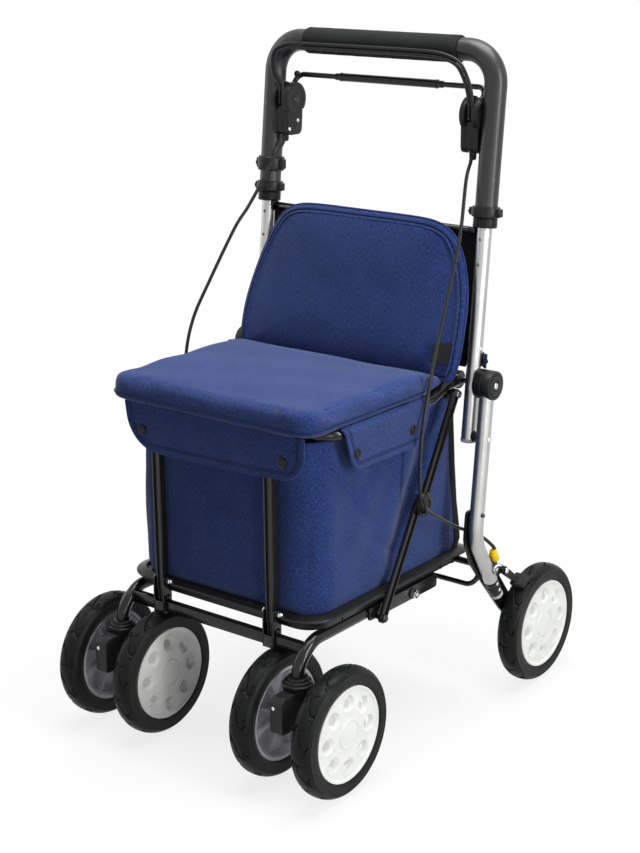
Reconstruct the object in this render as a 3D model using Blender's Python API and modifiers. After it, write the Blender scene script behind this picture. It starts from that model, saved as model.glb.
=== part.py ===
"""Shopping rollator: folding frame, twin front casters, seat, shopping bag and bar brake.

Metres, +Z up. X is the width, -Y is the front (seat and casters), +Y is the handle side.
The origin is on the floor, in the middle of the wheelbase.
"""
import math

import bmesh
import bpy
from mathutils import Matrix, Vector

# Fits
CLEARANCE = 0.0003

# Wheels
WHEEL_RADIUS = 0.0825
WHEEL_STEPS = 24
TYRE_WIDTH = 0.030
TYRE_BEAD_RADIUS = 0.0605
TYRE_SHOULDER = 0.0045
HUB_CAP_RADIUS = 0.018
HUB_RECESS = 0.0022
HUB_BARREL_RADIUS = 0.010
HUB_BARREL_REACH = 0.0014
HUB_BORE_END = 0.0045
AXLE_RADIUS = 0.004
AXLE_HEIGHT = WHEEL_RADIUS * math.cos(math.pi / WHEEL_STEPS)
WHEELBASE = 0.432
REAR_AXLE_Y = WHEELBASE / 2
CASTER_AXLE_Y = -WHEELBASE / 2
REAR_WHEEL_X = 0.205

# Casters
STEM_X = 0.143
CASTER_TRAIL = 0.0204
SWIVEL_Y = CASTER_AXLE_Y - CASTER_TRAIL
TWIN_OFFSET = 0.047
CASTER_BLOCK_WIDTH = 0.020
CASTER_CAP_RADIUS = 0.020
CASTER_CAP_BOTTOM = 0.133
CASTER_CAP_TOP = 0.149
STEM_BOTTOM = 0.108

# Base frame and tray
BASE_TUBE_RADIUS = 0.008
BASE_TUBE_Z = 0.185
BASE_TUBE_REAR_Y = 0.045
STEM_BEND = 0.026
CROSS_BAR_DEPTH = 0.010
CROSS_BAR_HEIGHT = 0.015
CROSS_BAR_Z = 0.1755
TRAY_HALF_WIDTH = 0.157
TRAY_FRONT_Y = -0.2185
TRAY_REAR_Y = 0.126
TRAY_BOTTOM = BASE_TUBE_Z + BASE_TUBE_RADIUS + CLEARANCE
TRAY_HEIGHT = 0.0175
TRAY_CORNER = 0.042
TRAY_LIP_WIDTH = 0.012
TRAY_LIP_DROP = 0.004
TRAY_STEP = 0.0085
TRAY_STEP_HEIGHT = 0.009
TRAY_WALL = 0.003
TRAY_FLOOR = 0.002
TRAY_EAR_REACH = 0.0085
TRAY_TOP = TRAY_BOTTOM + TRAY_HEIGHT
FLOOR_TOP = TRAY_TOP - 0.0045
SIDE_PLATE_THICKNESS = 0.003
SIDE_PLATE_FRONT_Y = -0.105
SIDE_PLATE_BOTTOM = 0.1755

# Fold pivots, seen from the side
FOLD_BAR_RADIUS = 0.0045
FOLD_BAR_Y = 0.0915
FOLD_BAR_Z = FLOOR_TOP - TRAY_FLOOR - FOLD_BAR_RADIUS - 0.0006
SEAT_PIVOT_Y = 0.088
SEAT_PIVOT_Z = 0.446
PIVOT_BOLT_RADIUS = 0.004

# Handle heights, which the uprights, the brake and the backrest follow
HANDLE_TOP_Z = 0.8565
HANDLE_LEG = 0.209
HANDLE_BOTTOM_Z = HANDLE_TOP_Z - HANDLE_LEG
BUSH_BOTTOM = HANDLE_BOTTOM_Z - 0.0055
UPRIGHT_TOP = HANDLE_TOP_Z - 0.0715

# Uprights and legs
LEAN = 0.095
UPRIGHT_X = 0.173
UPRIGHT_RADIUS = 0.0095
UPRIGHT_BOTTOM = 0.369
HOLE_RADIUS = 0.0022
HOLE_SPACING = 0.0315
HOLE_COUNT = 3
FIRST_HOLE_DROP = 0.014
LEG_RADIUS = 0.0095
LEG_SET_FORWARD = 0.004
LEG_GAP = 0.0055
LEG_X = UPRIGHT_X + UPRIGHT_RADIUS + LEG_GAP + LEG_RADIUS
LEG_BEND_Z = 0.243
LEG_FOOT_Y = 0.106
LEG_FOOT_Z = 0.1755
LEG_BEND_RADIUS = 0.060
LEG_SOCKET_DROP = 0.0045
HOUSING_RADIUS = 0.019
HOUSING_LENGTH = 0.026
SPACER_RADIUS = 0.006
SPACER_Z = 0.377

# Rear steel frame
HUB_PLATE_THICKNESS = 0.0037
STAY_ROD_RADIUS = 0.0035
STAY_ROD_Y = 0.087
STAY_ROD_Z = 0.170
STAY_ROD_RISE = 0.016

# Backrest
BACK_BAR_RADIUS = 0.0045
BACK_BAR_Z = BUSH_BOTTOM - BACK_BAR_RADIUS - 0.001
PANEL_THICKNESS = 0.0025
PANEL_BOTTOM = 0.464
PAD_BOTTOM_Y = 0.047
PAD_BOTTOM_Z = 0.460
PAD_TOP_Z = BACK_BAR_Z + 0.0155
PAD_SLOPE = 0.2057
PAD_EDGE = 0.0055
PAD_CROWN = 0.006
PAD_TAB_X = 0.090
PAD_TAB_WIDTH = 0.030
PAD_TAB_Z = BACK_BAR_Z - 0.0245
PAD_TAB_FRONT = PAD_BOTTOM_Y + PAD_SLOPE * (PAD_TAB_Z - PAD_BOTTOM_Z) + PAD_EDGE + 0.0011
PAD_ROWS = ((0.0, 0.176, 0.0), (0.12, 0.180, 0.0), (0.74, 0.175, 0.012), (1.0, 0.128, 0.024))

# Seat
SEAT_TUBE_RADIUS = 0.008
SEAT_TUBE_Z = 0.434
SEAT_RAIL_X = 0.152
SEAT_FRONT_Y = -0.187
SEAT_CORNER = 0.036
RAIL_EYE_RADIUS = 0.012
RAIL_EYE_THICKNESS = 0.006
CUSHION_HALF_WIDTH = 0.160
CUSHION_FRONT_Y = -0.239
CUSHION_REAR_Y = 0.010
CUSHION_HEIGHT = 0.026
CUSHION_CROWN = 0.004
CUSHION_DRAW_IN = 0.002
CUSHION_CREASE = 0.6
CUSHION_CORNER_CUT = 0.010
CUSHION_BOTTOM = SEAT_TUBE_Z + SEAT_TUBE_RADIUS + CLEARANCE

# Front posts: with the fold bar and the seat pivots their pins make a parallelogram
POST_X = 0.089
POST_RADIUS = 0.0065
POST_PIN_RADIUS = 0.0025
POST_FOOT_Y = -0.217
POST_HEAD_Y = POST_FOOT_Y + SEAT_PIVOT_Y - FOLD_BAR_Y
POST_HEAD_Z = 0.4335
POST_FOOT_Z = POST_HEAD_Z - (SEAT_PIVOT_Z - FOLD_BAR_Z)
POST_END = 0.005
POST_SWEEP = math.hypot(POST_END, POST_RADIUS)
BRACKET_WALL = 0.002
BRACKET_TOP = 0.2165
BRACKET_RELIEF = POST_SWEEP + 2 * CLEARANCE

# Folding braces
BRACE_WIDTH = 0.013
BRACE_THICKNESS = 0.0055
BRACE_GROOVE = 0.0022
BRACE_X = TRAY_HALF_WIDTH + 0.0012
BRACE_TAB_INSET = 0.002
BRACE_HEAD = (0.058, 0.436)
BRACE_ELBOW = (-0.013, 0.309)
BRACE_FOOT = (-0.088, 0.1775)
BRACE_PIN_RADIUS = 0.003
KNUCKLE_RADIUS = 0.0155
KNUCKLE_THICKNESS = 0.006

# Bag and flaps
BAG_WALL = 0.002
BAG_TOP = SEAT_TUBE_Z - SEAT_TUBE_RADIUS - CLEARANCE
BAG_CORNER = 0.034
BAG_HALF_WIDTH = 0.1450
BAG_TOP_HALF_WIDTH = 0.1425
BAG_FRONT_Y = POST_FOOT_Y + POST_RADIUS + 0.0012
BAG_TOP_REAR_Y = 0.102
FLAP_THICKNESS = 0.0025
FLAP_FOLD = 0.0012
FRONT_FLAP_TOP_HALF = 0.135
FRONT_FLAP_BOTTOM_HALF = 0.106
FRONT_FLAP_BOTTOM = 0.384
SIDE_FLAP_FRONT_Y = -0.158
SIDE_FLAP_REAR_Y = -0.004
SIDE_FLAP_BOTTOM = 0.386

# Handle and brake
HANDLE_RADIUS = 0.0143
HANDLE_BEND = 0.042
GRIP_THICKNESS = 0.0025
GRIP_HALF_LENGTH = 0.120
COLLAR_WALL = 0.0035
COLLAR_TOP = HANDLE_BOTTOM_Z + 0.0205
BUSH_RADIUS = 0.0155
LUG_REACH = 0.0045
CLAMP_BOTTOM = HANDLE_BOTTOM_Z + 0.0345
CLAMP_TOP = CLAMP_BOTTOM + 0.019
BRAKE_PIVOT_Z = HANDLE_TOP_Z - 0.0775
BRAKE_DISC_RADIUS = 0.0225
BRAKE_HOUSING_WIDTH = 0.025
BRAKE_SLOT_DEPTH = 0.006
BRAKE_BOX_BOTTOM = BRAKE_PIVOT_Z - 0.047
BRAKE_PIN_RADIUS = 0.0022
BRAKE_EYE_RADIUS = 0.005
BRAKE_BAR_RADIUS = 0.0032
BRAKE_SLEEVE_RADIUS = 0.005
BRAKE_SLEEVE_HALF = 0.072
BRAKE_BAR_RISE = 0.031
BRAKE_BAR_BACK = 0.0206
CABLE_RADIUS = 0.0024
LINK_SPACING = 0.0054
LINK_FORWARD = 0.0155

# Wheel brakes
BRAKE_BODY_RADIUS = 0.0092
BRAKE_BODY_LENGTH = 0.030
SHOE_PIVOT_Y = 0.135
SHOE_PIVOT_Z = 0.181
SHOE_GAP = 0.0028
SHOE_THICKNESS = 0.006
SHOE_WIDTH = 0.022
SHOE_PIN_RADIUS = 0.0025

SIDES = {"left": -1, "right": 1}


def upright_y(z):
    """Y of the uprights' common centre line at a height."""
    return SEAT_PIVOT_Y + LEAN * (z - SEAT_PIVOT_Z)


def clear_scene():
    """Remove what the scene holds at the start."""
    for old in list(bpy.data.objects):
        bpy.data.objects.remove(old, do_unlink=True)


def new_collection(name):
    """Make a collection under the scene's own."""
    made = bpy.data.collections.new(name)
    bpy.context.scene.collection.children.link(made)
    return made


clear_scene()
PARTS = new_collection("shopping_rollator")
CUTTERS = new_collection("cutters")


def make_material(name, colour, roughness, metallic=0.0):
    """Principled material of one colour."""
    made = bpy.data.materials.new(name)
    made.use_nodes = True
    shader = made.node_tree.nodes["Principled BSDF"]
    shader.inputs["Base Color"].default_value = (*colour, 1.0)
    shader.inputs["Roughness"].default_value = roughness
    shader.inputs["Metallic"].default_value = metallic
    return made


STEEL_BLACK = make_material("black_painted_steel", (0.012, 0.012, 0.013), 0.35)
ALUMINIUM = make_material("satin_aluminium", (0.62, 0.63, 0.64), 0.35, 1.0)
HANDLE_BLACK = make_material("satin_black_tube", (0.02, 0.02, 0.021), 0.45)
PLASTIC_BLACK = make_material("black_plastic", (0.015, 0.015, 0.016), 0.5)
FOAM_BLACK = make_material("black_foam", (0.02, 0.02, 0.02), 0.9)
RUBBER = make_material("tyre_rubber", (0.03, 0.032, 0.033), 0.8)
HUB_WHITE = make_material("pale_hub_plastic", (0.78, 0.80, 0.77), 0.4)
BOLT_STEEL = make_material("bright_steel", (0.7, 0.7, 0.7), 0.25, 1.0)
NAVY_FABRIC = make_material("navy_melange_fabric", (0.03, 0.05, 0.19), 0.9)
BLACK_FABRIC = make_material("black_fabric", (0.015, 0.015, 0.016), 0.95)
CABLE_BLACK = make_material("black_cable_sheath", (0.02, 0.02, 0.02), 0.5)


def finish(obj, material, smooth=True):
    """Put an object in the part's collection with its material."""
    PARTS.objects.link(obj)
    obj.data.materials.append(material)
    if smooth and obj.type == "MESH":
        obj.data.shade_smooth()
        obj.data.set_sharp_from_angle(angle=math.radians(35))
    return obj


def hide_as_cutter(obj):
    """Keep an object only as an operand of a Boolean."""
    CUTTERS.objects.link(obj)
    obj.hide_render = True
    obj.display_type = "WIRE"
    return obj


def mesh_object(name, bm):
    """New mesh object from a bmesh, with its faces pointing out."""
    bmesh.ops.recalc_face_normals(bm, faces=bm.faces)
    mesh = bpy.data.meshes.new(name)
    bm.to_mesh(mesh)
    bm.free()
    return bpy.data.objects.new(name, mesh)


def box(name, low, high):
    """Box between two corners."""
    bm = bmesh.new()
    bmesh.ops.create_cube(bm, size=1.0)
    low, high = Vector(low), Vector(high)
    size = Matrix.Diagonal((*(high - low), 1.0))
    bmesh.ops.transform(bm, matrix=Matrix.Translation((low + high) / 2) @ size, verts=bm.verts)
    return mesh_object(name, bm)


def along(start, end):
    """Matrix that lays +Z on the way from start to end, centred between them."""
    start, end = Vector(start), Vector(end)
    turn = (end - start).to_track_quat("Z", "Y").to_matrix().to_4x4()
    return Matrix.Translation((start + end) / 2) @ turn


def cylinder(name, start, end, radius, sides=16):
    """Closed cylinder between two points."""
    bm = bmesh.new()
    length = (Vector(end) - Vector(start)).length
    bmesh.ops.create_cone(
        bm, cap_ends=True, segments=sides, radius1=radius, radius2=radius, depth=length,
        matrix=along(start, end),
    )
    return mesh_object(name, bm)


def outline_plate(name, outline, x_low, x_high):
    """Flat plate of a (y, z) outline, between two x values."""
    curve = bpy.data.curves.new(name, "CURVE")
    curve.dimensions = "2D"
    curve.fill_mode = "BOTH"
    curve.extrude = abs(x_high - x_low) / 2
    spline = curve.splines.new("POLY")
    spline.points.add(len(outline) - 1)
    spline.use_cyclic_u = True
    for point, (y, z) in zip(spline.points, outline):
        point.co = (y, z, 0.0, 1.0)
    obj = bpy.data.objects.new(name, curve)
    turn = Matrix(((0, 0, 1, 0), (1, 0, 0, 0), (0, 1, 0, 0), (0, 0, 0, 1)))
    obj.matrix_world = Matrix.Translation(((x_low + x_high) / 2, 0, 0)) @ turn
    return as_mesh(obj)


def as_mesh(obj):
    """Turn a curve object into a closed mesh object."""
    CUTTERS.objects.link(obj)
    bpy.context.view_layer.update()
    graph = bpy.context.evaluated_depsgraph_get()
    mesh = bpy.data.meshes.new_from_object(obj.evaluated_get(graph))
    name, place = obj.name, obj.matrix_world.copy()
    bpy.data.objects.remove(obj, do_unlink=True)
    made = bpy.data.objects.new(name, mesh)
    made.matrix_world = place
    bm = bmesh.new()
    bm.from_mesh(mesh)
    bmesh.ops.remove_doubles(bm, verts=bm.verts, dist=1e-6)
    bmesh.ops.recalc_face_normals(bm, faces=bm.faces)
    bm.to_mesh(mesh)
    bm.free()
    mesh.materials.clear()
    return made


def tube_curve(name, points, radius, rings=4):
    """Round bar along a route, as a curve with filled caps."""
    curve = bpy.data.curves.new(name, "CURVE")
    curve.dimensions = "3D"
    curve.bevel_depth = radius
    curve.bevel_resolution = rings
    curve.use_fill_caps = True
    spline = curve.splines.new("POLY")
    spline.points.add(len(points) - 1)
    for point, place in zip(spline.points, points):
        point.co = (*place, 1.0)
    return bpy.data.objects.new(name, curve)


def tube(name, points, radius, rings=4):
    """Round bar along a route, as a mesh."""
    return as_mesh(tube_curve(name, points, radius, rings))


def rounded_route(corners, radius, steps=5):
    """Route through corners, each inner corner an arc of the radius."""
    corners = [Vector(c) for c in corners]
    route = [corners[0]]
    for before, corner, after in zip(corners, corners[1:], corners[2:]):
        into = (before - corner).normalized()
        out = (after - corner).normalized()
        half = into.angle(out) / 2
        reach = radius / math.tan(half)
        centre = corner + (into + out).normalized() * (radius / math.sin(half))
        first = corner + into * reach - centre
        last = corner + out * reach - centre
        whole = first.angle(last)
        for i in range(steps + 1):
            part = i / steps
            ahead = math.sin(part * whole) / math.sin(whole)
            behind = math.sin((1 - part) * whole) / math.sin(whole)
            route.append(centre + first * behind + last * ahead)
    route.append(corners[-1])
    return route


def smooth_route(points, steps=3):
    """Points read from a smooth curve through a cable's route."""
    points = [Vector(p) for p in points]
    ends = [points[0] * 2 - points[1]] + points + [points[-1] * 2 - points[-2]]
    route = []
    for a, b, c, d in zip(ends, ends[1:], ends[2:], ends[3:]):
        for i in range(steps):
            t = i / steps
            ahead = (c - a) * t + (a * 2 - b * 5 + c * 4 - d) * t * t
            route.append((b * 2 + ahead + (b * 3 - a - c * 3 + d) * t * t * t) / 2)
    route.append(points[-1])
    return route


def turned(name, profile, matrix, steps=WHEEL_STEPS, closed=False):
    """Turned shape: a profile of (radius, height) pairs with a Screw modifier."""
    mesh = bpy.data.meshes.new(name)
    edges = [(i, i + 1) for i in range(len(profile) - 1)]
    if closed:
        edges.append((len(profile) - 1, 0))
    mesh.from_pydata([(r, 0.0, z) for r, z in profile], edges, [])
    obj = bpy.data.objects.new(name, mesh)
    screw = obj.modifiers.new("turn", "SCREW")
    screw.axis = "Z"
    screw.steps = steps
    screw.render_steps = steps
    screw.use_merge_vertices = True
    screw.merge_threshold = 0.00001
    screw.use_smooth_shade = True
    obj.matrix_world = matrix
    return obj


def boolean(obj, other, operation):
    """Join or cut a mesh object with another one, which stays hidden."""
    if other.name not in CUTTERS.objects:
        hide_as_cutter(other)
    step = obj.modifiers.new(operation.lower() + "_" + other.name, "BOOLEAN")
    step.operation = operation
    step.object = other
    step.solver = "EXACT"
    return obj


def join(obj, *others):
    """Weld other solids onto a solid."""
    for other in others:
        boolean(obj, other, "UNION")
    return obj


def cut(obj, *others):
    """Cut other solids out of a solid."""
    for other in others:
        boolean(obj, other, "DIFFERENCE")
    return obj


def facing_x(centre, side, spin=0.0):
    """Matrix that lays local +Z on the outward X direction of a side."""
    turn = Matrix.Rotation(math.radians(90 * side), 4, "Y")
    return Matrix.Translation(centre) @ turn @ Matrix.Rotation(spin, 4, "Z")


def make_wheel(name, centre, side):
    """Tyre and hub of one wheel, with the hub's cap facing outward."""
    half_step = math.pi / WHEEL_STEPS
    place = facing_x(centre, side, half_step)
    half = TYRE_WIDTH / 2
    tyre = [
        (TYRE_BEAD_RADIUS, half - 0.0015),
        (WHEEL_RADIUS - TYRE_SHOULDER, half),
        (WHEEL_RADIUS, half - TYRE_SHOULDER),
        (WHEEL_RADIUS, TYRE_SHOULDER - half),
        (WHEEL_RADIUS - TYRE_SHOULDER, -half),
        (TYRE_BEAD_RADIUS, 0.0015 - half),
    ]
    finish(turned(name + "_tyre", tyre, place, closed=True), RUBBER)
    rim = TYRE_BEAD_RADIUS - CLEARANCE
    bore = AXLE_RADIUS + CLEARANCE
    hub = [
        (0.0, half),
        (HUB_CAP_RADIUS, half),
        (rim - 0.006, half - HUB_RECESS),
        (rim, half - 0.001),
        (rim, 0.003 - half),
        (rim - 0.0045, half - 0.010),
        (HUB_BARREL_RADIUS + 0.004, half - 0.009),
        (HUB_BARREL_RADIUS, -half - HUB_BARREL_REACH),
        (bore, -half - HUB_BARREL_REACH),
        (bore, half - HUB_BORE_END),
        (0.0, half - HUB_BORE_END),
    ]
    finish(turned(name + "_hub", hub, place), HUB_WHITE)


def make_rear_wheels():
    """Rear wheels and the stub axles that carry them."""
    plate_in = hub_plate_x()[0]
    for label, side in SIDES.items():
        make_wheel("rear_wheel_" + label, (side * REAR_WHEEL_X, REAR_AXLE_Y, AXLE_HEIGHT), side)
        head = plate_in - 0.0055
        tip = REAR_WHEEL_X + TYRE_WIDTH / 2 - HUB_BORE_END - CLEARANCE
        profile = [
            (0.0, tip - head),
            (AXLE_RADIUS, tip - head),
            (AXLE_RADIUS, plate_in - CLEARANCE - head),
            (AXLE_RADIUS * 1.9, plate_in - CLEARANCE - head),
            (AXLE_RADIUS * 1.9, 0.0),
            (0.0, 0.0),
        ]
        place = facing_x((side * head, REAR_AXLE_Y, AXLE_HEIGHT), side)
        finish(turned("rear_axle_" + label, profile, place, 12), BOLT_STEEL)


def make_casters():
    """Swivelling twin-wheel casters: block, axle and two wheels each."""
    for label, side in SIDES.items():
        x = side * STEM_X
        make_caster_block("caster_block_" + label, x)
        reach = TWIN_OFFSET + TYRE_WIDTH / 2 - HUB_BORE_END - CLEARANCE
        ends = [(x + way * reach, CASTER_AXLE_Y, AXLE_HEIGHT) for way in (-1, 1)]
        finish(cylinder("caster_axle_" + label, *ends, AXLE_RADIUS, 12), BOLT_STEEL)
        for place, way in (("inner", -side), ("outer", side)):
            centre = (x + way * TWIN_OFFSET, CASTER_AXLE_Y, AXLE_HEIGHT)
            make_wheel("caster_wheel_" + label + "_" + place, centre, way)


def make_caster_block(name, x):
    """Block between the twin wheels, with an eight-sided cap round the stem."""
    outline = [
        (SWIVEL_Y - 0.042, 0.088),
        (SWIVEL_Y - 0.042, 0.128),
        (SWIVEL_Y - 0.036, 0.134),
        (SWIVEL_Y + 0.022, 0.134),
        (CASTER_AXLE_Y + 0.016, 0.112),
        (CASTER_AXLE_Y + 0.014, AXLE_HEIGHT - 0.006),
        (CASTER_AXLE_Y + 0.006, AXLE_HEIGHT - 0.014),
        (CASTER_AXLE_Y - 0.006, AXLE_HEIGHT - 0.014),
        (CASTER_AXLE_Y - 0.014, AXLE_HEIGHT - 0.006),
        (SWIVEL_Y - 0.012, 0.088),
    ]
    half = CASTER_BLOCK_WIDTH / 2
    block = outline_plate(name, outline, x - half, x + half)
    cap = cylinder(
        name + "_cap", (x, SWIVEL_Y, CASTER_CAP_BOTTOM), (x, SWIVEL_Y, CASTER_CAP_TOP),
        CASTER_CAP_RADIUS, 8,
    )
    stem = cylinder(
        name + "_stem_bore", (x, SWIVEL_Y, STEM_BOTTOM - 0.002),
        (x, SWIVEL_Y, CASTER_CAP_TOP + 0.002), BASE_TUBE_RADIUS + CLEARANCE, 12,
    )
    bore = cylinder(
        name + "_axle_bore", (x - 0.03, CASTER_AXLE_Y, AXLE_HEIGHT),
        (x + 0.03, CASTER_AXLE_Y, AXLE_HEIGHT), AXLE_RADIUS + CLEARANCE, 12,
    )
    join(block, cap)
    cut(block, stem, bore)
    finish(block, PLASTIC_BLACK)


def make_base_frame():
    """Welded base: two side tubes with stems, cross bar, side plates, brackets and pins."""
    welds = []
    plates = []
    reliefs = []
    for label, side in SIDES.items():
        x = side * STEM_X
        corners = [
            (x, SWIVEL_Y, STEM_BOTTOM),
            (x, SWIVEL_Y, CASTER_CAP_TOP + 0.012),
            (x, SWIVEL_Y + STEM_BEND, BASE_TUBE_Z),
            (x, BASE_TUBE_REAR_Y, BASE_TUBE_Z),
        ]
        welds.append(tube("base_tube_" + label, rounded_route(corners, 0.016, 3), BASE_TUBE_RADIUS, 3))
        inner = side * (STEM_X + BASE_TUBE_RADIUS - 0.001)
        outer = inner + side * SIDE_PLATE_THICKNESS
        welds.append(box(
            "side_plate_" + label,
            (min(inner, outer), SIDE_PLATE_FRONT_Y, SIDE_PLATE_BOTTOM),
            (max(inner, outer), BASE_TUBE_REAR_Y, BASE_TUBE_Z + BASE_TUBE_RADIUS),
        ))
        foot_y, foot_z = BRACE_FOOT
        welds.append(cylinder(
            "brace_pin_" + label, (inner, foot_y, foot_z),
            (side * (lower_brace_x()[1] + 0.004), foot_y, foot_z), BRACE_PIN_RADIUS, 12,
        ))
        bracket, relief, holders = post_bracket(label, side)
        plates += bracket
        reliefs.append(relief)
        welds += holders
    front = POST_FOOT_Y - CROSS_BAR_DEPTH / 2
    frame = box(
        "base_frame", (-STEM_X, front, CROSS_BAR_Z - CROSS_BAR_HEIGHT / 2),
        (STEM_X, front + CROSS_BAR_DEPTH, CROSS_BAR_Z + CROSS_BAR_HEIGHT / 2),
    )
    join(frame, *plates)
    cut(frame, *reliefs)
    join(frame, *welds)
    finish(frame, STEEL_BLACK)


def post_bracket(label, side):
    """Plates under one front post, the relief its foot turns in, and the cheeks and pin that hold it."""
    x = side * POST_X
    gap = POST_RADIUS + CLEARANCE
    wall = gap + BRACKET_WALL
    back = POST_FOOT_Y + POST_RADIUS
    front = POST_FOOT_Y - gap - BRACKET_WALL
    low = CROSS_BAR_Z - CROSS_BAR_HEIGHT / 2 - 0.001
    bar_top = CROSS_BAR_Z + CROSS_BAR_HEIGHT / 2
    plates = [
        box("bracket_front_" + label, (x - wall, front, low), (x + wall, front + BRACKET_WALL, bar_top)),
        box("bracket_floor_" + label, (x - wall, front, low), (x + wall, back, CROSS_BAR_Z)),
    ]
    reach = gap + BRACKET_WALL / 2
    relief = cylinder(
        "bracket_relief_" + label, (x - reach, POST_FOOT_Y, POST_FOOT_Z),
        (x + reach, POST_FOOT_Y, POST_FOOT_Z), BRACKET_RELIEF, 16,
    )
    holders = [cylinder(
        "bracket_pin_" + label, (x - wall - 0.002, POST_FOOT_Y, POST_FOOT_Z),
        (x + wall + 0.002, POST_FOOT_Y, POST_FOOT_Z), POST_PIN_RADIUS, 12,
    )]
    for way in (-1, 1):
        cheek = sorted((x + way * gap, x + way * wall))
        holders.append(box(
            "bracket_cheek_" + label + ("_a" if way < 0 else "_b"),
            (cheek[0], front, low), (cheek[1], back, BRACKET_TOP),
        ))
    return plates, relief, holders


def rounded_rectangle(half_x, y_low, y_high, radius, steps=4):
    """Outline of a rectangle with round corners, as (x, y) pairs."""
    centres = [
        (half_x - radius, y_low + radius, -90),
        (half_x - radius, y_high - radius, 0),
        (radius - half_x, y_high - radius, 90),
        (radius - half_x, y_low + radius, 180),
    ]
    outline = []
    for cx, cy, start in centres:
        for i in range(steps + 1):
            angle = math.radians(start + 90 * i / steps)
            outline.append((cx + radius * math.cos(angle), cy + radius * math.sin(angle)))
    return outline


def slab(name, outline, z_low, z_high):
    """Upright prism of an (x, y) outline."""
    bm = bmesh.new()
    face = bm.faces.new([bm.verts.new((x, y, z_low)) for x, y in outline])
    raised = bmesh.ops.extrude_face_region(bm, geom=[face])
    verts = [v for v in raised["geom"] if isinstance(v, bmesh.types.BMVert)]
    bmesh.ops.translate(bm, verts=verts, vec=(0, 0, z_high - z_low))
    return mesh_object(name, bm)


def lofted(name, rings):
    """Solid between outlines at rising heights: rings of (z, outline)."""
    bm = bmesh.new()
    loops = [[bm.verts.new((x, y, z)) for x, y in outline] for z, outline in rings]
    bm.faces.new(loops[0])
    bm.faces.new(loops[-1])
    for low, high in zip(loops, loops[1:]):
        for i in range(len(low)):
            j = (i + 1) % len(low)
            bm.faces.new((low[i], low[j], high[j], high[i]))
    return mesh_object(name, bm)


def tray_outline(inset):
    """Outline of the tray, drawn in by an inset."""
    return rounded_rectangle(
        TRAY_HALF_WIDTH - inset, TRAY_FRONT_Y + inset, TRAY_REAR_Y - inset, TRAY_CORNER - inset,
    )


def make_tray():
    """Tray under the bag, which turns on the fold bar: wall, sloping lip, floor and ears."""
    lip_foot = TRAY_BOTTOM + TRAY_STEP_HEIGHT + 0.0025
    tray = lofted("base_tray", [
        (TRAY_BOTTOM, tray_outline(TRAY_STEP)),
        (TRAY_BOTTOM + TRAY_STEP_HEIGHT, tray_outline(TRAY_STEP)),
        (lip_foot, tray_outline(0.0)),
        (TRAY_TOP - TRAY_LIP_DROP, tray_outline(0.0)),
        (TRAY_TOP, tray_outline(TRAY_LIP_WIDTH)),
    ])
    pocket = tray_outline(TRAY_LIP_WIDTH + 0.001)
    underside = tray_outline(TRAY_STEP + TRAY_WALL)
    cut(
        tray, slab("tray_inside", pocket, FLOOR_TOP, TRAY_TOP + 0.01),
        slab("tray_underside", underside, TRAY_BOTTOM - 0.01, FLOOR_TOP - TRAY_FLOOR),
    )
    outer = TRAY_HALF_WIDTH - TRAY_STEP
    for label, side in SIDES.items():
        ear = sorted((side * (outer - 0.007), side * (outer - 0.0002)))
        join(tray, box(
            "tray_ear_" + label, (ear[0], FOLD_BAR_Y - TRAY_EAR_REACH, FOLD_BAR_Z - TRAY_EAR_REACH),
            (ear[1], FOLD_BAR_Y + TRAY_EAR_REACH, FLOOR_TOP - 0.001),
        ))
        notch_half = POST_RADIUS + CLEARANCE + BRACKET_WALL + CLEARANCE
        cut(tray, box(
            "tray_notch_" + label, (side * POST_X - notch_half, TRAY_FRONT_Y - 0.01, TRAY_BOTTOM - 0.01),
            (side * POST_X + notch_half, POST_FOOT_Y + POST_RADIUS + CLEARANCE, TRAY_TOP + 0.01),
        ))
    bar = cylinder(
        "tray_bar_bore", (-TRAY_HALF_WIDTH, FOLD_BAR_Y, FOLD_BAR_Z), (TRAY_HALF_WIDTH, FOLD_BAR_Y, FOLD_BAR_Z),
        FOLD_BAR_RADIUS + CLEARANCE, 12,
    )
    cut(tray, bar)
    finish(tray, PLASTIC_BLACK)


def make_bag():
    """Shopping bag: a cloth shell, open at the top, that stands on the tray."""
    foot_half = TRAY_HALF_WIDTH - TRAY_LIP_WIDTH - 0.004
    front = TRAY_FRONT_Y + TRAY_LIP_WIDTH + 0.004
    rear = TRAY_REAR_Y - TRAY_LIP_WIDTH - 0.004
    rings = [
        (FLOOR_TOP + CLEARANCE, foot_half, front, rear),
        (TRAY_TOP + 0.001, foot_half + 0.002, front - 0.0015, rear),
        (TRAY_TOP + 0.012, BAG_HALF_WIDTH, BAG_FRONT_Y, rear),
        (0.320, BAG_HALF_WIDTH, BAG_FRONT_Y, rear - 0.003),
        (BAG_TOP, BAG_TOP_HALF_WIDTH, BAG_FRONT_Y, BAG_TOP_REAR_Y),
    ]
    bm = bmesh.new()
    loops = []
    for z, half, y_low, y_high in rings:
        outline = rounded_rectangle(half, y_low, y_high, BAG_CORNER)
        loops.append([bm.verts.new((x, y, z)) for x, y in outline])
    bm.faces.new(loops[0])
    for low, high in zip(loops, loops[1:]):
        for i in range(len(low)):
            j = (i + 1) % len(low)
            bm.faces.new((low[i], low[j], high[j], high[i]))
    bag = mesh_object("shopping_bag", bm)
    shell = bag.modifiers.new("wall", "SOLIDIFY")
    shell.thickness = BAG_WALL
    shell.offset = -1
    finish(bag, NAVY_FABRIC)


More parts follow.
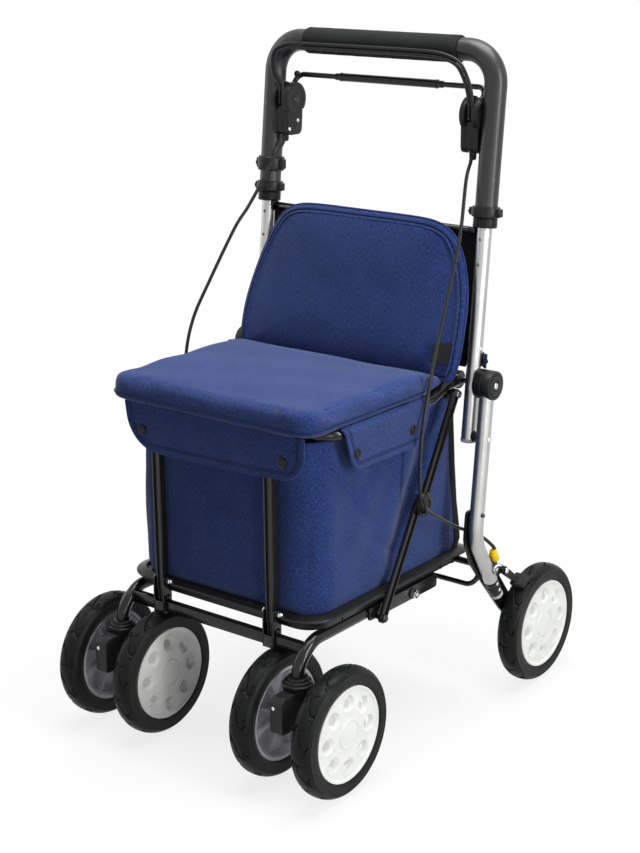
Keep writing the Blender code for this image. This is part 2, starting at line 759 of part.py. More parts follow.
def make_posts():
    """Front posts between the base brackets and the seat frame."""
    for label, side in SIDES.items():
        foot = Vector((side * POST_X, POST_FOOT_Y, POST_FOOT_Z))
        head = Vector((side * POST_X, POST_HEAD_Y, POST_HEAD_Z))
        end = (head - foot).normalized() * POST_END
        post = cylinder("front_post_" + label, foot - end, head + end, POST_RADIUS, 12)
        reach = Vector((0.02, 0.0, 0.0))
        for place, pivot in (("foot", foot), ("head", head)):
            cut(post, cylinder(
                "post_bore_" + label + "_" + place, pivot - reach, pivot + reach,
                POST_PIN_RADIUS + CLEARANCE, 12,
            ))
        finish(post, STEEL_BLACK)


def lower_brace_x():
    """Inner and outer x of the lower brace, beside the tray."""
    return BRACE_X, BRACE_X + BRACE_THICKNESS


def upper_brace_x():
    """Inner and outer x of the upper brace, which laps the lower one at the elbow."""
    inner = lower_brace_x()[1] + CLEARANCE
    return inner, inner + BRACE_THICKNESS


def brace_bar(name, start, end, x_range, side, end_steps=6):
    """Bar with round ends between two (y, z) points, grooved along its outer face."""
    start, end = Vector(start), Vector(end)
    way = (end - start).normalized()
    across = Vector((-way.y, way.x))
    radius = BRACE_WIDTH / 2
    outline = []
    for centre, turn in ((end, 1), (start, -1)):
        for i in range(end_steps + 1):
            angle = math.pi * (i / end_steps - 0.5)
            offset = way * math.cos(angle) + across * math.sin(angle)
            point = centre + offset * radius * turn
            outline.append((point.x, point.y))
    inner, outer = side * x_range[0], side * x_range[1]
    bar = outline_plate(name, outline, min(inner, outer), max(inner, outer))
    lip = radius - 0.002
    trim = radius + 0.004
    corners = [
        start + way * trim + across * lip,
        end - way * trim + across * lip,
        end - way * trim - across * lip,
        start + way * trim - across * lip,
    ]
    floor = side * (x_range[1] - BRACE_GROOVE)
    past = side * (x_range[1] + 0.002)
    groove = outline_plate(name + "_groove", [(c.x, c.y) for c in corners], min(floor, past), max(floor, past))
    return cut(bar, groove)


def make_braces():
    """Two-part folding braces; the upper part carries the knuckle over the elbow."""
    elbow_y, elbow_z = BRACE_ELBOW
    for label, side in SIDES.items():
        upper = brace_bar("brace_upper_" + label, BRACE_HEAD, BRACE_ELBOW, upper_brace_x(), side)
        outer = upper_brace_x()[1]
        join(upper, cylinder(
            "brace_knuckle_" + label, (side * (outer - 0.004), elbow_y, elbow_z),
            (side * (outer + KNUCKLE_THICKNESS - 0.001), elbow_y, elbow_z), KNUCKLE_RADIUS, 16,
        ))
        brace_bore(upper, "brace_head_bore_" + label, side, BRACE_HEAD)
        finish(upper, STEEL_BLACK)
        lower = brace_bar("brace_lower_" + label, BRACE_ELBOW, BRACE_FOOT, lower_brace_x(), side)
        brace_bore(lower, "brace_foot_bore_" + label, side, BRACE_FOOT)
        finish(lower, STEEL_BLACK)


def brace_bore(bar, name, side, place):
    """Bore a brace for its pin at a (y, z) place."""
    y, z = place
    cut(bar, cylinder(
        name, (side * (BRACE_X - 0.005), y, z), (side * (upper_brace_x()[1] + 0.005), y, z),
        BRACE_PIN_RADIUS + CLEARANCE, 12,
    ))


def make_seat_frame():
    """U-shaped seat tube with pivot eyes, brace pins and post lugs."""
    def half_route(side):
        x = side * SEAT_RAIL_X
        return [
            (x, SEAT_PIVOT_Y, SEAT_PIVOT_Z),
            (x, SEAT_PIVOT_Y - 0.030, SEAT_PIVOT_Z - 0.001),
            (x, CUSHION_REAR_Y + 0.014, SEAT_TUBE_Z + 0.001),
            (x, CUSHION_REAR_Y - 0.010, SEAT_TUBE_Z),
        ]
    left = rounded_route(half_route(-1), 0.020, 2)
    right = rounded_route(half_route(1), 0.020, 2)
    front = [
        (-SEAT_RAIL_X, CUSHION_REAR_Y - 0.010, SEAT_TUBE_Z),
        (-SEAT_RAIL_X, SEAT_FRONT_Y, SEAT_TUBE_Z),
        (SEAT_RAIL_X, SEAT_FRONT_Y, SEAT_TUBE_Z),
        (SEAT_RAIL_X, CUSHION_REAR_Y - 0.010, SEAT_TUBE_Z),
    ]
    route = left[:-1] + rounded_route(front, SEAT_CORNER, 4) + right[-2::-1]
    frame = tube("seat_frame", route, SEAT_TUBE_RADIUS, 3)
    bores = []
    for label, side in SIDES.items():
        half = RAIL_EYE_THICKNESS / 2
        inner, outer = side * (SEAT_RAIL_X - half), side * (SEAT_RAIL_X + half)
        eye = cylinder(
            "rail_eye_" + label, (inner, SEAT_PIVOT_Y, SEAT_PIVOT_Z),
            (outer, SEAT_PIVOT_Y, SEAT_PIVOT_Z), RAIL_EYE_RADIUS, 16,
        )
        head_y, head_z = BRACE_HEAD
        pin = cylinder(
            "brace_head_pin_" + label, (side * (SEAT_RAIL_X + BRACE_TAB_INSET + 0.0015), head_y, head_z),
            (side * (upper_brace_x()[1] + 0.003), head_y, head_z), BRACE_PIN_RADIUS, 12,
        )
        tab = outline_plate("brace_tab_" + label, [
            (head_y - 0.006, head_z - 0.006), (head_y + 0.006, head_z - 0.006),
            (head_y + 0.008, SEAT_PIVOT_Z), (head_y - 0.010, SEAT_PIVOT_Z - 0.004),
        ], *sorted((side * (SEAT_RAIL_X + BRACE_TAB_INSET), side * (upper_brace_x()[0] - 0.006))))
        join(frame, eye, tab, pin, *post_lugs(label, side))
        bores.append(cylinder(
            "rail_bore_" + label, (side * 0.13, SEAT_PIVOT_Y, SEAT_PIVOT_Z),
            (side * 0.165, SEAT_PIVOT_Y, SEAT_PIVOT_Z), PIVOT_BOLT_RADIUS + CLEARANCE, 12,
        ))
    cut(frame, *bores)
    finish(frame, STEEL_BLACK)


def post_lugs(label, side):
    """Lugs on the seat tube that hold one post's head on a pin."""
    x = side * POST_X
    gap = POST_RADIUS + CLEARANCE
    wall = gap + BRACKET_WALL
    pieces = []
    for way in (-1, 1):
        cheek = sorted((x + way * gap, x + way * wall))
        outline = [
            (SEAT_FRONT_Y, SEAT_TUBE_Z - 0.006),
            (POST_HEAD_Y - 0.005, POST_HEAD_Z - 0.005),
            (POST_HEAD_Y - 0.005, POST_HEAD_Z + 0.005),
            (SEAT_FRONT_Y, SEAT_TUBE_Z + 0.006),
        ]
        pieces.append(outline_plate("post_lug_" + label + ("_a" if way < 0 else "_b"), outline, *cheek))
    pieces.append(cylinder(
        "post_head_pin_" + label, (x - wall - 0.0015, POST_HEAD_Y, POST_HEAD_Z),
        (x + wall + 0.0015, POST_HEAD_Y, POST_HEAD_Z), POST_PIN_RADIUS, 12,
    ))
    return pieces


CUSHION_LINES = (-1.0, -0.88, 0.88, 1.0)
PAD_LINES = (-1.0, -0.76, 0.76, 1.0)


def padded_form(name, shape, lines, crease, material):
    """Cushion from a coarse cage: shape gives each cage point for u, v and the face, 0 or 1."""
    bm = bmesh.new()
    count = len(lines)
    sheets = []
    for face in (0, 1):
        sheets.append([[bm.verts.new(shape(u, v, face)) for u in lines] for v in lines])
    for sheet in sheets:
        for j in range(count - 1):
            for i in range(count - 1):
                bm.faces.new((sheet[j][i], sheet[j][i + 1], sheet[j + 1][i + 1], sheet[j + 1][i]))
    border = [(0, i) for i in range(count)] + [(j, count - 1) for j in range(1, count)]
    border += [(count - 1, i) for i in range(count - 2, -1, -1)] + [(j, 0) for j in range(count - 2, 0, -1)]
    for (j, i), (m, n) in zip(border, border[1:] + border[:1]):
        bm.faces.new((sheets[0][j][i], sheets[0][m][n], sheets[1][m][n], sheets[1][j][i]))
    creases = bm.edges.layers.float.new("crease_edge")
    for sheet in sheets:
        for (j, i), (m, n) in zip(border, border[1:] + border[:1]):
            bm.edges.get((sheet[j][i], sheet[m][n]))[creases] = crease
    pad = mesh_object(name, bm)
    soft = pad.modifiers.new("soft", "SUBSURF")
    soft.levels = 2
    soft.render_levels = 2
    finish(pad, material)
    return pad


def make_seat_cushion():
    """Seat cushion with its crown and drawn-in sides, flat under its board."""
    middle = (CUSHION_FRONT_Y + CUSHION_REAR_Y) / 2
    half_depth = (CUSHION_REAR_Y - CUSHION_FRONT_Y) / 2

    def shape(u, v, face):
        inside = abs(u) < 1 and abs(v) < 1
        draw_x = CUSHION_DRAW_IN if abs(u) == 1 and abs(v) < 1 else 0.0
        draw_y = CUSHION_DRAW_IN if abs(v) == 1 and abs(u) < 1 else 0.0
        corner = CUSHION_CORNER_CUT if abs(u) == 1 and abs(v) == 1 else 0.0
        x = u * (CUSHION_HALF_WIDTH - draw_x - corner)
        y = middle + v * (half_depth - draw_y - corner)
        crown = CUSHION_CROWN if inside else 0.0
        z = CUSHION_BOTTOM + (CUSHION_HEIGHT + crown) * face
        return x, y, z

    padded_form("seat_cushion", shape, CUSHION_LINES, CUSHION_CREASE, NAVY_FABRIC)


def make_backrest():
    """Bar, cloth panel and padded cushion of the backrest."""
    reach = UPRIGHT_X - UPRIGHT_RADIUS - CLEARANCE
    bar_y = upright_y(BACK_BAR_Z)
    finish(cylinder(
        "back_bar", (-reach, bar_y, BACK_BAR_Z), (reach, bar_y, BACK_BAR_Z), BACK_BAR_RADIUS, 12,
    ), STEEL_BLACK)
    top = BACK_BAR_Z - BACK_BAR_RADIUS - CLEARANCE
    half = PANEL_THICKNESS / 2
    outline = [
        (upright_y(PANEL_BOTTOM) - half, PANEL_BOTTOM), (upright_y(PANEL_BOTTOM) + half, PANEL_BOTTOM),
        (upright_y(top) + half, top), (upright_y(top) - half, top),
    ]
    panel = outline_plate("back_panel", outline, -reach, reach)
    for label, side in SIDES.items():
        x = side * PAD_TAB_X
        join(panel, box(
            "pad_tab_" + label, (x - PAD_TAB_WIDTH / 2, PAD_TAB_FRONT, PAD_TAB_Z - PANEL_THICKNESS),
            (x + PAD_TAB_WIDTH / 2, upright_y(PAD_TAB_Z), PAD_TAB_Z),
        ))
    finish(panel, BLACK_FABRIC)
    def shape(u, v, face):
        share, half_width, drop = PAD_ROWS[PAD_LINES.index(v)]
        corner_drop = drop if abs(u) == 1 else 0.0
        z = PAD_BOTTOM_Z + (PAD_TOP_Z - PAD_BOTTOM_Z) * share - corner_drop
        middle = PAD_BOTTOM_Y + PAD_SLOPE * (PAD_TOP_Z - PAD_BOTTOM_Z) * share
        swell = PAD_EDGE + PAD_CROWN if abs(u) < 1 and abs(v) < 1 else PAD_EDGE
        y = middle - swell if face == 0 else middle + PAD_EDGE
        return u * half_width, y, z

    padded_form("backrest_pad", shape, PAD_LINES, 0.0, NAVY_FABRIC)


def hanging_flap(name, place, top_half, bottom_half, z_top, z_bottom, folds):
    """Cloth flap that hangs with shallow folds: place gives (x, y) for a width and an offset."""
    bm = bmesh.new()
    columns, rows = 13, 4
    grid = []
    for j in range(rows):
        down = j / (rows - 1)
        half = top_half + (bottom_half - top_half) * down ** 3
        row = []
        for i in range(columns):
            u = 2 * i / (columns - 1) - 1
            offset = FLAP_FOLD * down * (1 - math.cos(folds * math.pi * u))
            x, y = place(u * half, offset)
            row.append(bm.verts.new((x, y, z_top + (z_bottom - z_top) * down)))
        grid.append(row)
    for upper, lower in zip(grid, grid[1:]):
        for i in range(columns - 1):
            bm.faces.new((upper[i], upper[i + 1], lower[i + 1], lower[i]))
    flap = mesh_object(name, bm)
    cloth = flap.modifiers.new("cloth", "SOLIDIFY")
    cloth.thickness = FLAP_THICKNESS
    cloth.offset = 0
    finish(flap, NAVY_FABRIC)


def make_flaps():
    """Front flap over the posts and the two side flaps under the seat rails."""
    front_y = POST_HEAD_Y - POST_SWEEP - CLEARANCE - FLAP_THICKNESS / 2
    hanging_flap(
        "front_flap", lambda w, o: (w, front_y - o), FRONT_FLAP_TOP_HALF, FRONT_FLAP_BOTTOM_HALF,
        CUSHION_BOTTOM - CLEARANCE, FRONT_FLAP_BOTTOM, 4,
    )
    middle = (SIDE_FLAP_FRONT_Y + SIDE_FLAP_REAR_Y) / 2
    half = (SIDE_FLAP_REAR_Y - SIDE_FLAP_FRONT_Y) / 2
    for label, side in SIDES.items():
        x = side * (SEAT_RAIL_X + 0.0015)
        hanging_flap(
            "side_flap_" + label, lambda w, o, x=x, side=side: (x + side * o, middle + w), half,
            half - 0.016, SEAT_TUBE_Z - SEAT_TUBE_RADIUS - CLEARANCE, SIDE_FLAP_BOTTOM, 3,
        )


def hub_plate_x():
    """Inner and outer x of the steel hub plates, which lie against the legs."""
    outer = LEG_X - LEG_RADIUS - CLEARANCE
    return outer - HUB_PLATE_THICKNESS, outer


def make_rear_steel_frame():
    """Hub plates, fold bar and stay rod, welded together."""
    inner, outer = hub_plate_x()
    outline = [
        (0.060, 0.281), (0.056, 0.240), (0.073, 0.204), (0.093, 0.180), (0.148, 0.118),
        (REAR_AXLE_Y - 0.016, AXLE_HEIGHT - 0.012), (REAR_AXLE_Y - 0.004, AXLE_HEIGHT - 0.015),
        (REAR_AXLE_Y + 0.010, AXLE_HEIGHT - 0.011), (REAR_AXLE_Y + 0.014, AXLE_HEIGHT),
        (REAR_AXLE_Y + 0.009, AXLE_HEIGHT + 0.011), (0.168, 0.138), (0.130, 0.186),
        (0.112, 0.198), (0.088, 0.222), (0.078, 0.245), (0.076, 0.281),
    ]
    plates = []
    for label, side in SIDES.items():
        plate = outline_plate(
            "hub_plate_" + label, outline, min(side * inner, side * outer), max(side * inner, side * outer),
        )
        cut(plate, cylinder(
            "hub_plate_bore_" + label, (side * 0.17, REAR_AXLE_Y, AXLE_HEIGHT),
            (side * 0.2, REAR_AXLE_Y, AXLE_HEIGHT), AXLE_RADIUS + CLEARANCE, 12,
        ))
        plates.append(plate)
    weld_x = (inner + outer) / 2
    rod_x = outer - STAY_ROD_RADIUS - CLEARANCE
    rod_route = rounded_route([
        (-rod_x, STAY_ROD_Y + 0.013, STAY_ROD_Z + STAY_ROD_RISE),
        (-rod_x, STAY_ROD_Y, STAY_ROD_Z),
        (rod_x, STAY_ROD_Y, STAY_ROD_Z),
        (rod_x, STAY_ROD_Y + 0.013, STAY_ROD_Z + STAY_ROD_RISE),
    ], 0.010, 3)
    rod = tube("stay_rod", rod_route, STAY_ROD_RADIUS, 2)
    frame = cylinder(
        "rear_steel_frame", (-weld_x, FOLD_BAR_Y, FOLD_BAR_Z), (weld_x, FOLD_BAR_Y, FOLD_BAR_Z),
        FOLD_BAR_RADIUS, 12,
    )
    join(frame, *plates, rod)
    finish(frame, STEEL_BLACK)


def leg_y(z):
    """Y of a leg's straight stretch at a height."""
    return SEAT_PIVOT_Y - LEG_SET_FORWARD + LEAN * (z - SEAT_PIVOT_Z)


def make_legs():
    """Bent rear legs, their round housings at the seat pivot and the spacers below."""
    top = SEAT_PIVOT_Z - LEG_SOCKET_DROP
    for label, side in SIDES.items():
        x = side * LEG_X
        corners = [
            (x, leg_y(top), top),
            (x, leg_y(LEG_BEND_Z), LEG_BEND_Z),
            (x, LEG_FOOT_Y, LEG_FOOT_Z),
        ]
        leg = tube("rear_leg_" + label, rounded_route(corners, LEG_BEND_RADIUS, 5), LEG_RADIUS, 5)
        finish(leg, ALUMINIUM)
        start = side * (UPRIGHT_X + UPRIGHT_RADIUS + CLEARANCE)
        end = start + side * HOUSING_LENGTH
        housing = cylinder(
            "fold_housing_" + label, (start, SEAT_PIVOT_Y, SEAT_PIVOT_Z), (end, SEAT_PIVOT_Y, SEAT_PIVOT_Z),
            HOUSING_RADIUS, 24,
        )
        bolt = cylinder(
            "pivot_bolt_" + label, (side * (SEAT_RAIL_X - RAIL_EYE_THICKNESS), SEAT_PIVOT_Y, SEAT_PIVOT_Z),
            (start + side * 0.002, SEAT_PIVOT_Y, SEAT_PIVOT_Z), PIVOT_BOLT_RADIUS, 12,
        )
        low = SEAT_PIVOT_Z - 2 * HOUSING_RADIUS
        socket_top = top + CLEARANCE
        socket = cylinder(
            "leg_socket_" + label, (x, leg_y(low), low), (x, leg_y(socket_top), socket_top),
            LEG_RADIUS + CLEARANCE, 16,
        )
        join(housing, bolt)
        cut(housing, socket)
        finish(housing, PLASTIC_BLACK)
        y = (upright_y(SPACER_Z) + leg_y(SPACER_Z)) / 2
        ends = [
            (start, y, SPACER_Z),
            (side * (LEG_X - LEG_RADIUS - CLEARANCE), y, SPACER_Z),
        ]
        finish(cylinder("leg_spacer_" + label, *ends, SPACER_RADIUS, 16), PLASTIC_BLACK)


def make_uprights():
    """Leaning silver uprights with their row of height holes."""
    for label, side in SIDES.items():
        x = side * UPRIGHT_X
        upright = cylinder(
            "upright_" + label, (x, upright_y(UPRIGHT_BOTTOM), UPRIGHT_BOTTOM),
            (x, upright_y(UPRIGHT_TOP), UPRIGHT_TOP), UPRIGHT_RADIUS, 20,
        )
        for i in range(HOLE_COUNT):
            z = BUSH_BOTTOM - FIRST_HOLE_DROP - i * HOLE_SPACING
            y = upright_y(z)
            cut(upright, cylinder(
                "height_hole_" + label + str(i), (x, y - 0.02, z), (x, y - 0.006, z), HOLE_RADIUS, 8,
            ))
        cut(upright, cylinder(
            "upright_bore_" + label, (side * 0.15, SEAT_PIVOT_Y, SEAT_PIVOT_Z),
            (side * 0.19, SEAT_PIVOT_Y, SEAT_PIVOT_Z), PIVOT_BOLT_RADIUS + CLEARANCE, 12,
        ))
        finish(upright, ALUMINIUM)


def leg_axis(side, z_low, z_high):
    """Two points on an upright's axis."""
    x = side * UPRIGHT_X
    return (x, upright_y(z_low), z_low), (x, upright_y(z_high), z_high)


def make_handle():
    """Handle tube that slides on the uprights, its grip, collars and accessory clamp."""
    corners = [
        (-UPRIGHT_X, upright_y(HANDLE_BOTTOM_Z), HANDLE_BOTTOM_Z),
        (-UPRIGHT_X, upright_y(HANDLE_TOP_Z), HANDLE_TOP_Z),
        (UPRIGHT_X, upright_y(HANDLE_TOP_Z), HANDLE_TOP_Z),
        (UPRIGHT_X, upright_y(HANDLE_BOTTOM_Z), HANDLE_BOTTOM_Z),
    ]
    handle = tube("handle_tube", rounded_route(corners, HANDLE_BEND, 7), HANDLE_RADIUS, 4)
    for label, side in SIDES.items():
        low, high = leg_axis(side, HANDLE_BOTTOM_Z - 0.01, UPRIGHT_TOP + 0.004)
        cut(handle, cylinder("handle_bore_" + label, low, high, UPRIGHT_RADIUS + CLEARANCE, 20))
    finish(handle, HANDLE_BLACK)
    inner = HANDLE_RADIUS + CLEARANCE
    outer = inner + GRIP_THICKNESS
    half = GRIP_HALF_LENGTH
    grip = [
        (inner, half), (outer - 0.001, half), (outer, half - 0.002),
        (outer, 0.002 - half), (outer - 0.001, -half), (inner, -half),
    ]
    centre = (0.0, upright_y(HANDLE_TOP_Z), HANDLE_TOP_Z)
    finish(turned("handle_grip", grip, facing_x(centre, 1), 16, closed=True), FOAM_BLACK)
    for label, side in SIDES.items():
        make_height_collar("height_collar_" + label, side)
    make_clamp("accessory_clamp", -1, CLAMP_BOTTOM, CLAMP_TOP)


def ring_on_upright(name, side, profile):
    """Turned ring round an upright's axis, from (radius, world height) pairs."""
    low, high = leg_axis(side, BUSH_BOTTOM, CLAMP_TOP)
    stretch = (Vector(high) - Vector(low)).length / (CLAMP_TOP - BUSH_BOTTOM)
    middle = (BUSH_BOTTOM + CLAMP_TOP) / 2
    local = [(r, (z - middle) * stretch) for r, z in profile]
    return turned(name, local, along(low, high), 16, closed=True)


def side_lugs(name, side, radius, z_low, z_high):
    """Two small lugs beside a ring on an upright."""
    x = side * UPRIGHT_X
    y = upright_y((z_low + z_high) / 2)
    pieces = []
    for way in (-1, 1):
        edges = sorted((x + way * (radius - 0.001), x + way * (radius + LUG_REACH)))
        pieces.append(box(
            name + ("_lug_a" if way < 0 else "_lug_b"), (edges[0], y - 0.005, z_low), (edges[1], y + 0.005, z_high),
        ))
    return pieces


def make_height_collar(name, side):
    """Collar at the foot of a handle leg, with its ribbed bush on the upright."""
    bore = UPRIGHT_RADIUS + CLEARANCE
    seat = HANDLE_RADIUS + CLEARANCE
    outer = seat + COLLAR_WALL
    seat_z = HANDLE_BOTTOM_Z - 2 * CLEARANCE
    profile = [
        (seat, COLLAR_TOP), (outer, COLLAR_TOP), (outer, COLLAR_TOP - 0.014),
        (BUSH_RADIUS, COLLAR_TOP - 0.015), (BUSH_RADIUS, BUSH_BOTTOM), (bore, BUSH_BOTTOM),
        (bore, seat_z), (seat, seat_z),
    ]
    collar = ring_on_upright(name, side, profile)
    join(collar, *side_lugs(name, side, outer, COLLAR_TOP - 0.012, COLLAR_TOP - 0.002))
    finish(collar, PLASTIC_BLACK)


def make_clamp(name, side, z_low, z_high):
    """Clamp for accessories round a handle leg."""
    inner = HANDLE_RADIUS + CLEARANCE
    outer = inner + COLLAR_WALL
    profile = [
        (inner, z_high), (outer - 0.001, z_high), (outer, z_high - 0.002),
        (outer, z_low + 0.002), (outer - 0.001, z_low), (inner, z_low),
    ]
    clamp = ring_on_upright(name, side, profile)
    join(clamp, *side_lugs(name, side, outer, z_low + 0.003, z_high - 0.003))
    finish(clamp, PLASTIC_BLACK)


def brake_pivot(side):
    """Centre of a brake housing, on the bar's turning axis."""
    outer = UPRIGHT_X - HANDLE_RADIUS + 0.003
    return side * (outer - BRAKE_HOUSING_WIDTH / 2), upright_y(BRAKE_PIVOT_Z), BRAKE_PIVOT_Z


def make_brake_housings():
    """Brake housings inside the handle legs: round top, box below and a slot for the bar's arm."""
    for label, side in SIDES.items():
        x, y, z = brake_pivot(side)
        half = BRAKE_HOUSING_WIDTH / 2
        housing = cylinder(
            "brake_housing_" + label, (x - half, y, z), (x + half, y, z), BRAKE_DISC_RADIUS, 20,
        )
        lower = box(
            "brake_box_" + label, (x - half, y - 0.017, BRAKE_BOX_BOTTOM), (x + half, y + 0.013, z - 0.006),
        )
        slot_half = LINK_SPACING / 2 + CABLE_RADIUS + 2 * CLEARANCE
        slot = box(
            "brake_slot_" + label, (x - slot_half, y - 0.03, z - BRAKE_SLOT_DEPTH),
            (x + slot_half, y + 0.03, z + 0.03),
        )
        low, high = leg_axis(side, BRAKE_BOX_BOTTOM - 0.02, z + 0.04)
        saddle = cylinder("brake_saddle_" + label, low, high, HANDLE_RADIUS + CLEARANCE, 24)
        pin = cylinder(
            "brake_pin_" + label, (x - slot_half - 0.003, y, z), (x + slot_half + 0.003, y, z), BRAKE_PIN_RADIUS, 12,
        )
        join(housing, lower)
        cut(housing, slot, saddle)
        join(housing, pin)
        finish(housing, PLASTIC_BLACK)


def make_brake_bar():
    """Brake bar with its thicker middle and the two arms that turn in the housings."""
    (left_x, y, z), (right_x, _, _) = brake_pivot(-1), brake_pivot(1)
    up = (y + BRAKE_BAR_BACK, z + BRAKE_BAR_RISE)
    corners = [(left_x, y, z), (left_x, *up), (right_x, *up), (right_x, y, z)]
    bar = tube("brake_bar", rounded_route(corners, 0.012, 4), BRAKE_BAR_RADIUS, 3)
    sleeve = cylinder(
        "brake_sleeve", (-BRAKE_SLEEVE_HALF, *up), (BRAKE_SLEEVE_HALF, *up), BRAKE_SLEEVE_RADIUS, 12,
    )
    join(bar, sleeve)
    for label, x in (("left", left_x), ("right", right_x)):
        join(bar, cylinder(
            "brake_eye_" + label, (x - BRAKE_BAR_RADIUS, y, z), (x + BRAKE_BAR_RADIUS, y, z), BRAKE_EYE_RADIUS, 12,
        ))
        cut(bar, cylinder(
            "brake_eye_bore_" + label, (x - 0.01, y, z), (x + 0.01, y, z), BRAKE_PIN_RADIUS + CLEARANCE, 12,
        ))
    finish(bar, STEEL_BLACK)


def link_route():
    """Middle line of the pair of linking cables, as (x, z) points from the right to the left."""
    x, _, z = brake_pivot(1)
    top = HANDLE_TOP_Z
    floor = z - BRAKE_SLOT_DEPTH + CLEARANCE
    return [
        (x, floor), (x, z + 0.012), (x - 0.002, z + 0.027), (x - 0.008, z + 0.044),
        (x - 0.019, top - 0.017), (x - 0.035, top - 0.0095), (x - 0.052, top - 0.0065),
        (0.0, top - 0.0055), (0.052 - x, top - 0.0055), (0.012 - x, top - 0.0065),
        (-x - 0.006, top - 0.013), (-x - 0.012, top - 0.025), (-x - 0.0105, z + 0.035),
        (-x - 0.0045, z + 0.026), (-x, z + 0.0185), (-x, z + 0.008), (-x, floor),
    ]


def make_link_cables():
    """The two linking cables from housing to housing, side by side under the grip."""
    y = brake_pivot(1)[1] - LINK_FORWARD
    middle = smooth_route([(x, y, z) for x, z in link_route()], 2)
    for name, way in (("link_cable_inner", -1), ("link_cable_outer", 1)):
        route = []
        for i, point in enumerate(middle):
            ahead = (middle[min(i + 1, len(middle) - 1)] - middle[max(i - 1, 0)]).normalized()
            across = Vector((ahead.z, 0.0, -ahead.x))
            route.append(point + across * way * LINK_SPACING / 2)
        finish(tube(name, route, CABLE_RADIUS, 2), CABLE_BLACK)


CABLE_TOP_FOOT_Z = 0.470
RIGHT_CABLE_TOP = [
    (0.1490, -0.0071, 0.9969), (0.1490, -0.0062, 0.9618), (0.1500, -0.0152, 0.8790),
    (0.1556, -0.0271, 0.6752), (0.1580, -0.0351, 0.5573), (0.1580, -0.0440, 0.4324),
    (0.1565, -0.0562, 0.2382), (0.1570, -0.0651, 0.1145),
]
RIGHT_CABLE = [
    (0.1655, -0.0010, 0.4530), (0.1720, -0.0238, 0.4025), (0.1775, -0.0350, 0.3472),
    (0.1785, -0.0320, 0.3180), (0.1785, -0.0150, 0.3010), (0.1785, 0.0140, 0.2830),
    (0.1780, 0.0440, 0.2650), (0.1780, 0.0680, 0.2530), (0.1800, 0.0860, 0.2450), (0.1900, 0.0980, 0.2350),
    (0.1975, 0.1080, 0.2230), (0.1980, 0.1140, 0.2160),
]
LEFT_CABLE_TOP = [
    (-0.1490, -0.0071, 0.9969), (-0.1490, -0.0062, 0.9618), (-0.1560, -0.0198, 0.8664),
    (-0.1650, -0.0319, 0.7481), (-0.1755, -0.0440, 0.6336), (-0.1840, -0.0586, 0.5344),
    (-0.2040, -0.0820, 0.2710), (-0.2165, -0.0982, 0.0763),
]
LEFT_CABLE = [
    (-0.2168, -0.0220, 0.4400), (-0.2050, -0.0320, 0.3900), (-0.1880, -0.0370, 0.3472),
    (-0.1785, -0.0320, 0.3180), (-0.1785, -0.0150, 0.3010), (-0.1785, 0.0140, 0.2830),
    (-0.1780, 0.0440, 0.2650), (-0.1780, 0.0680, 0.2530), (-0.1800, 0.0860, 0.2450),
    (-0.1900, 0.0980, 0.2350), (-0.1975, 0.1080, 0.2230), (-0.1980, 0.1140, 0.2160),
]


def upper_cable(places):
    """Points of a cable's upper run, from (x, distance from the uprights' line, share of its height)."""
    points = []
    for x, ahead, share in places:
        z = CABLE_TOP_FOOT_Z + (BRAKE_BOX_BOTTOM - CABLE_TOP_FOOT_Z) * share
        points.append((x, upright_y(z) + ahead, z))
    return points


def make_brake_cables():
    """Main brake cables from each housing, past the knuckle, to the wheel brake."""
    routes = {
        "left": upper_cable(LEFT_CABLE_TOP) + LEFT_CABLE,
        "right": upper_cable(RIGHT_CABLE_TOP) + RIGHT_CABLE,
    }
    for label, route in routes.items():
        finish(tube("brake_cable_" + label, smooth_route(route, 2), CABLE_RADIUS, 2), CABLE_BLACK)


def make_wheel_brakes():
    """Brake bodies on the legs' feet, and the shoes that press on the rear tyres."""
    for label, side in SIDES.items():
        x = side * LEG_X
        foot = Vector((x, LEG_FOOT_Y, LEG_FOOT_Z))
        away = Vector((0, LEG_FOOT_Y - leg_y(LEG_BEND_Z), LEG_FOOT_Z - LEG_BEND_Z)).normalized()
        start = foot + away * CLEARANCE * 2
        body = cylinder(
            "brake_body_" + label, start, start + away * BRAKE_BODY_LENGTH, BRAKE_BODY_RADIUS, 16,
        )
        inner = side * (hub_plate_x()[1] + CLEARANCE)
        outer = side * (LEG_X - 0.003)
        holder = outline_plate("cable_holder_" + label, [
            (LEG_FOOT_Y + 0.003, LEG_FOOT_Z + 0.018), (LEG_FOOT_Y + 0.012, LEG_FOOT_Z + 0.037),
            (LEG_FOOT_Y + 0.022, LEG_FOOT_Z + 0.030), (LEG_FOOT_Y + 0.020, LEG_FOOT_Z - 0.010),
            (LEG_FOOT_Y + 0.008, LEG_FOOT_Z - 0.010),
        ], min(inner, outer), max(inner, outer))
        leg_relief = cylinder(
            "leg_relief_" + label, foot - away * 0.08, foot + away * CLEARANCE, LEG_RADIUS + CLEARANCE, 16,
        )
        pin = cylinder(
            "shoe_pin_" + label, (side * (LEG_X - 0.004), SHOE_PIVOT_Y, SHOE_PIVOT_Z),
            (side * (LEG_X + 0.008), SHOE_PIVOT_Y, SHOE_PIVOT_Z), SHOE_PIN_RADIUS, 12,
        )
        arm_root = outline_plate("shoe_root_" + label, [
            (LEG_FOOT_Y + 0.008, LEG_FOOT_Z - 0.006), (LEG_FOOT_Y + 0.008, LEG_FOOT_Z + 0.008),
            (SHOE_PIVOT_Y + 0.004, SHOE_PIVOT_Z + 0.004), (SHOE_PIVOT_Y + 0.003, SHOE_PIVOT_Z - 0.005),
        ], min(side * (LEG_X - 0.005), side * (LEG_X - 0.002)), max(side * (LEG_X - 0.005), side * (LEG_X - 0.002)))
        join(body, holder, arm_root, pin)
        cut(body, leg_relief)
        finish(body, PLASTIC_BLACK)
        make_shoe(label, side)


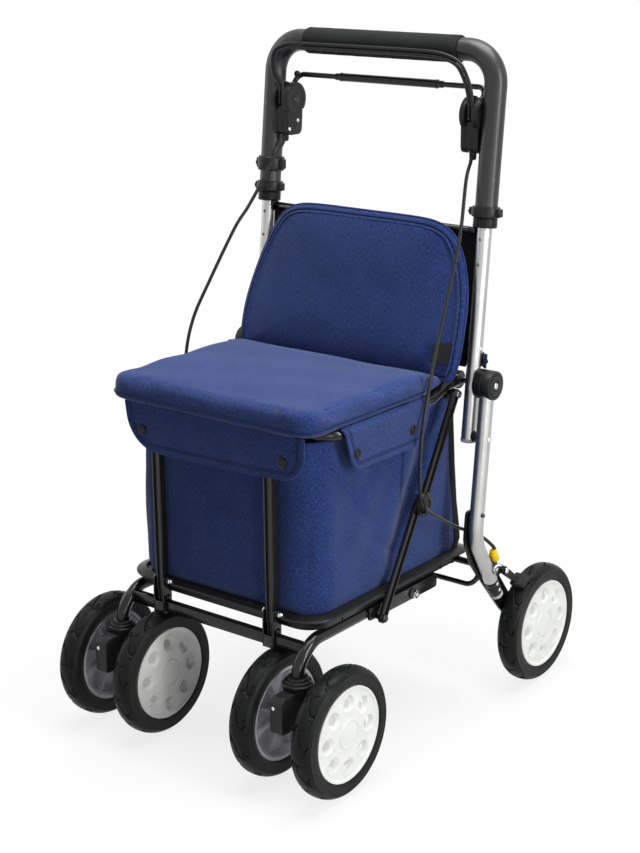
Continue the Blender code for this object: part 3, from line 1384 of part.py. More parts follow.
def make_shoe(label, side):
    """Brake shoe: an arm from its pivot to a curved pad just off the tyre."""
    toward = Vector((SHOE_PIVOT_Y + 0.034 - REAR_AXLE_Y, 0.157 - AXLE_HEIGHT)).normalized()
    inner_r = WHEEL_RADIUS + SHOE_GAP
    outer_r = inner_r + SHOE_THICKNESS
    middle = math.atan2(toward.y, toward.x)
    spread = 0.11
    outline = []
    for radius, angles in ((inner_r, (-1, 0, 1)), (outer_r, (1, 0, -1))):
        for a in angles:
            angle = middle + a * spread
            outline.append((REAR_AXLE_Y + radius * math.cos(angle), AXLE_HEIGHT + radius * math.sin(angle)))
    low, high = sorted((side * (REAR_WHEEL_X - SHOE_WIDTH / 2), side * (REAR_WHEEL_X + SHOE_WIDTH / 2)))
    shoe = outline_plate("brake_shoe_" + label, outline, low, high)
    end_y = REAR_AXLE_Y + (outer_r - 0.002) * math.cos(middle)
    end_z = AXLE_HEIGHT + (outer_r - 0.002) * math.sin(middle)
    arm_x = sorted((side * (LEG_X - 0.0015), side * (LEG_X + 0.0045)))
    arm = outline_plate("shoe_arm_" + label, [
        (SHOE_PIVOT_Y - 0.005, SHOE_PIVOT_Z + 0.002), (SHOE_PIVOT_Y + 0.002, SHOE_PIVOT_Z + 0.0055),
        (end_y + 0.004, end_z + 0.001), (end_y - 0.003, end_z - 0.004), (SHOE_PIVOT_Y - 0.002, SHOE_PIVOT_Z - 0.005),
    ], *arm_x)
    bore = cylinder(
        "shoe_bore_" + label, (side * 0.18, SHOE_PIVOT_Y, SHOE_PIVOT_Z), (side * 0.22, SHOE_PIVOT_Y, SHOE_PIVOT_Z),
        SHOE_PIN_RADIUS + CLEARANCE, 12,
    )
    join(shoe, arm)
    cut(shoe, bore)
    finish(shoe, PLASTIC_BLACK)


def main():
    """Build every sub-part."""
    make_rear_wheels()
    make_casters()
    make_base_frame()
    make_tray()
    make_bag()
    make_posts()
    make_braces()
    make_seat_frame()
    make_seat_cushion()
    make_backrest()
    make_flaps()
    make_rear_steel_frame()
    make_legs()
    make_uprights()
    make_handle()
    make_brake_housings()
    make_brake_bar()
    make_link_cables()
    make_brake_cables()
    make_wheel_brakes()


main()
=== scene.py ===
"""Looks of the shopping rollator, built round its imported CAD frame.

Metres, +Z up, X across, -Y to the front. Every piece rides on a body of the frame, so one script
serves all poses. Each sub-assembly is a class; Studio makes the floor, the lamps and the camera.
"""

import enum
import logging
import math
from dataclasses import dataclass
from typing import Callable, Iterable, Sequence

import bmesh
import bpy
import numpy as np
from mathutils import Matrix, Vector


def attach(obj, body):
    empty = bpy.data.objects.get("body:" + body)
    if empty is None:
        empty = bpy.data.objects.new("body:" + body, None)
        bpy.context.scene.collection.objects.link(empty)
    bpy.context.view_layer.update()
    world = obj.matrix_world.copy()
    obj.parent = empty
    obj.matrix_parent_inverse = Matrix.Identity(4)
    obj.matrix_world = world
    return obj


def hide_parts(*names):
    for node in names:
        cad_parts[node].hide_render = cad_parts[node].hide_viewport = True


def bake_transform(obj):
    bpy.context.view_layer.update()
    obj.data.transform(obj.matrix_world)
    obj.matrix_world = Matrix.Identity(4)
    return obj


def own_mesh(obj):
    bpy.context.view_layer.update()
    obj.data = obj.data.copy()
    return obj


logging.basicConfig(level=logging.INFO, format="%(message)s")
LOG = logging.getLogger("rollator")

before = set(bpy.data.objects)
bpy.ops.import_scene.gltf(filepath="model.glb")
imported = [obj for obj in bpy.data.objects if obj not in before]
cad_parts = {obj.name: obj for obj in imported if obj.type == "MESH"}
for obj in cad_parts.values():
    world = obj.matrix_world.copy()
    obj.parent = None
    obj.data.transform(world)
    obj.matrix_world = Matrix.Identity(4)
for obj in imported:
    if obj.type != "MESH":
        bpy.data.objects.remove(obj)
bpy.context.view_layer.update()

Pair = tuple[float, float]
Triple = tuple[float, float, float]
Outline = Sequence[Pair]
Points = Sequence[Sequence[float]]
Piece = bpy.types.Object
Socket = bpy.types.NodeSocket

# Pivots and axles in the side view, as (y, z).
REAR_AXLE: Pair = (0.216, 0.08179)
FOLD_BAR: Pair = (0.0915, 0.1992)
SEAT_PIVOT: Pair = (0.088, 0.446)
POST_FOOT: Pair = (-0.217, 0.1867)
POST_HEAD: Pair = (-0.2205, 0.4335)
BRACE_HEAD: Pair = (0.058, 0.436)
BRACE_ELBOW: Pair = (-0.013, 0.309)
BRACE_FOOT: Pair = (-0.088, 0.1775)
# Distances from the middle plane, and shared sizes.
STEM_X, POST_X, UPRIGHT_X, LEG_X = 0.143, 0.089, 0.173, 0.1975
SWIVEL_Y = -0.2364
SEAT_TUBE_Z = 0.434
LEG_RADIUS = 0.0095
SHEATH_RADIUS = 0.0023
LEAN = 0.095
ALONG_UPRIGHT: Triple = tuple(Vector((0, LEAN, 1)).normalized())
# How far a fastener's head stands in its surface, and how soft an edge has to be to look round.
SINK = 0.0004
SMOOTH, CLOTH_SMOOTH = 38.0, 60.0
NOSE_TIP = 0.35
NOSE_ANGLES = [math.radians(a) for a in (30, 60, 90)]


def mm(*numbers: float, at: Pair = (0.0, 0.0)) -> tuple[Pair, ...]:
    """Pairs in metres from numbers in millimetres, two for each pair.

    Args:
        numbers: Numbers in millimetres.
        at: Point in metres that they are measured from.

    Returns:
        The pairs.
    """
    metres = [round(number / 1000, 6) for number in numbers]
    return tuple((at[0] + a, at[1] + b) for a, b in zip(metres[::2], metres[1::2]))


def upright_y(z: float) -> float:
    """Y of the uprights' centre line at a height."""
    return SEAT_PIVOT[0] + LEAN * (z - SEAT_PIVOT[1])


class Side(enum.Enum):
    """Left and right of someone who walks behind the rollator facing -Y."""

    LEFT = -1
    RIGHT = 1

    @property
    def label(self) -> str:
        """Word used in the node names."""
        return self.name.lower()

    def x(self, value: float) -> float:
        """Mirror a distance from the middle to this side."""
        return self.value * value


class Slot(enum.Enum):
    """Material slots of the record."""

    STEEL = "steel"
    ALUMINIUM = "aluminium"
    HANDLE = "handle"
    PLASTIC = "plastic"
    FOAM = "foam"
    TYRE = "tyre"
    HUB = "hub"
    BOLT = "bolt"
    NAVY = "navy_cloth"
    BLACK_CLOTH = "black_cloth"
    CABLE = "cable"


# ---------------------------------------------------------------- finishes


class Bench:
    """Builds the node tree of one material."""

    def __init__(self, name: str) -> None:
        """Start a material with its shader.

        Args:
            name: Name of the material.
        """
        self.made = bpy.data.materials.new(name)
        self.made.use_nodes = True
        self.tree = self.made.node_tree
        self.shader = self.tree.nodes["Principled BSDF"]
        self.place = self.node("ShaderNodeTexCoord").outputs["Object"]

    def node(self, kind: str, **settings: object) -> bpy.types.Node:
        """Add a node.

        Args:
            kind: Blender's type of the node.
            settings: Its attributes.

        Returns:
            The new node.
        """
        made = self.tree.nodes.new(kind)
        for name, value in settings.items():
            setattr(made, name, value)
        return made

    def feed(self, socket: Socket, value: object) -> None:
        """Link a socket into another, or set a plain value on it.

        Args:
            socket: Input.
            value: Socket or plain value, or None to leave it.
        """
        if isinstance(value, Socket):
            self.tree.links.new(value, socket)
        elif value is not None:
            socket.default_value = value

    def maths(self, operation: str, *values: object) -> Socket:
        """Result of an operation, by Blender's name, on numbers or sockets.

        Args:
            operation: Blender's name of the operation.
            values: Numbers or sockets.

        Returns:
            The result's socket.
        """
        made = self.node("ShaderNodeMath", operation=operation)
        self.fill(made.inputs, values)
        return made.outputs[0]

    def fill(self, sockets: Iterable[Socket], values: Iterable[object]) -> None:
        """Feed sockets in their order."""
        for socket, value in zip(sockets, values):
            self.feed(socket, value)

    def times(self, first: object, second: object) -> Socket:
        """Product of two numbers."""
        return self.maths("MULTIPLY", first, second)

    def plus(self, first: object, second: object) -> Socket:
        """Sum of two numbers."""
        return self.maths("ADD", first, second)

    def axes(self, source: object = None) -> list[Socket]:
        """X, Y and Z of a vector socket, or of the piece's own coordinates.

        Args:
            source: Vector socket, the piece's own coordinates if left out.

        Returns:
            Sockets of X, Y and Z.
        """
        made = self.node("ShaderNodeSeparateXYZ")
        self.feed(made.inputs[0], source or self.place)
        return list(made.outputs)

    def vector(self, x: object, y: object, z: object = 0.0) -> Socket:
        """Vector of three numbers or sockets.

        Args:
            x: First number.
            y: Second number.
            z: Third number.

        Returns:
            The vector's socket.
        """
        made = self.node("ShaderNodeCombineXYZ")
        self.fill(made.inputs, (x, y, z))
        return made.outputs[0]

    def noise(self, scale: float, detail: float = 2.0, stretch: Triple = (1, 1, 1), source: object = None,
              roughness: float = 0.5) -> Socket:
        """Fractal noise in metres.

        Args:
            scale: Lumps in a metre.
            detail: Octaves.
            stretch: Factor on each axis, smaller for longer lumps.
            source: Coordinates, the piece's own if left out.
            roughness: Strength of the finer octaves.

        Returns:
            Noise around 0.5.
        """
        mapping = self.node("ShaderNodeMapping")
        self.feed(mapping.inputs["Vector"], source or self.place)
        mapping.inputs["Scale"].default_value = stretch
        made = self.node("ShaderNodeTexNoise")
        self.feed(made.inputs["Vector"], mapping.outputs[0])
        made.inputs["Scale"].default_value = scale
        made.inputs["Detail"].default_value = detail
        made.inputs["Roughness"].default_value = roughness
        return made.outputs["Fac"]

    def spread(self, value: object, low: float, high: float, to_low: float = 0.0, to_high: float = 1.0) -> Socket:
        """Map a number from one range to another, clamped.

        Args:
            value: Number or socket.
            low: Start of its range.
            high: End of its range.
            to_low: What the start becomes.
            to_high: What the end becomes.

        Returns:
            The result's socket.
        """
        made = self.node("ShaderNodeMapRange")
        self.fill(made.inputs[:5], (value, low, high, to_low, to_high))
        return made.outputs["Result"]

    def blend(self, share: object, first: object, second: object) -> Socket:
        """Mix two colours.

        Args:
            share: Share of the second one.
            first: Colour or socket.
            second: Colour or socket.

        Returns:
            The mixed colour's socket.
        """
        made = self.node("ShaderNodeMix", data_type="RGBA")
        self.feed(made.inputs["Factor"], share)
        colours = [(*value, 1.0) if isinstance(value, tuple) else value for value in (first, second)]
        self.fill([s for s in made.inputs if s.type == "RGBA"], colours)
        return next(s for s in made.outputs if s.type == "RGBA")

    def choose(self, test: object, when_not: object, when: object) -> Socket:
        """Pick one of two numbers by a test of 0 or 1.

        Args:
            test: 0 or 1.
            when_not: Number for 0.
            when: Number for 1.

        Returns:
            The chosen number's socket.
        """
        made = self.node("ShaderNodeMix", data_type="FLOAT")
        self.fill([s for s in made.inputs if s.type == "VALUE"], (test, when_not, when))
        return next(s for s in made.outputs if s.type == "VALUE")

    def relief(self, height: object, depth: float, strength: float = 1.0) -> None:
        """Bump the surface by a height.

        Args:
            height: Height socket from 0 to 1.
            depth: What 1 stands for, in metres.
            strength: Share of the effect.
        """
        made = self.node("ShaderNodeBump")
        made.inputs["Strength"].default_value = strength
        made.inputs["Distance"].default_value = depth
        self.feed(made.inputs["Height"], height)
        self.feed(self.shader.inputs["Normal"], made.outputs[0])

    def set(self, **values: object) -> None:
        """Set or link inputs of the shader, named with _ for a space."""
        for name, value in values.items():
            socket = self.shader.inputs[name.replace("_", " ")]
            plain = isinstance(value, tuple) and len(value) == 3
            self.feed(socket, (*value, 1.0) if plain and socket.type == "RGBA" else value)


@dataclass(frozen=True)
class Finish:
    """A finish: its name, the record's slot and how its material is made."""

    name: str
    slot: Slot

    def paint(self, bench: Bench) -> None:
        """Fill the material's nodes."""
        raise NotImplementedError

    def material(self) -> bpy.types.Material:
        """The finish's one material, made at its first use.

        Returns:
            The material.
        """
        found = bpy.data.materials.get(self.name)
        if found is None:
            bench = Bench(self.name)
            self.paint(bench)
            found = bench.made
        return found


@dataclass(frozen=True)
class Cloth(Finish):
    """Plain-woven melange cloth: dark and pale threads, some thicker than others."""

    dark: Triple = (0.0032, 0.009, 0.054)
    pale: Triple = (0.05, 0.102, 0.345)
    pitch: float = 0.0009
    sheen: float = 0.22
    relief_depth: float = 0.00014

    def paint(self, bench: Bench) -> None:
        """Lay threads on whichever plane a spot faces, so that the weave needs no UV map.

        Args:
            bench: Bench of the material.
        """
        x, y, z = bench.axes()
        normal = bench.node("ShaderNodeTexCoord").outputs["Normal"]
        facing = [bench.maths("ABSOLUTE", s) for s in bench.axes(normal)]
        side = bench.maths("GREATER_THAN", facing[0], bench.maths("MAXIMUM", facing[1], facing[2]))
        top = bench.maths("GREATER_THAN", facing[2], bench.maths("MAXIMUM", facing[0], facing[1]))
        across = bench.choose(side, x, y)
        up = bench.choose(top, z, y)
        turns = math.pi / self.pitch
        warp = bench.maths("SINE", bench.times(across, turns))
        weft = bench.maths("SINE", bench.times(up, turns))
        over = bench.maths("GREATER_THAN", bench.times(warp, weft), 0.0)
        heights = [bench.maths("ABSOLUTE", s) for s in (warp, weft)]
        height = bench.plus(bench.times(heights[0], 0.5), bench.times(heights[1], 0.5))
        place = bench.vector(across, up)
        along_warp = bench.noise(1.0, 2.0, (1250.0, 250.0, 1.0), place)
        along_weft = bench.noise(1.0, 2.0, (250.0, 1250.0, 1.0), place)
        tone = bench.choose(over, along_weft, along_warp)
        cloud = bench.noise(38.0, 3.0)
        tone = bench.plus(tone, bench.times(bench.maths("SUBTRACT", cloud, 0.5), 0.1))
        share = bench.spread(tone, 0.34, 0.74)
        colour = bench.blend(share, self.dark, self.pale)
        # Colour darkened in the low gaps between threads: painted shade.
        thread_gap_shade = bench.spread(height, 0.15, 0.75, 0.72, 1.0)
        shaded = bench.node("ShaderNodeVectorMath", operation="SCALE")
        bench.feed(shaded.inputs[0], colour)
        bench.feed(shaded.inputs["Scale"], thread_gap_shade)
        bench.set(Base_Color=shaded.outputs[0], Roughness=bench.spread(tone, 0.3, 0.7, 0.98, 0.86),
                  Sheen_Weight=self.sheen, Sheen_Roughness=0.5, Specular_IOR_Level=0.03)
        bench.relief(bench.plus(height, bench.times(tone, 0.5)), self.relief_depth, 0.8)


@dataclass(frozen=True)
class Painted(Finish):
    """Smooth or grained paint, plastic or rubber."""

    colour: Triple
    worn: Triple
    roughness: Pair = (0.3, 0.45)
    grain: float = 900.0
    grain_depth: float = 0.00004
    specular: float = 0.24
    coat: float = 0.0
    metallic: float = 0.0

    def paint(self, bench: Bench) -> None:
        """Vary the colour and gloss in soft clouds, over a fine grain.

        Args:
            bench: Bench of the material.
        """
        cloud = bench.noise(55.0, 4.0)
        fine = bench.noise(self.grain, 2.0)
        bench.set(Base_Color=bench.blend(bench.spread(cloud, 0.35, 0.75), self.colour, self.worn),
                  Roughness=bench.spread(bench.noise(130.0, 3.0), 0.3, 0.7, *self.roughness),
                  Specular_IOR_Level=self.specular, Metallic=self.metallic, Coat_Weight=self.coat,
                  Coat_Roughness=0.12)
        bench.relief(fine, self.grain_depth)


@dataclass(frozen=True)
class Brushed(Finish):
    """Anodised or plated metal with fine lines along one axis."""

    colour: Triple
    shade: Triple
    roughness: Pair
    stretch: Triple = (1.0, 1.0, 0.03)
    lines: float = 2600.0
    depth: float = 0.00001

    def paint(self, bench: Bench) -> None:
        """Draw the lines and a slow change of tone.

        Args:
            bench: Bench of the material.
        """
        lines = bench.noise(self.lines, 2.0, self.stretch)
        cloud = bench.noise(24.0, 3.0)
        bench.set(Base_Color=bench.blend(bench.spread(cloud, 0.3, 0.7), self.colour, self.shade), Metallic=1.0,
                  Roughness=bench.spread(bench.plus(lines, bench.times(cloud, 0.4)), 0.4, 1.0, *self.roughness))
        bench.relief(lines, self.depth)


@dataclass(frozen=True)
class Foam(Finish):
    """Closed-cell foam sleeve with fine pores."""

    colour: Triple = (0.016, 0.017, 0.017)
    worn: Triple = (0.03, 0.031, 0.031)

    def paint(self, bench: Bench) -> None:
        """Scatter pores, darkened as painted shade in the pits, and lighten the skin between them.

        Args:
            bench: Bench of the material.
        """
        cells = bench.node("ShaderNodeTexVoronoi", feature="DISTANCE_TO_EDGE")
        bench.feed(cells.inputs["Vector"], bench.place)
        cells.inputs["Scale"].default_value = 1300.0
        skin = bench.spread(cells.outputs["Distance"], 0.02, 0.16)
        cloud = bench.noise(60.0, 3.0)
        # Darker colour in the pores: painted shade in the pits.
        bench.set(Base_Color=bench.blend(bench.times(skin, cloud), self.colour, self.worn),
                  Roughness=bench.spread(cloud, 0.3, 0.7, 0.88, 0.78), Specular_IOR_Level=0.12)
        bench.relief(skin, 0.00012, 0.7)


@dataclass(frozen=True)
class Moulded(Finish):
    """Pale translucent plastic of the hubs."""

    colour: Triple = (0.85, 0.86, 0.835)
    deep: Triple = (0.75, 0.765, 0.74)
    see_in: float = 0.05
    roughness: Pair = (0.28, 0.42)

    def paint(self, bench: Bench) -> None:
        """Cloud the plastic and let light in a little.

        Args:
            bench: Bench of the material.
        """
        cloud = bench.noise(45.0, 3.0)
        bench.set(Base_Color=bench.blend(bench.spread(cloud, 0.3, 0.75), self.colour, self.deep),
                  Roughness=bench.spread(bench.noise(300.0, 2.0), 0.3, 0.7, *self.roughness),
                  Subsurface_Weight=self.see_in, Subsurface_Radius=(0.006, 0.006, 0.006), Subsurface_Scale=0.6,
                  Specular_IOR_Level=0.45)
        bench.relief(bench.noise(700.0, 2.0), 0.00002)


NAVY = Cloth("navy_melange_cloth", Slot.NAVY)
NAVY_TRIM = Cloth("navy_binding", Slot.NAVY, dark=(0.0045, 0.011, 0.065), pale=(0.045, 0.09, 0.32), pitch=0.0007)
BLACK_CLOTH = Cloth(
    "black_backing_cloth", Slot.BLACK_CLOTH, (0.003, 0.003, 0.004), (0.014, 0.014, 0.017), 0.0008, 0.12
)
THREAD = Painted("sewing_thread", Slot.NAVY, (0.0015, 0.004, 0.026), (0.003, 0.007, 0.04), (0.7, 0.9), 1800.0)
STEEL = Painted("black_powder_coat", Slot.STEEL, (0.005, 0.005, 0.0053), (0.0075, 0.0075, 0.008), (0.18, 0.24),
                900.0, 0.000008, 0.24, 0.22)
HANDLE_PAINT = Painted(
    "satin_handle_paint", Slot.HANDLE, (0.0085, 0.0098, 0.0088), (0.0125, 0.014, 0.0128), (0.35, 0.38), 2400.0,
    0.000004, 0.5
)
PLASTIC = Painted(
    "black_moulded_plastic", Slot.PLASTIC, (0.0068, 0.0072, 0.007), (0.0105, 0.011, 0.0105), (0.3, 0.44), 1400.0
)
PLASTIC_MATT = Painted(
    "charcoal_grained_plastic", Slot.PLASTIC, (0.012, 0.013, 0.0125), (0.018, 0.0195, 0.0185), (0.38, 0.5), 1500.0,
    0.00008
)
PLASTIC_TRAY = Painted(
    "tray_plastic", Slot.PLASTIC, (0.01, 0.0103, 0.0098), (0.015, 0.0154, 0.0146), (0.26, 0.38), 1300.0, 0.00005
)
RUBBER = Painted(
    "tyre_rubber", Slot.TYRE, (0.0075, 0.0083, 0.008), (0.0115, 0.0126, 0.0122), (0.36, 0.46), 1600.0, 0.00003, 0.11
)
RUBBER_PAD = Painted(
    "brake_pad_rubber", Slot.PLASTIC, (0.018, 0.018, 0.018), (0.03, 0.03, 0.03), (0.7, 0.85), 1500.0
)
SHEATH = Painted(
    "cable_sheath", Slot.CABLE, (0.011, 0.0115, 0.011), (0.017, 0.0175, 0.017), (0.26, 0.36), 1800.0, 0.00002
)
YELLOW = Painted(
    "yellow_end_cap", Slot.CABLE, (0.86, 0.52, 0.004), (0.92, 0.62, 0.012), (0.3, 0.42), 900.0, 0.00002
)
FOAM = Foam("grip_foam", Slot.FOAM)
HUB = Moulded("pale_hub_plastic", Slot.HUB)
# Greyer, bluer copy of the hub plastic for the wheel's inner side: painted shade.
HUB_BACK_SHADE = Moulded("hub_back_painted_shade", Slot.HUB, (0.74, 0.74, 0.77), (0.58, 0.58, 0.62), 0.05, (0.14, 0.28))
# Greyer copy of the hub plastic for the dimple floors: painted shade in the hollows.
HUB_DIMPLE_SHADE = Moulded("hub_dimple_plastic", Slot.HUB, (0.66, 0.665, 0.65), (0.56, 0.565, 0.555), 0.05, (0.1, 0.2))
ALUMINIUM = Brushed("satin_aluminium", Slot.ALUMINIUM, (0.5, 0.5, 0.49), (0.43, 0.43, 0.425), (0.3, 0.42))
BRIGHT = Brushed("plated_steel", Slot.BOLT, (0.72, 0.72, 0.71), (0.6, 0.6, 0.6), (0.1, 0.24), (1, 1, 1), 900.0)
DARK_METAL = Brushed(
    "blackened_steel", Slot.BOLT, (0.055, 0.055, 0.056), (0.035, 0.035, 0.036), (0.25, 0.42), (1, 1, 1), 900.0
)
PALE_PLUG = Painted("pale_end_plug", Slot.PLASTIC, (0.52, 0.53, 0.52), (0.44, 0.45, 0.44), (0.35, 0.5), 1200.0)
BLACK_TAG = Painted(
    "bare_woven_tag", Slot.BLACK_CLOTH, (0.008, 0.008, 0.009), (0.014, 0.014, 0.015), (0.6, 0.8), 2200.0, 0.0001
)
STEEL_SATIN = Painted(
    "satin_powder_coat", Slot.STEEL, (0.0105, 0.0108, 0.0104), (0.015, 0.0154, 0.0146), (0.24, 0.34), 900.0,
    0.00005, 0.36
)


# ---------------------------------------------------------------- forms


def show(name: str, verts: Iterable[Sequence[float]], faces: Iterable[Sequence[int]],
         sharp: float = SMOOTH) -> Piece:
    """Turn points and faces into a smooth-shaded object of the scene.

    Args:
        name: Name of the piece.
        verts: Points in the row frame.
        faces: Faces as indices of the points.
        sharp: Angle in degrees above which an edge stays sharp.

    Returns:
        The new object.
    """
    mesh = bpy.data.meshes.new(name)
    mesh.from_pydata([tuple(v) for v in verts], [], [tuple(f) for f in faces])
    return show_mesh(name, mesh, sharp)


def show_mesh(name: str, mesh: bpy.types.Mesh, sharp: float = SMOOTH) -> Piece:
    """Put a mesh in the scene with its faces outward and its edges smooth or sharp.

    Args:
        name: Name of the piece.
        mesh: The mesh.
        sharp: Angle in degrees above which an edge stays sharp.

    Returns:
        The new object.
    """
    bm = bmesh.new()
    bm.from_mesh(mesh)
    bmesh.ops.remove_doubles(bm, verts=bm.verts, dist=1e-6)
    bmesh.ops.recalc_face_normals(bm, faces=bm.faces)
    bm.to_mesh(mesh)
    bm.free()
    mesh.shade_smooth()
    mesh.set_sharp_from_angle(angle=math.radians(sharp))
    made = bpy.data.objects.new(name, mesh)
    bpy.context.scene.collection.objects.link(made)
    return made


def settle(piece: Piece, finish: Finish, body: str, *nodes: str) -> Piece:
    """Give a finished shape its material, its body and the CAD nodes it stands for.

    Args:
        piece: The object, in place.
        finish: Its finish.
        body: The CAD body that it rides on, empty for a piece left unattached.
        nodes: CAD nodes that it replaces.

    Returns:
        The same object.
    """
    piece.data.materials.clear()
    piece.data.materials.append(finish.material())
    if body:
        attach(piece, body)
    if nodes:
        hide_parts(*nodes)
    LOG.info("%s rides on %s", piece.name, body or "two bodies")
    return piece


def frames_along(route: Sequence[Vector], up: Vector) -> list[tuple[Vector, Vector]]:
    """Steady pairs of cross directions along a route.

    Args:
        route: Points of the route.
        up: Direction that the first pair's second vector leans to.

    Returns:
        For each point, two unit vectors across the route.
    """
    pairs = []
    first = (route[1] - route[0]).normalized()
    last = up.copy() if abs(up.normalized().dot(first)) < 0.98 else Vector((0, 1, 0.1))
    for i in range(len(route)):
        ahead = (route[min(i + 1, len(route) - 1)] - route[max(i - 1, 0)]).normalized()
        last = last - ahead * last.dot(ahead)
        last.normalize()
        pairs.append((last.cross(ahead).normalized(), last.copy()))
    return pairs


def compass(count: int) -> list[Pair]:
    """Cosines and sines of evenly spaced angles round a circle."""
    return [(math.cos(2 * math.pi * i / count), math.sin(2 * math.pi * i / count)) for i in range(count)]


def lattice(rings: int, count: int, closed: bool = False, around: bool = True,
            turned: bool = False) -> list[tuple[int, ...]]:
    """Faces between neighbouring rings of points.

    Args:
        rings: Number of rings.
        count: Points in each ring.
        closed: True where the last ring joins the first.
        around: True where each ring closes on itself.
        turned: True to wind the faces the other way.

    Returns:
        Indices of each face's points.
    """
    faces = []
    for i in range(rings if closed else rings - 1):
        here, there = i * count, (i + 1) % rings * count
        for k in range(count if around else count - 1):
            m = (k + 1) % count
            if turned:
                faces.append((here + k, there + k, there + m, here + m))
            else:
                faces.append((here + k, here + m, there + m, there + k))
    return faces


def end_caps(rings: int, count: int) -> list[tuple[int, ...]]:
    """Faces that close the first and the last of several rings."""
    return [tuple(range(count)), tuple(range((rings - 1) * count, rings * count))]


def sweep(name: str, route: Points, profile: Outline, up: Triple = (0, 0, 1), loop: bool = False, nose: float = 0.0,
          sharp: float = SMOOTH) -> Piece:
    """Carry a closed cross-section along a route.

    Args:
        name: Name of the piece.
        route: Points of the middle line.
        profile: Cross-section as (across, up) pairs.
        up: Direction of the profile's second axis at the start.
        loop: True where the route closes on itself.
        nose: Length of rounding at both ends.
        sharp: Angle in degrees above which an edge stays sharp.

    Returns:
        The new object.
    """
    points = [Vector(p) for p in route]
    scales = [1.0] * len(points)
    for _ in range(2 if nose and not loop else 0):
        way = (points[1] - points[0]).normalized()
        tips = [points[0] + way * nose * (1 - math.cos(a)) for a in NOSE_ANGLES]
        sizes = [NOSE_TIP + (1 - NOSE_TIP) * math.sin(a) for a in NOSE_ANGLES]
        points = [points[0], *tips, *points[1:]][::-1]
        scales = [NOSE_TIP, *sizes, *scales[1:]][::-1]
    ring = [points[-1], *points, points[0]] if loop else points
    pairs = frames_along(ring, Vector(up))
    verts = []
    for point, size, (across, over) in zip(points, scales, pairs[1:-1] if loop else pairs):
        verts += [point + across * a * size + over * b * size for a, b in profile]
    faces = lattice(len(points), len(profile), loop)
    if not loop:
        faces += end_caps(len(points), len(profile))
    return show(name, verts, faces, sharp)


def oval(wide: float, thick: float, sides: int = 12) -> list[Pair]:
    """Oval cross-section by its two half-widths."""
    return [(wide * cos, thick * sin) for cos, sin in compass(sides)]


def disc(radius: float, sides: int = 24) -> list[Pair]:
    """Round cross-section."""
    return oval(radius, radius, sides)


def tube(name: str, route: Points, radius: float, sides: int = 24, nose: float = 0.0) -> Piece:
    """Round bar along a route."""
    return sweep(name, route, disc(radius, sides), nose=nose)


def bent(corners: Points, radius: float, steps: int = 10) -> list[Vector]:
    """Route through corners, with an arc of the radius at each inner one.

    Args:
        corners: Points that the straight runs aim at.
        radius: Bend radius.
        steps: Points in each bend.

    Returns:
        Points of the route.
    """
    places = [Vector(c) for c in corners]
    route = [places[0]]
    for before, corner, after in zip(places, places[1:], places[2:]):
        into, out = (before - corner).normalized(), (after - corner).normalized()
        half = into.angle(out) / 2
        reach = radius / math.tan(half)
        centre = corner + (into + out).normalized() * (radius / math.sin(half))
        first, last = corner + into * reach - centre, corner + out * reach - centre
        whole = first.angle(last)
        for i in range(steps + 1):
            part = i / steps
            ahead = math.sin(part * whole) / math.sin(whole)
            behind = math.sin((1 - part) * whole) / math.sin(whole)
            route.append(centre + first * behind + last * ahead)
    route.append(places[-1])
    return route


def flowing(points: Points, steps: int = 6) -> list[Vector]:
    """Smooth curve through a cable's points.

    Args:
        points: Points that the curve passes.
        steps: Points for each stretch.

    Returns:
        Points of the curve.
    """
    places = [Vector(p) for p in points]
    ends = [places[0] * 2 - places[1], *places, places[-1] * 2 - places[-2]]
    route = []
    for a, b, c, d in zip(ends, ends[1:], ends[2:], ends[3:]):
        for i in range(steps):
            t = i / steps
            ahead = (c - a) * t + (a * 2 - b * 5 + c * 4 - d) * t * t
            route.append((b * 2 + ahead + (b * 3 - a - c * 3 + d) * t * t * t) / 2)
    route.append(places[-1])
    return route


def facing(centre: Sequence[float], axis: Sequence[float], spin: float = 0.0) -> Matrix:
    """Place whose local +Z looks along an axis."""
    turn = Vector(axis).to_track_quat("Z", "Y").to_matrix().to_4x4()
    return Matrix.Translation(Vector(centre)) @ turn @ Matrix.Rotation(spin, 4, "Z")


def lathe(name: str, profile: Outline, place: Matrix, steps: int = 48, sharp: float = SMOOTH) -> Piece:
    """Turned shape of (radius, height) pairs about a place's local Z.

    Args:
        name: Name of the piece.
        profile: Outline from the axis or closed on itself.
        place: Where it stands.
        steps: Faces round it.
        sharp: Angle in degrees above which an edge stays sharp.

    Returns:
        The new object.
    """
    closed = max(profile[0][0], profile[-1][0]) > 1e-6
    verts = [place @ Vector((r * cos, r * sin, h)) for cos, sin in compass(steps) for r, h in profile]
    return without_slivers(show(name, verts, lattice(steps, len(profile), True, closed, True), sharp), sharp)


def without_slivers(piece: Piece, sharp: float) -> Piece:
    """Drop faces that a lathe's axis has flattened to a line.

    Args:
        piece: The piece.
        sharp: Angle in degrees above which an edge stays sharp.

    Returns:
        The same object.
    """
    bm = bmesh.new()
    bm.from_mesh(piece.data)
    bmesh.ops.dissolve_degenerate(bm, dist=1e-6, edges=bm.edges)
    bmesh.ops.recalc_face_normals(bm, faces=bm.faces)
    bm.to_mesh(piece.data)
    bm.free()
    piece.data.set_sharp_from_angle(angle=math.radians(sharp))
    return piece


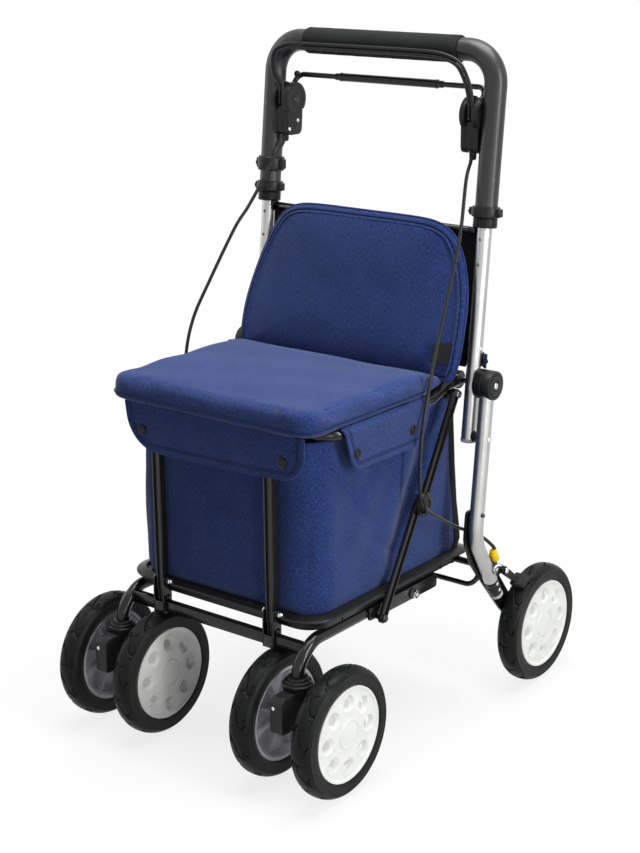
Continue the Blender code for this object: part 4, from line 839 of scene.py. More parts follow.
def prism(name: str, outline: Outline, depth: float, place: Matrix, edge: float = 0.0006,
          sharp: float = 30.0) -> Piece:
    """Plate of a flat outline with its edges broken.

    Args:
        name: Name of the piece.
        outline: Outline in the place's own X and Y.
        depth: Thickness, both ways from the place by half.
        place: Where it stands.
        edge: Width of the broken edges.
        sharp: Angle in degrees above which an edge is broken and stays sharp.

    Returns:
        The new object.
    """
    bm = bmesh.new()
    low = [bm.verts.new((x, y, -depth / 2)) for x, y in outline]
    high = [bm.verts.new((x, y, depth / 2)) for x, y in outline]
    bm.faces.new(low)
    bm.faces.new(high)
    for i in range(len(outline)):
        j = (i + 1) % len(outline)
        bm.faces.new((low[i], low[j], high[j], high[i]))
    bmesh.ops.recalc_face_normals(bm, faces=bm.faces)
    if edge:
        hard = [e for e in bm.edges if e.calc_face_angle(0) > math.radians(sharp)]
        bmesh.ops.bevel(bm, geom=hard, offset=edge, segments=2, profile=0.6, affect="EDGES", clamp_overlap=True)
    bmesh.ops.transform(bm, matrix=place, verts=bm.verts)
    mesh = bpy.data.meshes.new(name)
    bm.to_mesh(mesh)
    bm.free()
    return show_mesh(name, mesh, sharp)


def in_side_view(x: float) -> Matrix:
    """Place at an x whose local X and Y are the row frame's Y and Z."""
    turn = Matrix(((0, 0, 1, 0), (1, 0, 0, 0), (0, 1, 0, 0), (0, 0, 0, 1)))
    return Matrix.Translation((x, 0, 0)) @ turn


def block(name: str, low: Sequence[float], high: Sequence[float], edge: float = 0.0008) -> Piece:
    """Block between two corners with its edges broken.

    Args:
        name: Name of the piece.
        low: Lowest corner.
        high: Highest corner.
        edge: Width of the broken edges.

    Returns:
        The new object.
    """
    (x0, y0, z0), (x1, y1, z1) = low, high
    outline = [(y0, z0), (y1, z0), (y1, z1), (y0, z1)]
    return prism(name, outline, abs(x1 - x0), in_side_view((x0 + x1) / 2), edge)


def softened(corners: Outline, radius: float | Sequence[float], steps: int = 5) -> list[Pair]:
    """Flat outline with its corners rounded.

    Args:
        corners: Corners in order.
        radius: One radius, or one for each corner.
        steps: Points in each corner.

    Returns:
        Points of the outline.
    """
    radii = [radius] * len(corners) if isinstance(radius, (int, float)) else list(radius)
    outline = []
    for i, corner in enumerate(corners):
        here = Vector(corner)
        into = (Vector(corners[i - 1]) - here).normalized()
        out = (Vector(corners[(i + 1) % len(corners)]) - here).normalized()
        if radii[i] <= 0:
            outline.append(corner)
            continue
        half = into.angle(out) / 2
        reach = radii[i] / math.tan(half)
        centre = here + (into + out).normalized() * (radii[i] / math.sin(half))
        first, last = here + into * reach - centre, here + out * reach - centre
        whole = first.angle(last)
        for k in range(steps + 1):
            t = k / steps
            point = centre + (first * math.sin((1 - t) * whole) + last * math.sin(t * whole)) / math.sin(whole)
            outline.append((point.x, point.y))
    return outline


def divided(outline: Outline, longest: float) -> list[Pair]:
    """Outline with its long stretches cut into shorter ones.

    Args:
        outline: Closed outline.
        longest: Longest stretch that stays whole.

    Returns:
        Points of the outline.
    """
    points = []
    for i, (x, y) in enumerate(outline):
        u, v = outline[(i + 1) % len(outline)]
        parts = max(1, math.ceil(math.hypot(u - x, v - y) / longest))
        points += [(x + (u - x) * k / parts, y + (v - y) * k / parts) for k in range(parts)]
    return points


def merge(name: str, *pieces: Piece) -> Piece:
    """Weld several shapes of one finish into one piece.

    Args:
        name: Name of the whole.
        pieces: Pieces, which it takes the place of.

    Returns:
        The new object.
    """
    bm = bmesh.new()
    for piece in pieces:
        bm.from_mesh(piece.data)
    mesh = bpy.data.meshes.new(name)
    bm.to_mesh(mesh)
    bm.free()
    for piece in pieces:
        bpy.data.objects.remove(piece, do_unlink=True)
    mesh.shade_smooth()
    mesh.set_sharp_from_angle(angle=math.radians(SMOOTH))
    made = bpy.data.objects.new(name, mesh)
    bpy.context.scene.collection.objects.link(made)
    return made


class Head(enum.Enum):
    """Kinds of small fastener, with their outlines as shares of radius and height."""

    DOME_NUT = ((1, 0.42), (0.93, 0.5), *((0.72 * math.cos(a), 0.5 + 0.5 * math.sin(a))
                                          for a in np.linspace(0, math.pi / 2, 7)))
    HEX_NUT = ((1, 0.8), (0.9, 1), (0.5, 1), (0.48, 0.75), (0, 0.75))
    PAN_SCREW = ((1, 0.35), (0.9, 0.7), (0.6, 1), (0.34, 1), (0.26, 0.5), (0, 0.5))
    RIVET = ((1, 0.2), (0.85, 0.65), (0.5, 0.93), (0, 1))
    SNAP = ((1, 0.4), (0.92, 0.9), (0.8, 1), (0.66, 0.7), (0.6, 0.45), (0.5, 0.6), (0.25, 0.8), (0, 0.85))
    WASHER = ((1, 0.75), (0.95, 1), (0, 1))


@dataclass
class Fastener:
    """A nut, screw, rivet or snap that stands on a surface."""

    name: str
    centre: Triple
    axis: Triple
    radius: float
    height: float
    head: Head
    body: str
    finish: Finish = BRIGHT

    def outline(self) -> list[Pair]:
        """Profile of the head, from the surface outward."""
        shape = [(share * self.radius, rise * self.height) for share, rise in self.head.value]
        return [(0.0, -SINK), (self.radius, -SINK), *shape]

    def build(self) -> Piece:
        """Make the fastener and let it ride on its body.

        Returns:
            The fastener.
        """
        place, outline = facing(self.centre, self.axis, 0.3), self.outline()
        if self.head not in (Head.DOME_NUT, Head.HEX_NUT):
            return settle(lathe(self.name, outline, place, 20), self.finish, self.body)
        rest = outline[3:]
        base = lathe(self.name + "_flats", [(0.0, -SINK), *outline[1:4], (0.0, rest[0][1])], place, 6, 20.0)
        cap = [(0.0, rest[0][1] - 0.0003), *[(q * 0.97, h) for q, h in rest]]
        return settle(merge(self.name, base, lathe(self.name + "_top", cap, place, 20)), self.finish, self.body)


# ---------------------------------------------------------------- wheels


def step(low: float, high: float, value: float) -> float:
    """Smooth step from 0 to 1 between two values."""
    t = min(max((value - low) / (high - low), 0.0), 1.0)
    return t * t * (3 - 2 * t)


@dataclass
class Wheel:
    """Solid-tyred wheel: treaded rubber tyre on a pale hub with oval dimples."""

    name: str
    centre: Triple
    way: int
    body: str
    radius: float = 0.0822
    bead: float = 0.0605
    half: float = 0.015
    turns: int = 12
    steps: int = 46
    across: int = 22
    cap: float = 0.018
    dimples: int = 8
    dimple_r: float = 0.0408
    dimple_size: Pair = (0.011, 0.0102)

    @property
    def place(self) -> Matrix:
        """Where the wheel stands, its local +Z outward."""
        return facing(self.centre, (self.way, 0, 0))

    def wall(self) -> list[Pair]:
        """Half of the tyre's section, from the bead to the tread's edge.

        Returns:
            Pairs of radius and height.
        """
        low = mm(0, -2.4, 0.8, -1.2, 3, -0.5, at=(self.bead, self.half))
        high = mm(-7.8, -0.2, -7.1, 0.1, -6.4, -0.1, -5.8, -1.2, -4.7, -1.8, -3.6, -2.6,
                  at=(self.radius, self.half))
        return [*low, *mm(66.8, -0.1, 71.2, 0, at=(0.0, self.half)), *high]

    def groove(self, turn: float, across: float) -> float:
        """Depth of the tread pattern.

        Args:
            turn: Way round the tyre, in periods of the pattern.
            across: Place across the tread from -1 to 1.

        Returns:
            Depth in metres.
        """
        depth = 0.0
        wave = 0.5 + 0.3 * math.sin(math.pi * 0.95 * across) + 0.06 * across
        chevron = 0.12 + 0.16 * (1 - abs(across))
        marks = [(wave, 0.0022, 0.062, 1.0), (chevron, 0.0016, 0.042, 0.5)]
        for start, deep, wide, reach in marks:
            gap = abs((turn - start + 0.5) % 1.0 - 0.5)
            fade = 1 - step(reach - 0.06, reach + 0.04, abs(across))
            depth = max(depth, deep * fade * (1 - step(wide * 0.45, wide, gap)))
        for k in range(3):
            start = 0.8 + 0.075 * k + 0.22 * (abs(across) - 0.65) + (0.5 if across < 0 else 0.0)
            gap = abs((turn - start + 0.5) % 1.0 - 0.5)
            fade = step(0.42, 0.5, abs(across)) * (1 - step(0.84, 0.92, abs(across)))
            depth = max(depth, 0.0014 * fade * (1 - step(0.012, 0.028, gap)))
        return depth

    def tyre(self) -> Piece:
        """Tyre with its sidewall ridge and grooved tread.

        Returns:
            The tyre.
        """
        wall = self.wall()
        edge_r, edge_h = wall[-1]
        tread = [1 - 2 * i / self.across for i in range(1, self.across)]
        around = self.turns * self.steps
        verts = []
        for i, (cos, sin) in enumerate(compass(around)):
            ring = list(wall)
            for across in tread:
                crown = edge_r + (self.radius - edge_r) * (1 - abs(across) ** 2.6)
                ring.append((crown - self.groove(self.turns * i / around, across), across * edge_h))
            ring += [(r, -h) for r, h in reversed(wall)]
            verts += [self.place @ Vector((r * cos, r * sin, h)) for r, h in ring]
        faces = lattice(around, len(verts) // around, True)
        return settle(show(self.name + "_tread_tyre", verts, faces, 50), RUBBER, self.body, self.name + "_tyre")

    def from_dimple(self, r: float, angle: float) -> float:
        """Distance from the nearest dimple's middle, 1 at its edge.

        Args:
            r: Radius.
            angle: Angle round the axle.

        Returns:
            Share of the dimple's own half-width.
        """
        sector = 2 * math.pi / self.dimples
        off = (angle + sector / 2) % sector - sector / 2
        return math.hypot((r - self.dimple_r) / self.dimple_size[0], r * math.sin(off) / self.dimple_size[1])

    def face_height(self, r: float, angle: float) -> float:
        """Height of the hub's face at a radius and angle.

        Args:
            r: Radius.
            angle: Angle round the axle.

        Returns:
            Height from the wheel's middle plane.
        """
        h = self.half
        if r < self.cap + 0.0011:
            ring = 0.0014 * math.exp(-(((r - self.cap + 0.0002) / 0.0005) ** 2))
            return h - 0.0003 - 0.0003 * step(0.011, 0.0135, r) + 0.0003 * step(0.0145, 0.0165, r) - ring
        base = h - 0.0012 - 0.0012 * step(0.03, 0.055, r) + 0.0018 * step(0.0553, 0.0578, r)
        oval = self.from_dimple(r, angle)
        deep = 0.3 + 0.7 * step(0.032, 0.05, r)
        return base - 0.008 * deep * (1 - step(0.66, 1.0, oval)) + 0.0005 * math.exp(-(((oval - 1.06) / 0.07) ** 2))

    def hub(self) -> None:
        """Pale front of the hub, greyer in its dimples as painted shade, and the ribbed back behind it."""
        rim = self.bead - 0.0002
        radii = [0.0012, 0.006, 0.0115, 0.013, 0.015, 0.0164, 0.017, 0.01745, 0.0178, 0.01815, 0.0185, 0.0191]
        radii += [0.0205 + 0.00117 * i for i in range(31)] + [0.0568, 0.0578, 0.0588, 0.0597, rim]
        circle = compass(192)
        around = len(circle)
        verts = [self.place @ Vector((0, 0, self.face_height(0.0, 0.0)))]
        for r in radii:
            for i, (cos, sin) in enumerate(circle):
                height = self.face_height(r, 2 * math.pi * i / around)
                verts.append(self.place @ Vector((r * cos, r * sin, height)))
        for r, h in ((rim + 0.0001, self.half - 0.0016), (rim, 0.0068), (0.002, 0.0068)):
            verts += [self.place @ Vector((r * cos, r * sin, h)) for cos, sin in circle]
        rings = len(radii) + 3
        faces = [(0, 1 + i, 1 + (i + 1) % around) for i in range(around)]
        faces += [tuple(1 + index for index in face) for face in lattice(rings, around, turned=True)]
        faces.append(tuple(1 + (rings - 1) * around + i for i in range(around)))
        face = settle(show(self.name + "_dimpled_face", verts, faces, 50), HUB, self.body, self.name + "_hub")
        # Faces deep in the dimples take the greyer copy of the plastic: painted shade in the hollows.
        face.data.materials.append(HUB_DIMPLE_SHADE.material())
        back_to_local = self.place.inverted()
        for polygon in face.data.polygons:
            x, y, height = back_to_local @ polygon.center
            if height > self.half - 0.012 and self.from_dimple(math.hypot(x, y), math.atan2(y, x)) < 0.62:
                polygon.material_index = 1
        self.back(rim)

    def back(self, rim: float) -> None:
        """Rim ring, ribs and barrel seen from the inner side, in a greyer, bluer copy of the hub plastic: painted
        shade inside the wheel.

        Args:
            rim: Radius of the rim.
        """
        low, floor, end = 0.003 - self.half, 0.0062, -self.half
        profile = [(rim, 0.0066), *mm(0, 0, -1.2, -0.6, -3.8, -0.2, -4.6, 0.8, -5, 4, at=(rim, low)),
                   *mm(-7.5, -4, -12, -1.2, at=(rim, floor)), *mm(36, -0.4, 17, -1, 14.5, -3, at=(0.0, floor)),
                   (0.0128, -0.004), *mm(10.8, 1, 10, -1.3, 4.6, -1.3, at=(0.0, end)), (0.0043, -0.012),
                   (0.0043, floor + 0.0004)]
        shell = lathe(self.name + "_shell", profile, self.place, 96)
        rib = [(0.0112, -0.0105), (0.03, -0.0045), (rim - 0.0065, -0.003), (rim - 0.0065, floor), (0.0112, floor)]
        upright = Matrix.Rotation(math.pi / 2, 4, "X")
        ribs = []
        for k in range(self.dimples):
            spin = Matrix.Rotation(2 * math.pi * (k + 0.5) / self.dimples, 4, "Z")
            ribs.append(prism(f"rib_{k}", rib, 0.0016, self.place @ spin @ upright, 0.0004))
        # The back takes the greyer copy of the hub plastic: painted shade inside the wheel.
        settle(merge(self.name + "_ribbed_back", shell, *ribs), HUB_BACK_SHADE, self.body)

    def build(self) -> None:
        """Make the wheel."""
        self.tyre()
        self.hub()


@dataclass
class Caster:
    """Twin-wheel swivel caster."""

    side: Side
    stem_x: float = STEM_X
    axle_y: float = -0.216
    axle_z: float = REAR_AXLE[1]
    swivel_y: float = SWIVEL_Y
    offset: float = 0.047
    width: float = 0.02

    def block(self) -> None:
        """Moulded block with softened edges, panel ribs and the stepped cap."""
        x, y, a, z = self.side.x(self.stem_x), self.swivel_y, self.axle_y, self.axle_z
        outline = [*mm(-42, 88, -42, 128, -36, 134, 22, 134, at=(y, 0.0)), (a + 0.016, 0.112),
                   *mm(14, -6, 6, -14, -6, -14, -14, -6, at=(a, z)), (y - 0.012, 0.088)]
        radii = [0.004, 0.004, 0.002, 0.006, 0.006, 0.005, 0.004, 0.004, 0.005, 0.005]
        label = "caster_body_" + self.side.label
        main = prism(label, softened(outline, radii, 4), self.width - 0.0012, in_side_view(x), 0.0016)
        inset = [(y - 0.034, 0.095), (y - 0.034, 0.124), (y + 0.014, 0.124), (a + 0.008, 0.108), (a + 0.006, 0.094)]
        panels = [prism(f"panel_{k}", softened(inset, 0.004), 0.0012,
                        in_side_view(x + k * (self.width / 2 - 0.0006)), 0.0005) for k in (-1, 1)]
        button = mm(0, 0, 9.8, 0, 9.2, 1.6, 0, 1.6)
        boss = [lathe(f"boss_{k}", button, facing((x + k * self.width / 2, a, z), (k, 0, 0)), 24) for k in (-1, 1)]
        settle(merge(label, main, *panels, *boss), PLASTIC_MATT, "caster_" + self.side.label,
               "caster_block_" + self.side.label)
        self.cap(x, y)

    def cap(self, x: float, y: float) -> None:
        """Eight-sided collar with two rings round the stem.

        Args:
            x: Place of the stem across.
            y: Place of the stem along.
        """
        place = facing((x, y, 0.1325), (0, 0, 1), math.pi / 8)
        collar = lathe("collar", mm(8.8, 0, 19.6, 0, 20, 1, 20, 7.8, 18.5, 9.2, 8.8, 9.2), place, 8, 20)
        rings = lathe("rings", mm(8.8, 8.5, 16.8, 8.5, 16.8, 11.8, 15.8, 12.7, 13.4, 12.7, 13.4, 14.8, 12.6, 16,
                                  8.8, 16), place, 32)
        name = "caster_cap_" + self.side.label
        settle(merge(name, collar, rings), PLASTIC, "caster_" + self.side.label)
        Fastener("caster_screw_" + self.side.label, (x - 0.0045, y - 0.0417, 0.1205), (0, -1, 0), 0.0024, 0.0012,
                 Head.PAN_SCREW, "caster_" + self.side.label).build()

    def build(self) -> None:
        """Make the block and both wheels, and dress the axle."""
        self.block()
        dress("caster_axle_" + self.side.label, BRIGHT)
        for word, way in (("inner", -self.side.value), ("outer", self.side.value)):
            name = f"caster_wheel_{self.side.label}_{word}"
            x = self.side.x(self.stem_x) + way * self.offset
            Wheel(name, (x, self.axle_y, self.axle_z), way, name).build()


def dress(node: str, finish: Finish) -> None:
    """Give a CAD node that stays a procedural material.

    Args:
        node: Name of the node.
        finish: Its finish.
    """
    slots = bpy.data.objects[node].data.materials
    slots.clear()
    slots.append(finish.material())
    LOG.info("%s keeps its shape", node)


# ---------------------------------------------------------------- base


@dataclass
class BaseFrame:
    """Welded base: side tubes with stems, cross bar, side plates and post brackets."""

    stem_x: float = STEM_X
    swivel_y: float = SWIVEL_Y
    tube_radius: float = 0.008
    tube_z: float = 0.185
    rear_y: float = 0.045
    post_x: float = POST_X
    pin: Pair = POST_FOOT
    foot: Pair = BRACE_FOOT

    def tubes(self, side: Side) -> list[Piece]:
        """Side tube with its bent stem.

        Args:
            side: Left or right.

        Returns:
            The tube.
        """
        x, y, z = side.x(self.stem_x), self.swivel_y, self.tube_z
        route = bent([(x, y, 0.108), (x, y, 0.164), (x, y + 0.03, z), (x, self.rear_y, z)], 0.034, 14)
        return [tube("base_side_tube", route, self.tube_radius, 28, 0.0012)]

    def plate(self, side: Side) -> list[Piece]:
        """Side plate with clipped corners and the pin that the brace's foot turns on.

        Args:
            side: Left or right.

        Returns:
            The plate and its pin.
        """
        x = side.x(0.1514)
        y, z = self.foot
        outline = softened(mm(-105, 176.5, 45, 175.5, 45, 193, -105, 193), [0.003, 0.004, 0.001, 0.002], 4)
        pin = lathe("pin", mm(0, 0, 3, 0, 3, 17.2, 2.5, 17.7, 0, 17.7),
                    facing((side.x(0.15), y, z), (side.value, 0, 0)), 20)
        return [prism("side_plate", outline, 0.003, in_side_view(x), 0.0005), pin]

    def bracket(self, side: Side) -> list[Piece]:
        """Folded bracket: two cheeks with round tops and a front plate, all bent from one sheet.

        Args:
            side: Left or right.

        Returns:
            Shapes of the bracket.
        """
        x = side.x(self.post_x)
        y, z = self.pin
        front, back, low = y - 0.0088, y + 0.0065, 0.167
        cheek = softened([(front, low), (back, low), (back, 0.2163), (front, 0.2163)],
                         [0.0008, 0.001, 0.006, 0.006], 5)
        parts = [prism(f"cheek_{k}", cheek, 0.002, in_side_view(x + k * 0.0078), 0.0004) for k in (-1, 1)]
        parts.append(block("bracket_front", (x - 0.0088, front, low - 0.0002), (x + 0.0088, front + 0.002, 0.183),
                           0.0006))
        for k in (-1, 1):
            parts.append(lathe(f"bush_{k}", mm(0, 0, 4.4, 0, 4.4, 1.6, 3.6, 2.2, 0, 2.2),
                               facing((x + k * 0.0086, y, z), (k, 0, 0)), 18))
        return parts

    def bolts(self, side: Side) -> None:
        """Bolts at the bracket's cheeks, on the side plate and at the brace's foot.

        Args:
            side: Left or right.
        """
        x = side.x(self.post_x)
        label = side.label
        for word, k in (("a", -1), ("b", 1)):
            Fastener(f"bracket_washer_{label}_{word}", (x + k * 0.0087, self.pin[0] + 0.0005, 0.2095), (k, 0, 0),
                     0.0052, 0.0021, Head.WASHER, "base", DARK_METAL).build()
            Fastener(f"bracket_nut_{label}_{word}", (x + k * 0.0108, self.pin[0] + 0.0005, 0.2095), (k, 0, 0),
                     0.0043, 0.005, Head.DOME_NUT, "base").build()
        out = (side.value, 0, 0)
        Fastener("plate_washer_" + label, (side.x(0.1529), -0.0105, 0.1835), out, 0.0072, 0.002, Head.WASHER,
                 "base", DARK_METAL).build()
        Fastener("plate_bolt_" + label, (side.x(0.1549), -0.0105, 0.1835), out, 0.0058, 0.0052, Head.HEX_NUT,
                 "base").build()
        Fastener("brace_foot_clip_" + label, (side.x(0.164), *self.foot), out, 0.0052, 0.003, Head.PAN_SCREW,
                 "base", DARK_METAL).build()

    def build(self) -> None:
        """Weld the frame and add its bolts and end caps."""
        pieces = []
        for side in Side:
            pieces += [*self.tubes(side), *self.plate(side), *self.bracket(side)]
        pieces.append(block("cross_bar", (-self.stem_x, -0.222, 0.168), (self.stem_x, -0.212, 0.183), 0.0016))
        settle(merge("base_weldment", *pieces), STEEL, "base", "base_frame")
        for side in Side:
            self.bolts(side)
            cap = lathe("base_tube_cap_" + side.label, mm(0, 0, 8.4, 0, 8.6, 1.6, 7.4, 3, 0, 3.2),
                        facing((side.x(self.stem_x), self.rear_y, self.tube_z), (0, 1, 0)), 28)
            settle(cap, PLASTIC, "base")


def round_box(half_x: float, y_low: float, y_high: float, front: float, steps: int = 12,
              rear: float | None = None) -> list[Pair]:
    """Plan outline of a rectangle with round corners, those of the rear with a radius of their own.

    Args:
        half_x: Half-width.
        y_low: Front end.
        y_high: Rear end.
        front: Radius of the front corners.
        steps: Points in each corner.
        rear: Radius of the rear corners, if another.

    Returns:
        Points of the outline.
    """
    rear = front if rear is None else rear
    corners = [(half_x - front, y_low + front, -90, front), (half_x - rear, y_high - rear, 0, rear),
               (rear - half_x, y_high - rear, 90, rear), (front - half_x, y_low + front, 180, front)]
    outline = []
    for cx, cy, start, radius in corners:
        for i in range(steps + 1):
            angle = math.radians(start + 90 * i / steps)
            outline.append((cx + radius * math.cos(angle), cy + radius * math.sin(angle)))
    return outline


def loft(name: str, rings: Sequence[Points], sharp: float = SMOOTH, ends: bool = True) -> Piece:
    """Skin over closed rings of equal length.

    Args:
        name: Name of the piece.
        rings: Rings of points.
        sharp: Angle in degrees above which an edge stays sharp.
        ends: True to close both ends.

    Returns:
        The new object.
    """
    count = len(rings[0])
    faces = lattice(len(rings), count) + (end_caps(len(rings), count) if ends else [])
    return show(name, [p for ring in rings for p in ring], faces, sharp)


@dataclass
class Tray:
    """Plastic tray under the bag: stepped wall, wide sloping lip and floor."""

    half_x: float = 0.157
    front_y: float = -0.2185
    rear_y: float = 0.126
    corner: float = 0.042
    rear_corner: float = 0.024
    notch_x: float = POST_X
    notch_half: float = 0.0096
    notch_y: float = -0.2098
    levels: tuple[Pair, ...] = mm(204, 12.8, 193.7, 12.8, 193.3, 12.2, 193.3, 9.8, 193.8, 8.8, 194.8, 8.5, 200.6,
                                  8.5, 201.8, 8, 202.8, 5.5, 203.6, 1.6, 204.4, 0.4, 205.2, 0, 206.4, 0, 207.4, 0.6,
                                  208, 1.8, 210.1, 10, 210.7, 11.2, 210.8, 12.2, 210.1, 13, 206.6, 13.3, 206.3, 14)

    def build(self) -> None:
        """Loft the wall, close the floor and add ribs and the ears on the fold bar."""
        rings = []
        for z, inset in self.levels:
            outline = round_box(self.half_x - inset, self.front_y + inset, self.rear_y - inset, self.corner - inset,
                                14, self.rear_corner - inset)
            rings.append([(x, y, z) for x, y in self.notched(outline)])
        parts = [loft("tray_wall", rings, 28)]
        for side in Side:
            for y in (-0.155, 0.06):
                x = side.x(self.half_x - 0.0083)
                low, high = (x - 0.0009, y - 0.0007, 0.194), (x + 0.0009, y + 0.0007, 0.2014)
                parts.append(block("tray_rib", low, high, 0.0002))
            ear = mm(83, 199, 83, 203, 100, 203, 100, 199, 96.5, 192.5, 86.5, 192.5)
            parts.append(prism("tray_ear", softened(ear, [0.001, 0.001, 0.001, 0.001, 0.004, 0.004]), 0.0068,
                               in_side_view(side.x(0.1449)), 0.0006))
        settle(merge("tray_with_lip", *parts), PLASTIC_TRAY, "base", "base_tray")

    def notched(self, outline: Outline) -> list[Pair]:
        """Outline with extra points that step back round the two posts.

        Args:
            outline: Closed outline.

        Returns:
            Points of the outline.
        """
        points: list[Pair] = []
        for i, (x, y) in enumerate(outline):
            points.append((x, y))
            u, v = outline[(i + 1) % len(outline)]
            if abs(v - y) < 1e-6 and y < -0.19 and abs(u - x) > 0.1:
                for centre in (-self.notch_x, self.notch_x) if u > x else (self.notch_x, -self.notch_x):
                    way = 1 if u > x else -1
                    a, b = centre - way * self.notch_half, centre + way * self.notch_half
                    back = max(self.notch_y, y)
                    points += [(a, y), (a + way * 0.0004, back), (b - way * 0.0004, back), (b, y)]
        return points


# ---------------------------------------------------------------- soft parts


def bump(value: float, centre: float, width: float) -> float:
    """Bell of height 1 round a centre."""
    return math.exp(-(((value - centre) / width) ** 2))


def grid(rows: Sequence[Points]) -> tuple[list[Sequence[float]], list[tuple[int, ...]]]:
    """Points and faces of an open grid."""
    return [p for row in rows for p in row], lattice(len(rows), len(rows[0]), around=False)


def cloth_of(name: str, rows: Sequence[Points], thickness: float) -> Piece:
    """Cloth of an even thickness over a grid of points."""
    return thicken(show(name, *grid(rows), CLOTH_SMOOTH), thickness)


def thicken(piece: Piece, thickness: float, offset: float = 0.0) -> Piece:
    """Give a sheet its thickness.

    Args:
        piece: Object with the sheet.
        thickness: Thickness in metres.
        offset: -1 inward, 1 outward, 0 both ways.

    Returns:
        The same object, closed.
    """
    wall = piece.modifiers.new("thickness", "SOLIDIFY")
    wall.thickness, wall.offset, wall.use_even_offset = thickness, offset, True
    return baked(piece)


def baked(piece: Piece, sharp: float = 40.0) -> Piece:
    """Apply an object's modifiers to its mesh.

    Args:
        piece: The piece.
        sharp: Angle in degrees above which an edge stays sharp.

    Returns:
        The same object.
    """
    bpy.context.view_layer.update()
    graph = bpy.context.evaluated_depsgraph_get()
    mesh = bpy.data.meshes.new_from_object(piece.evaluated_get(graph))
    piece.modifiers.clear()
    piece.data = mesh
    mesh.shade_smooth()
    mesh.set_sharp_from_angle(angle=math.radians(sharp))
    return piece


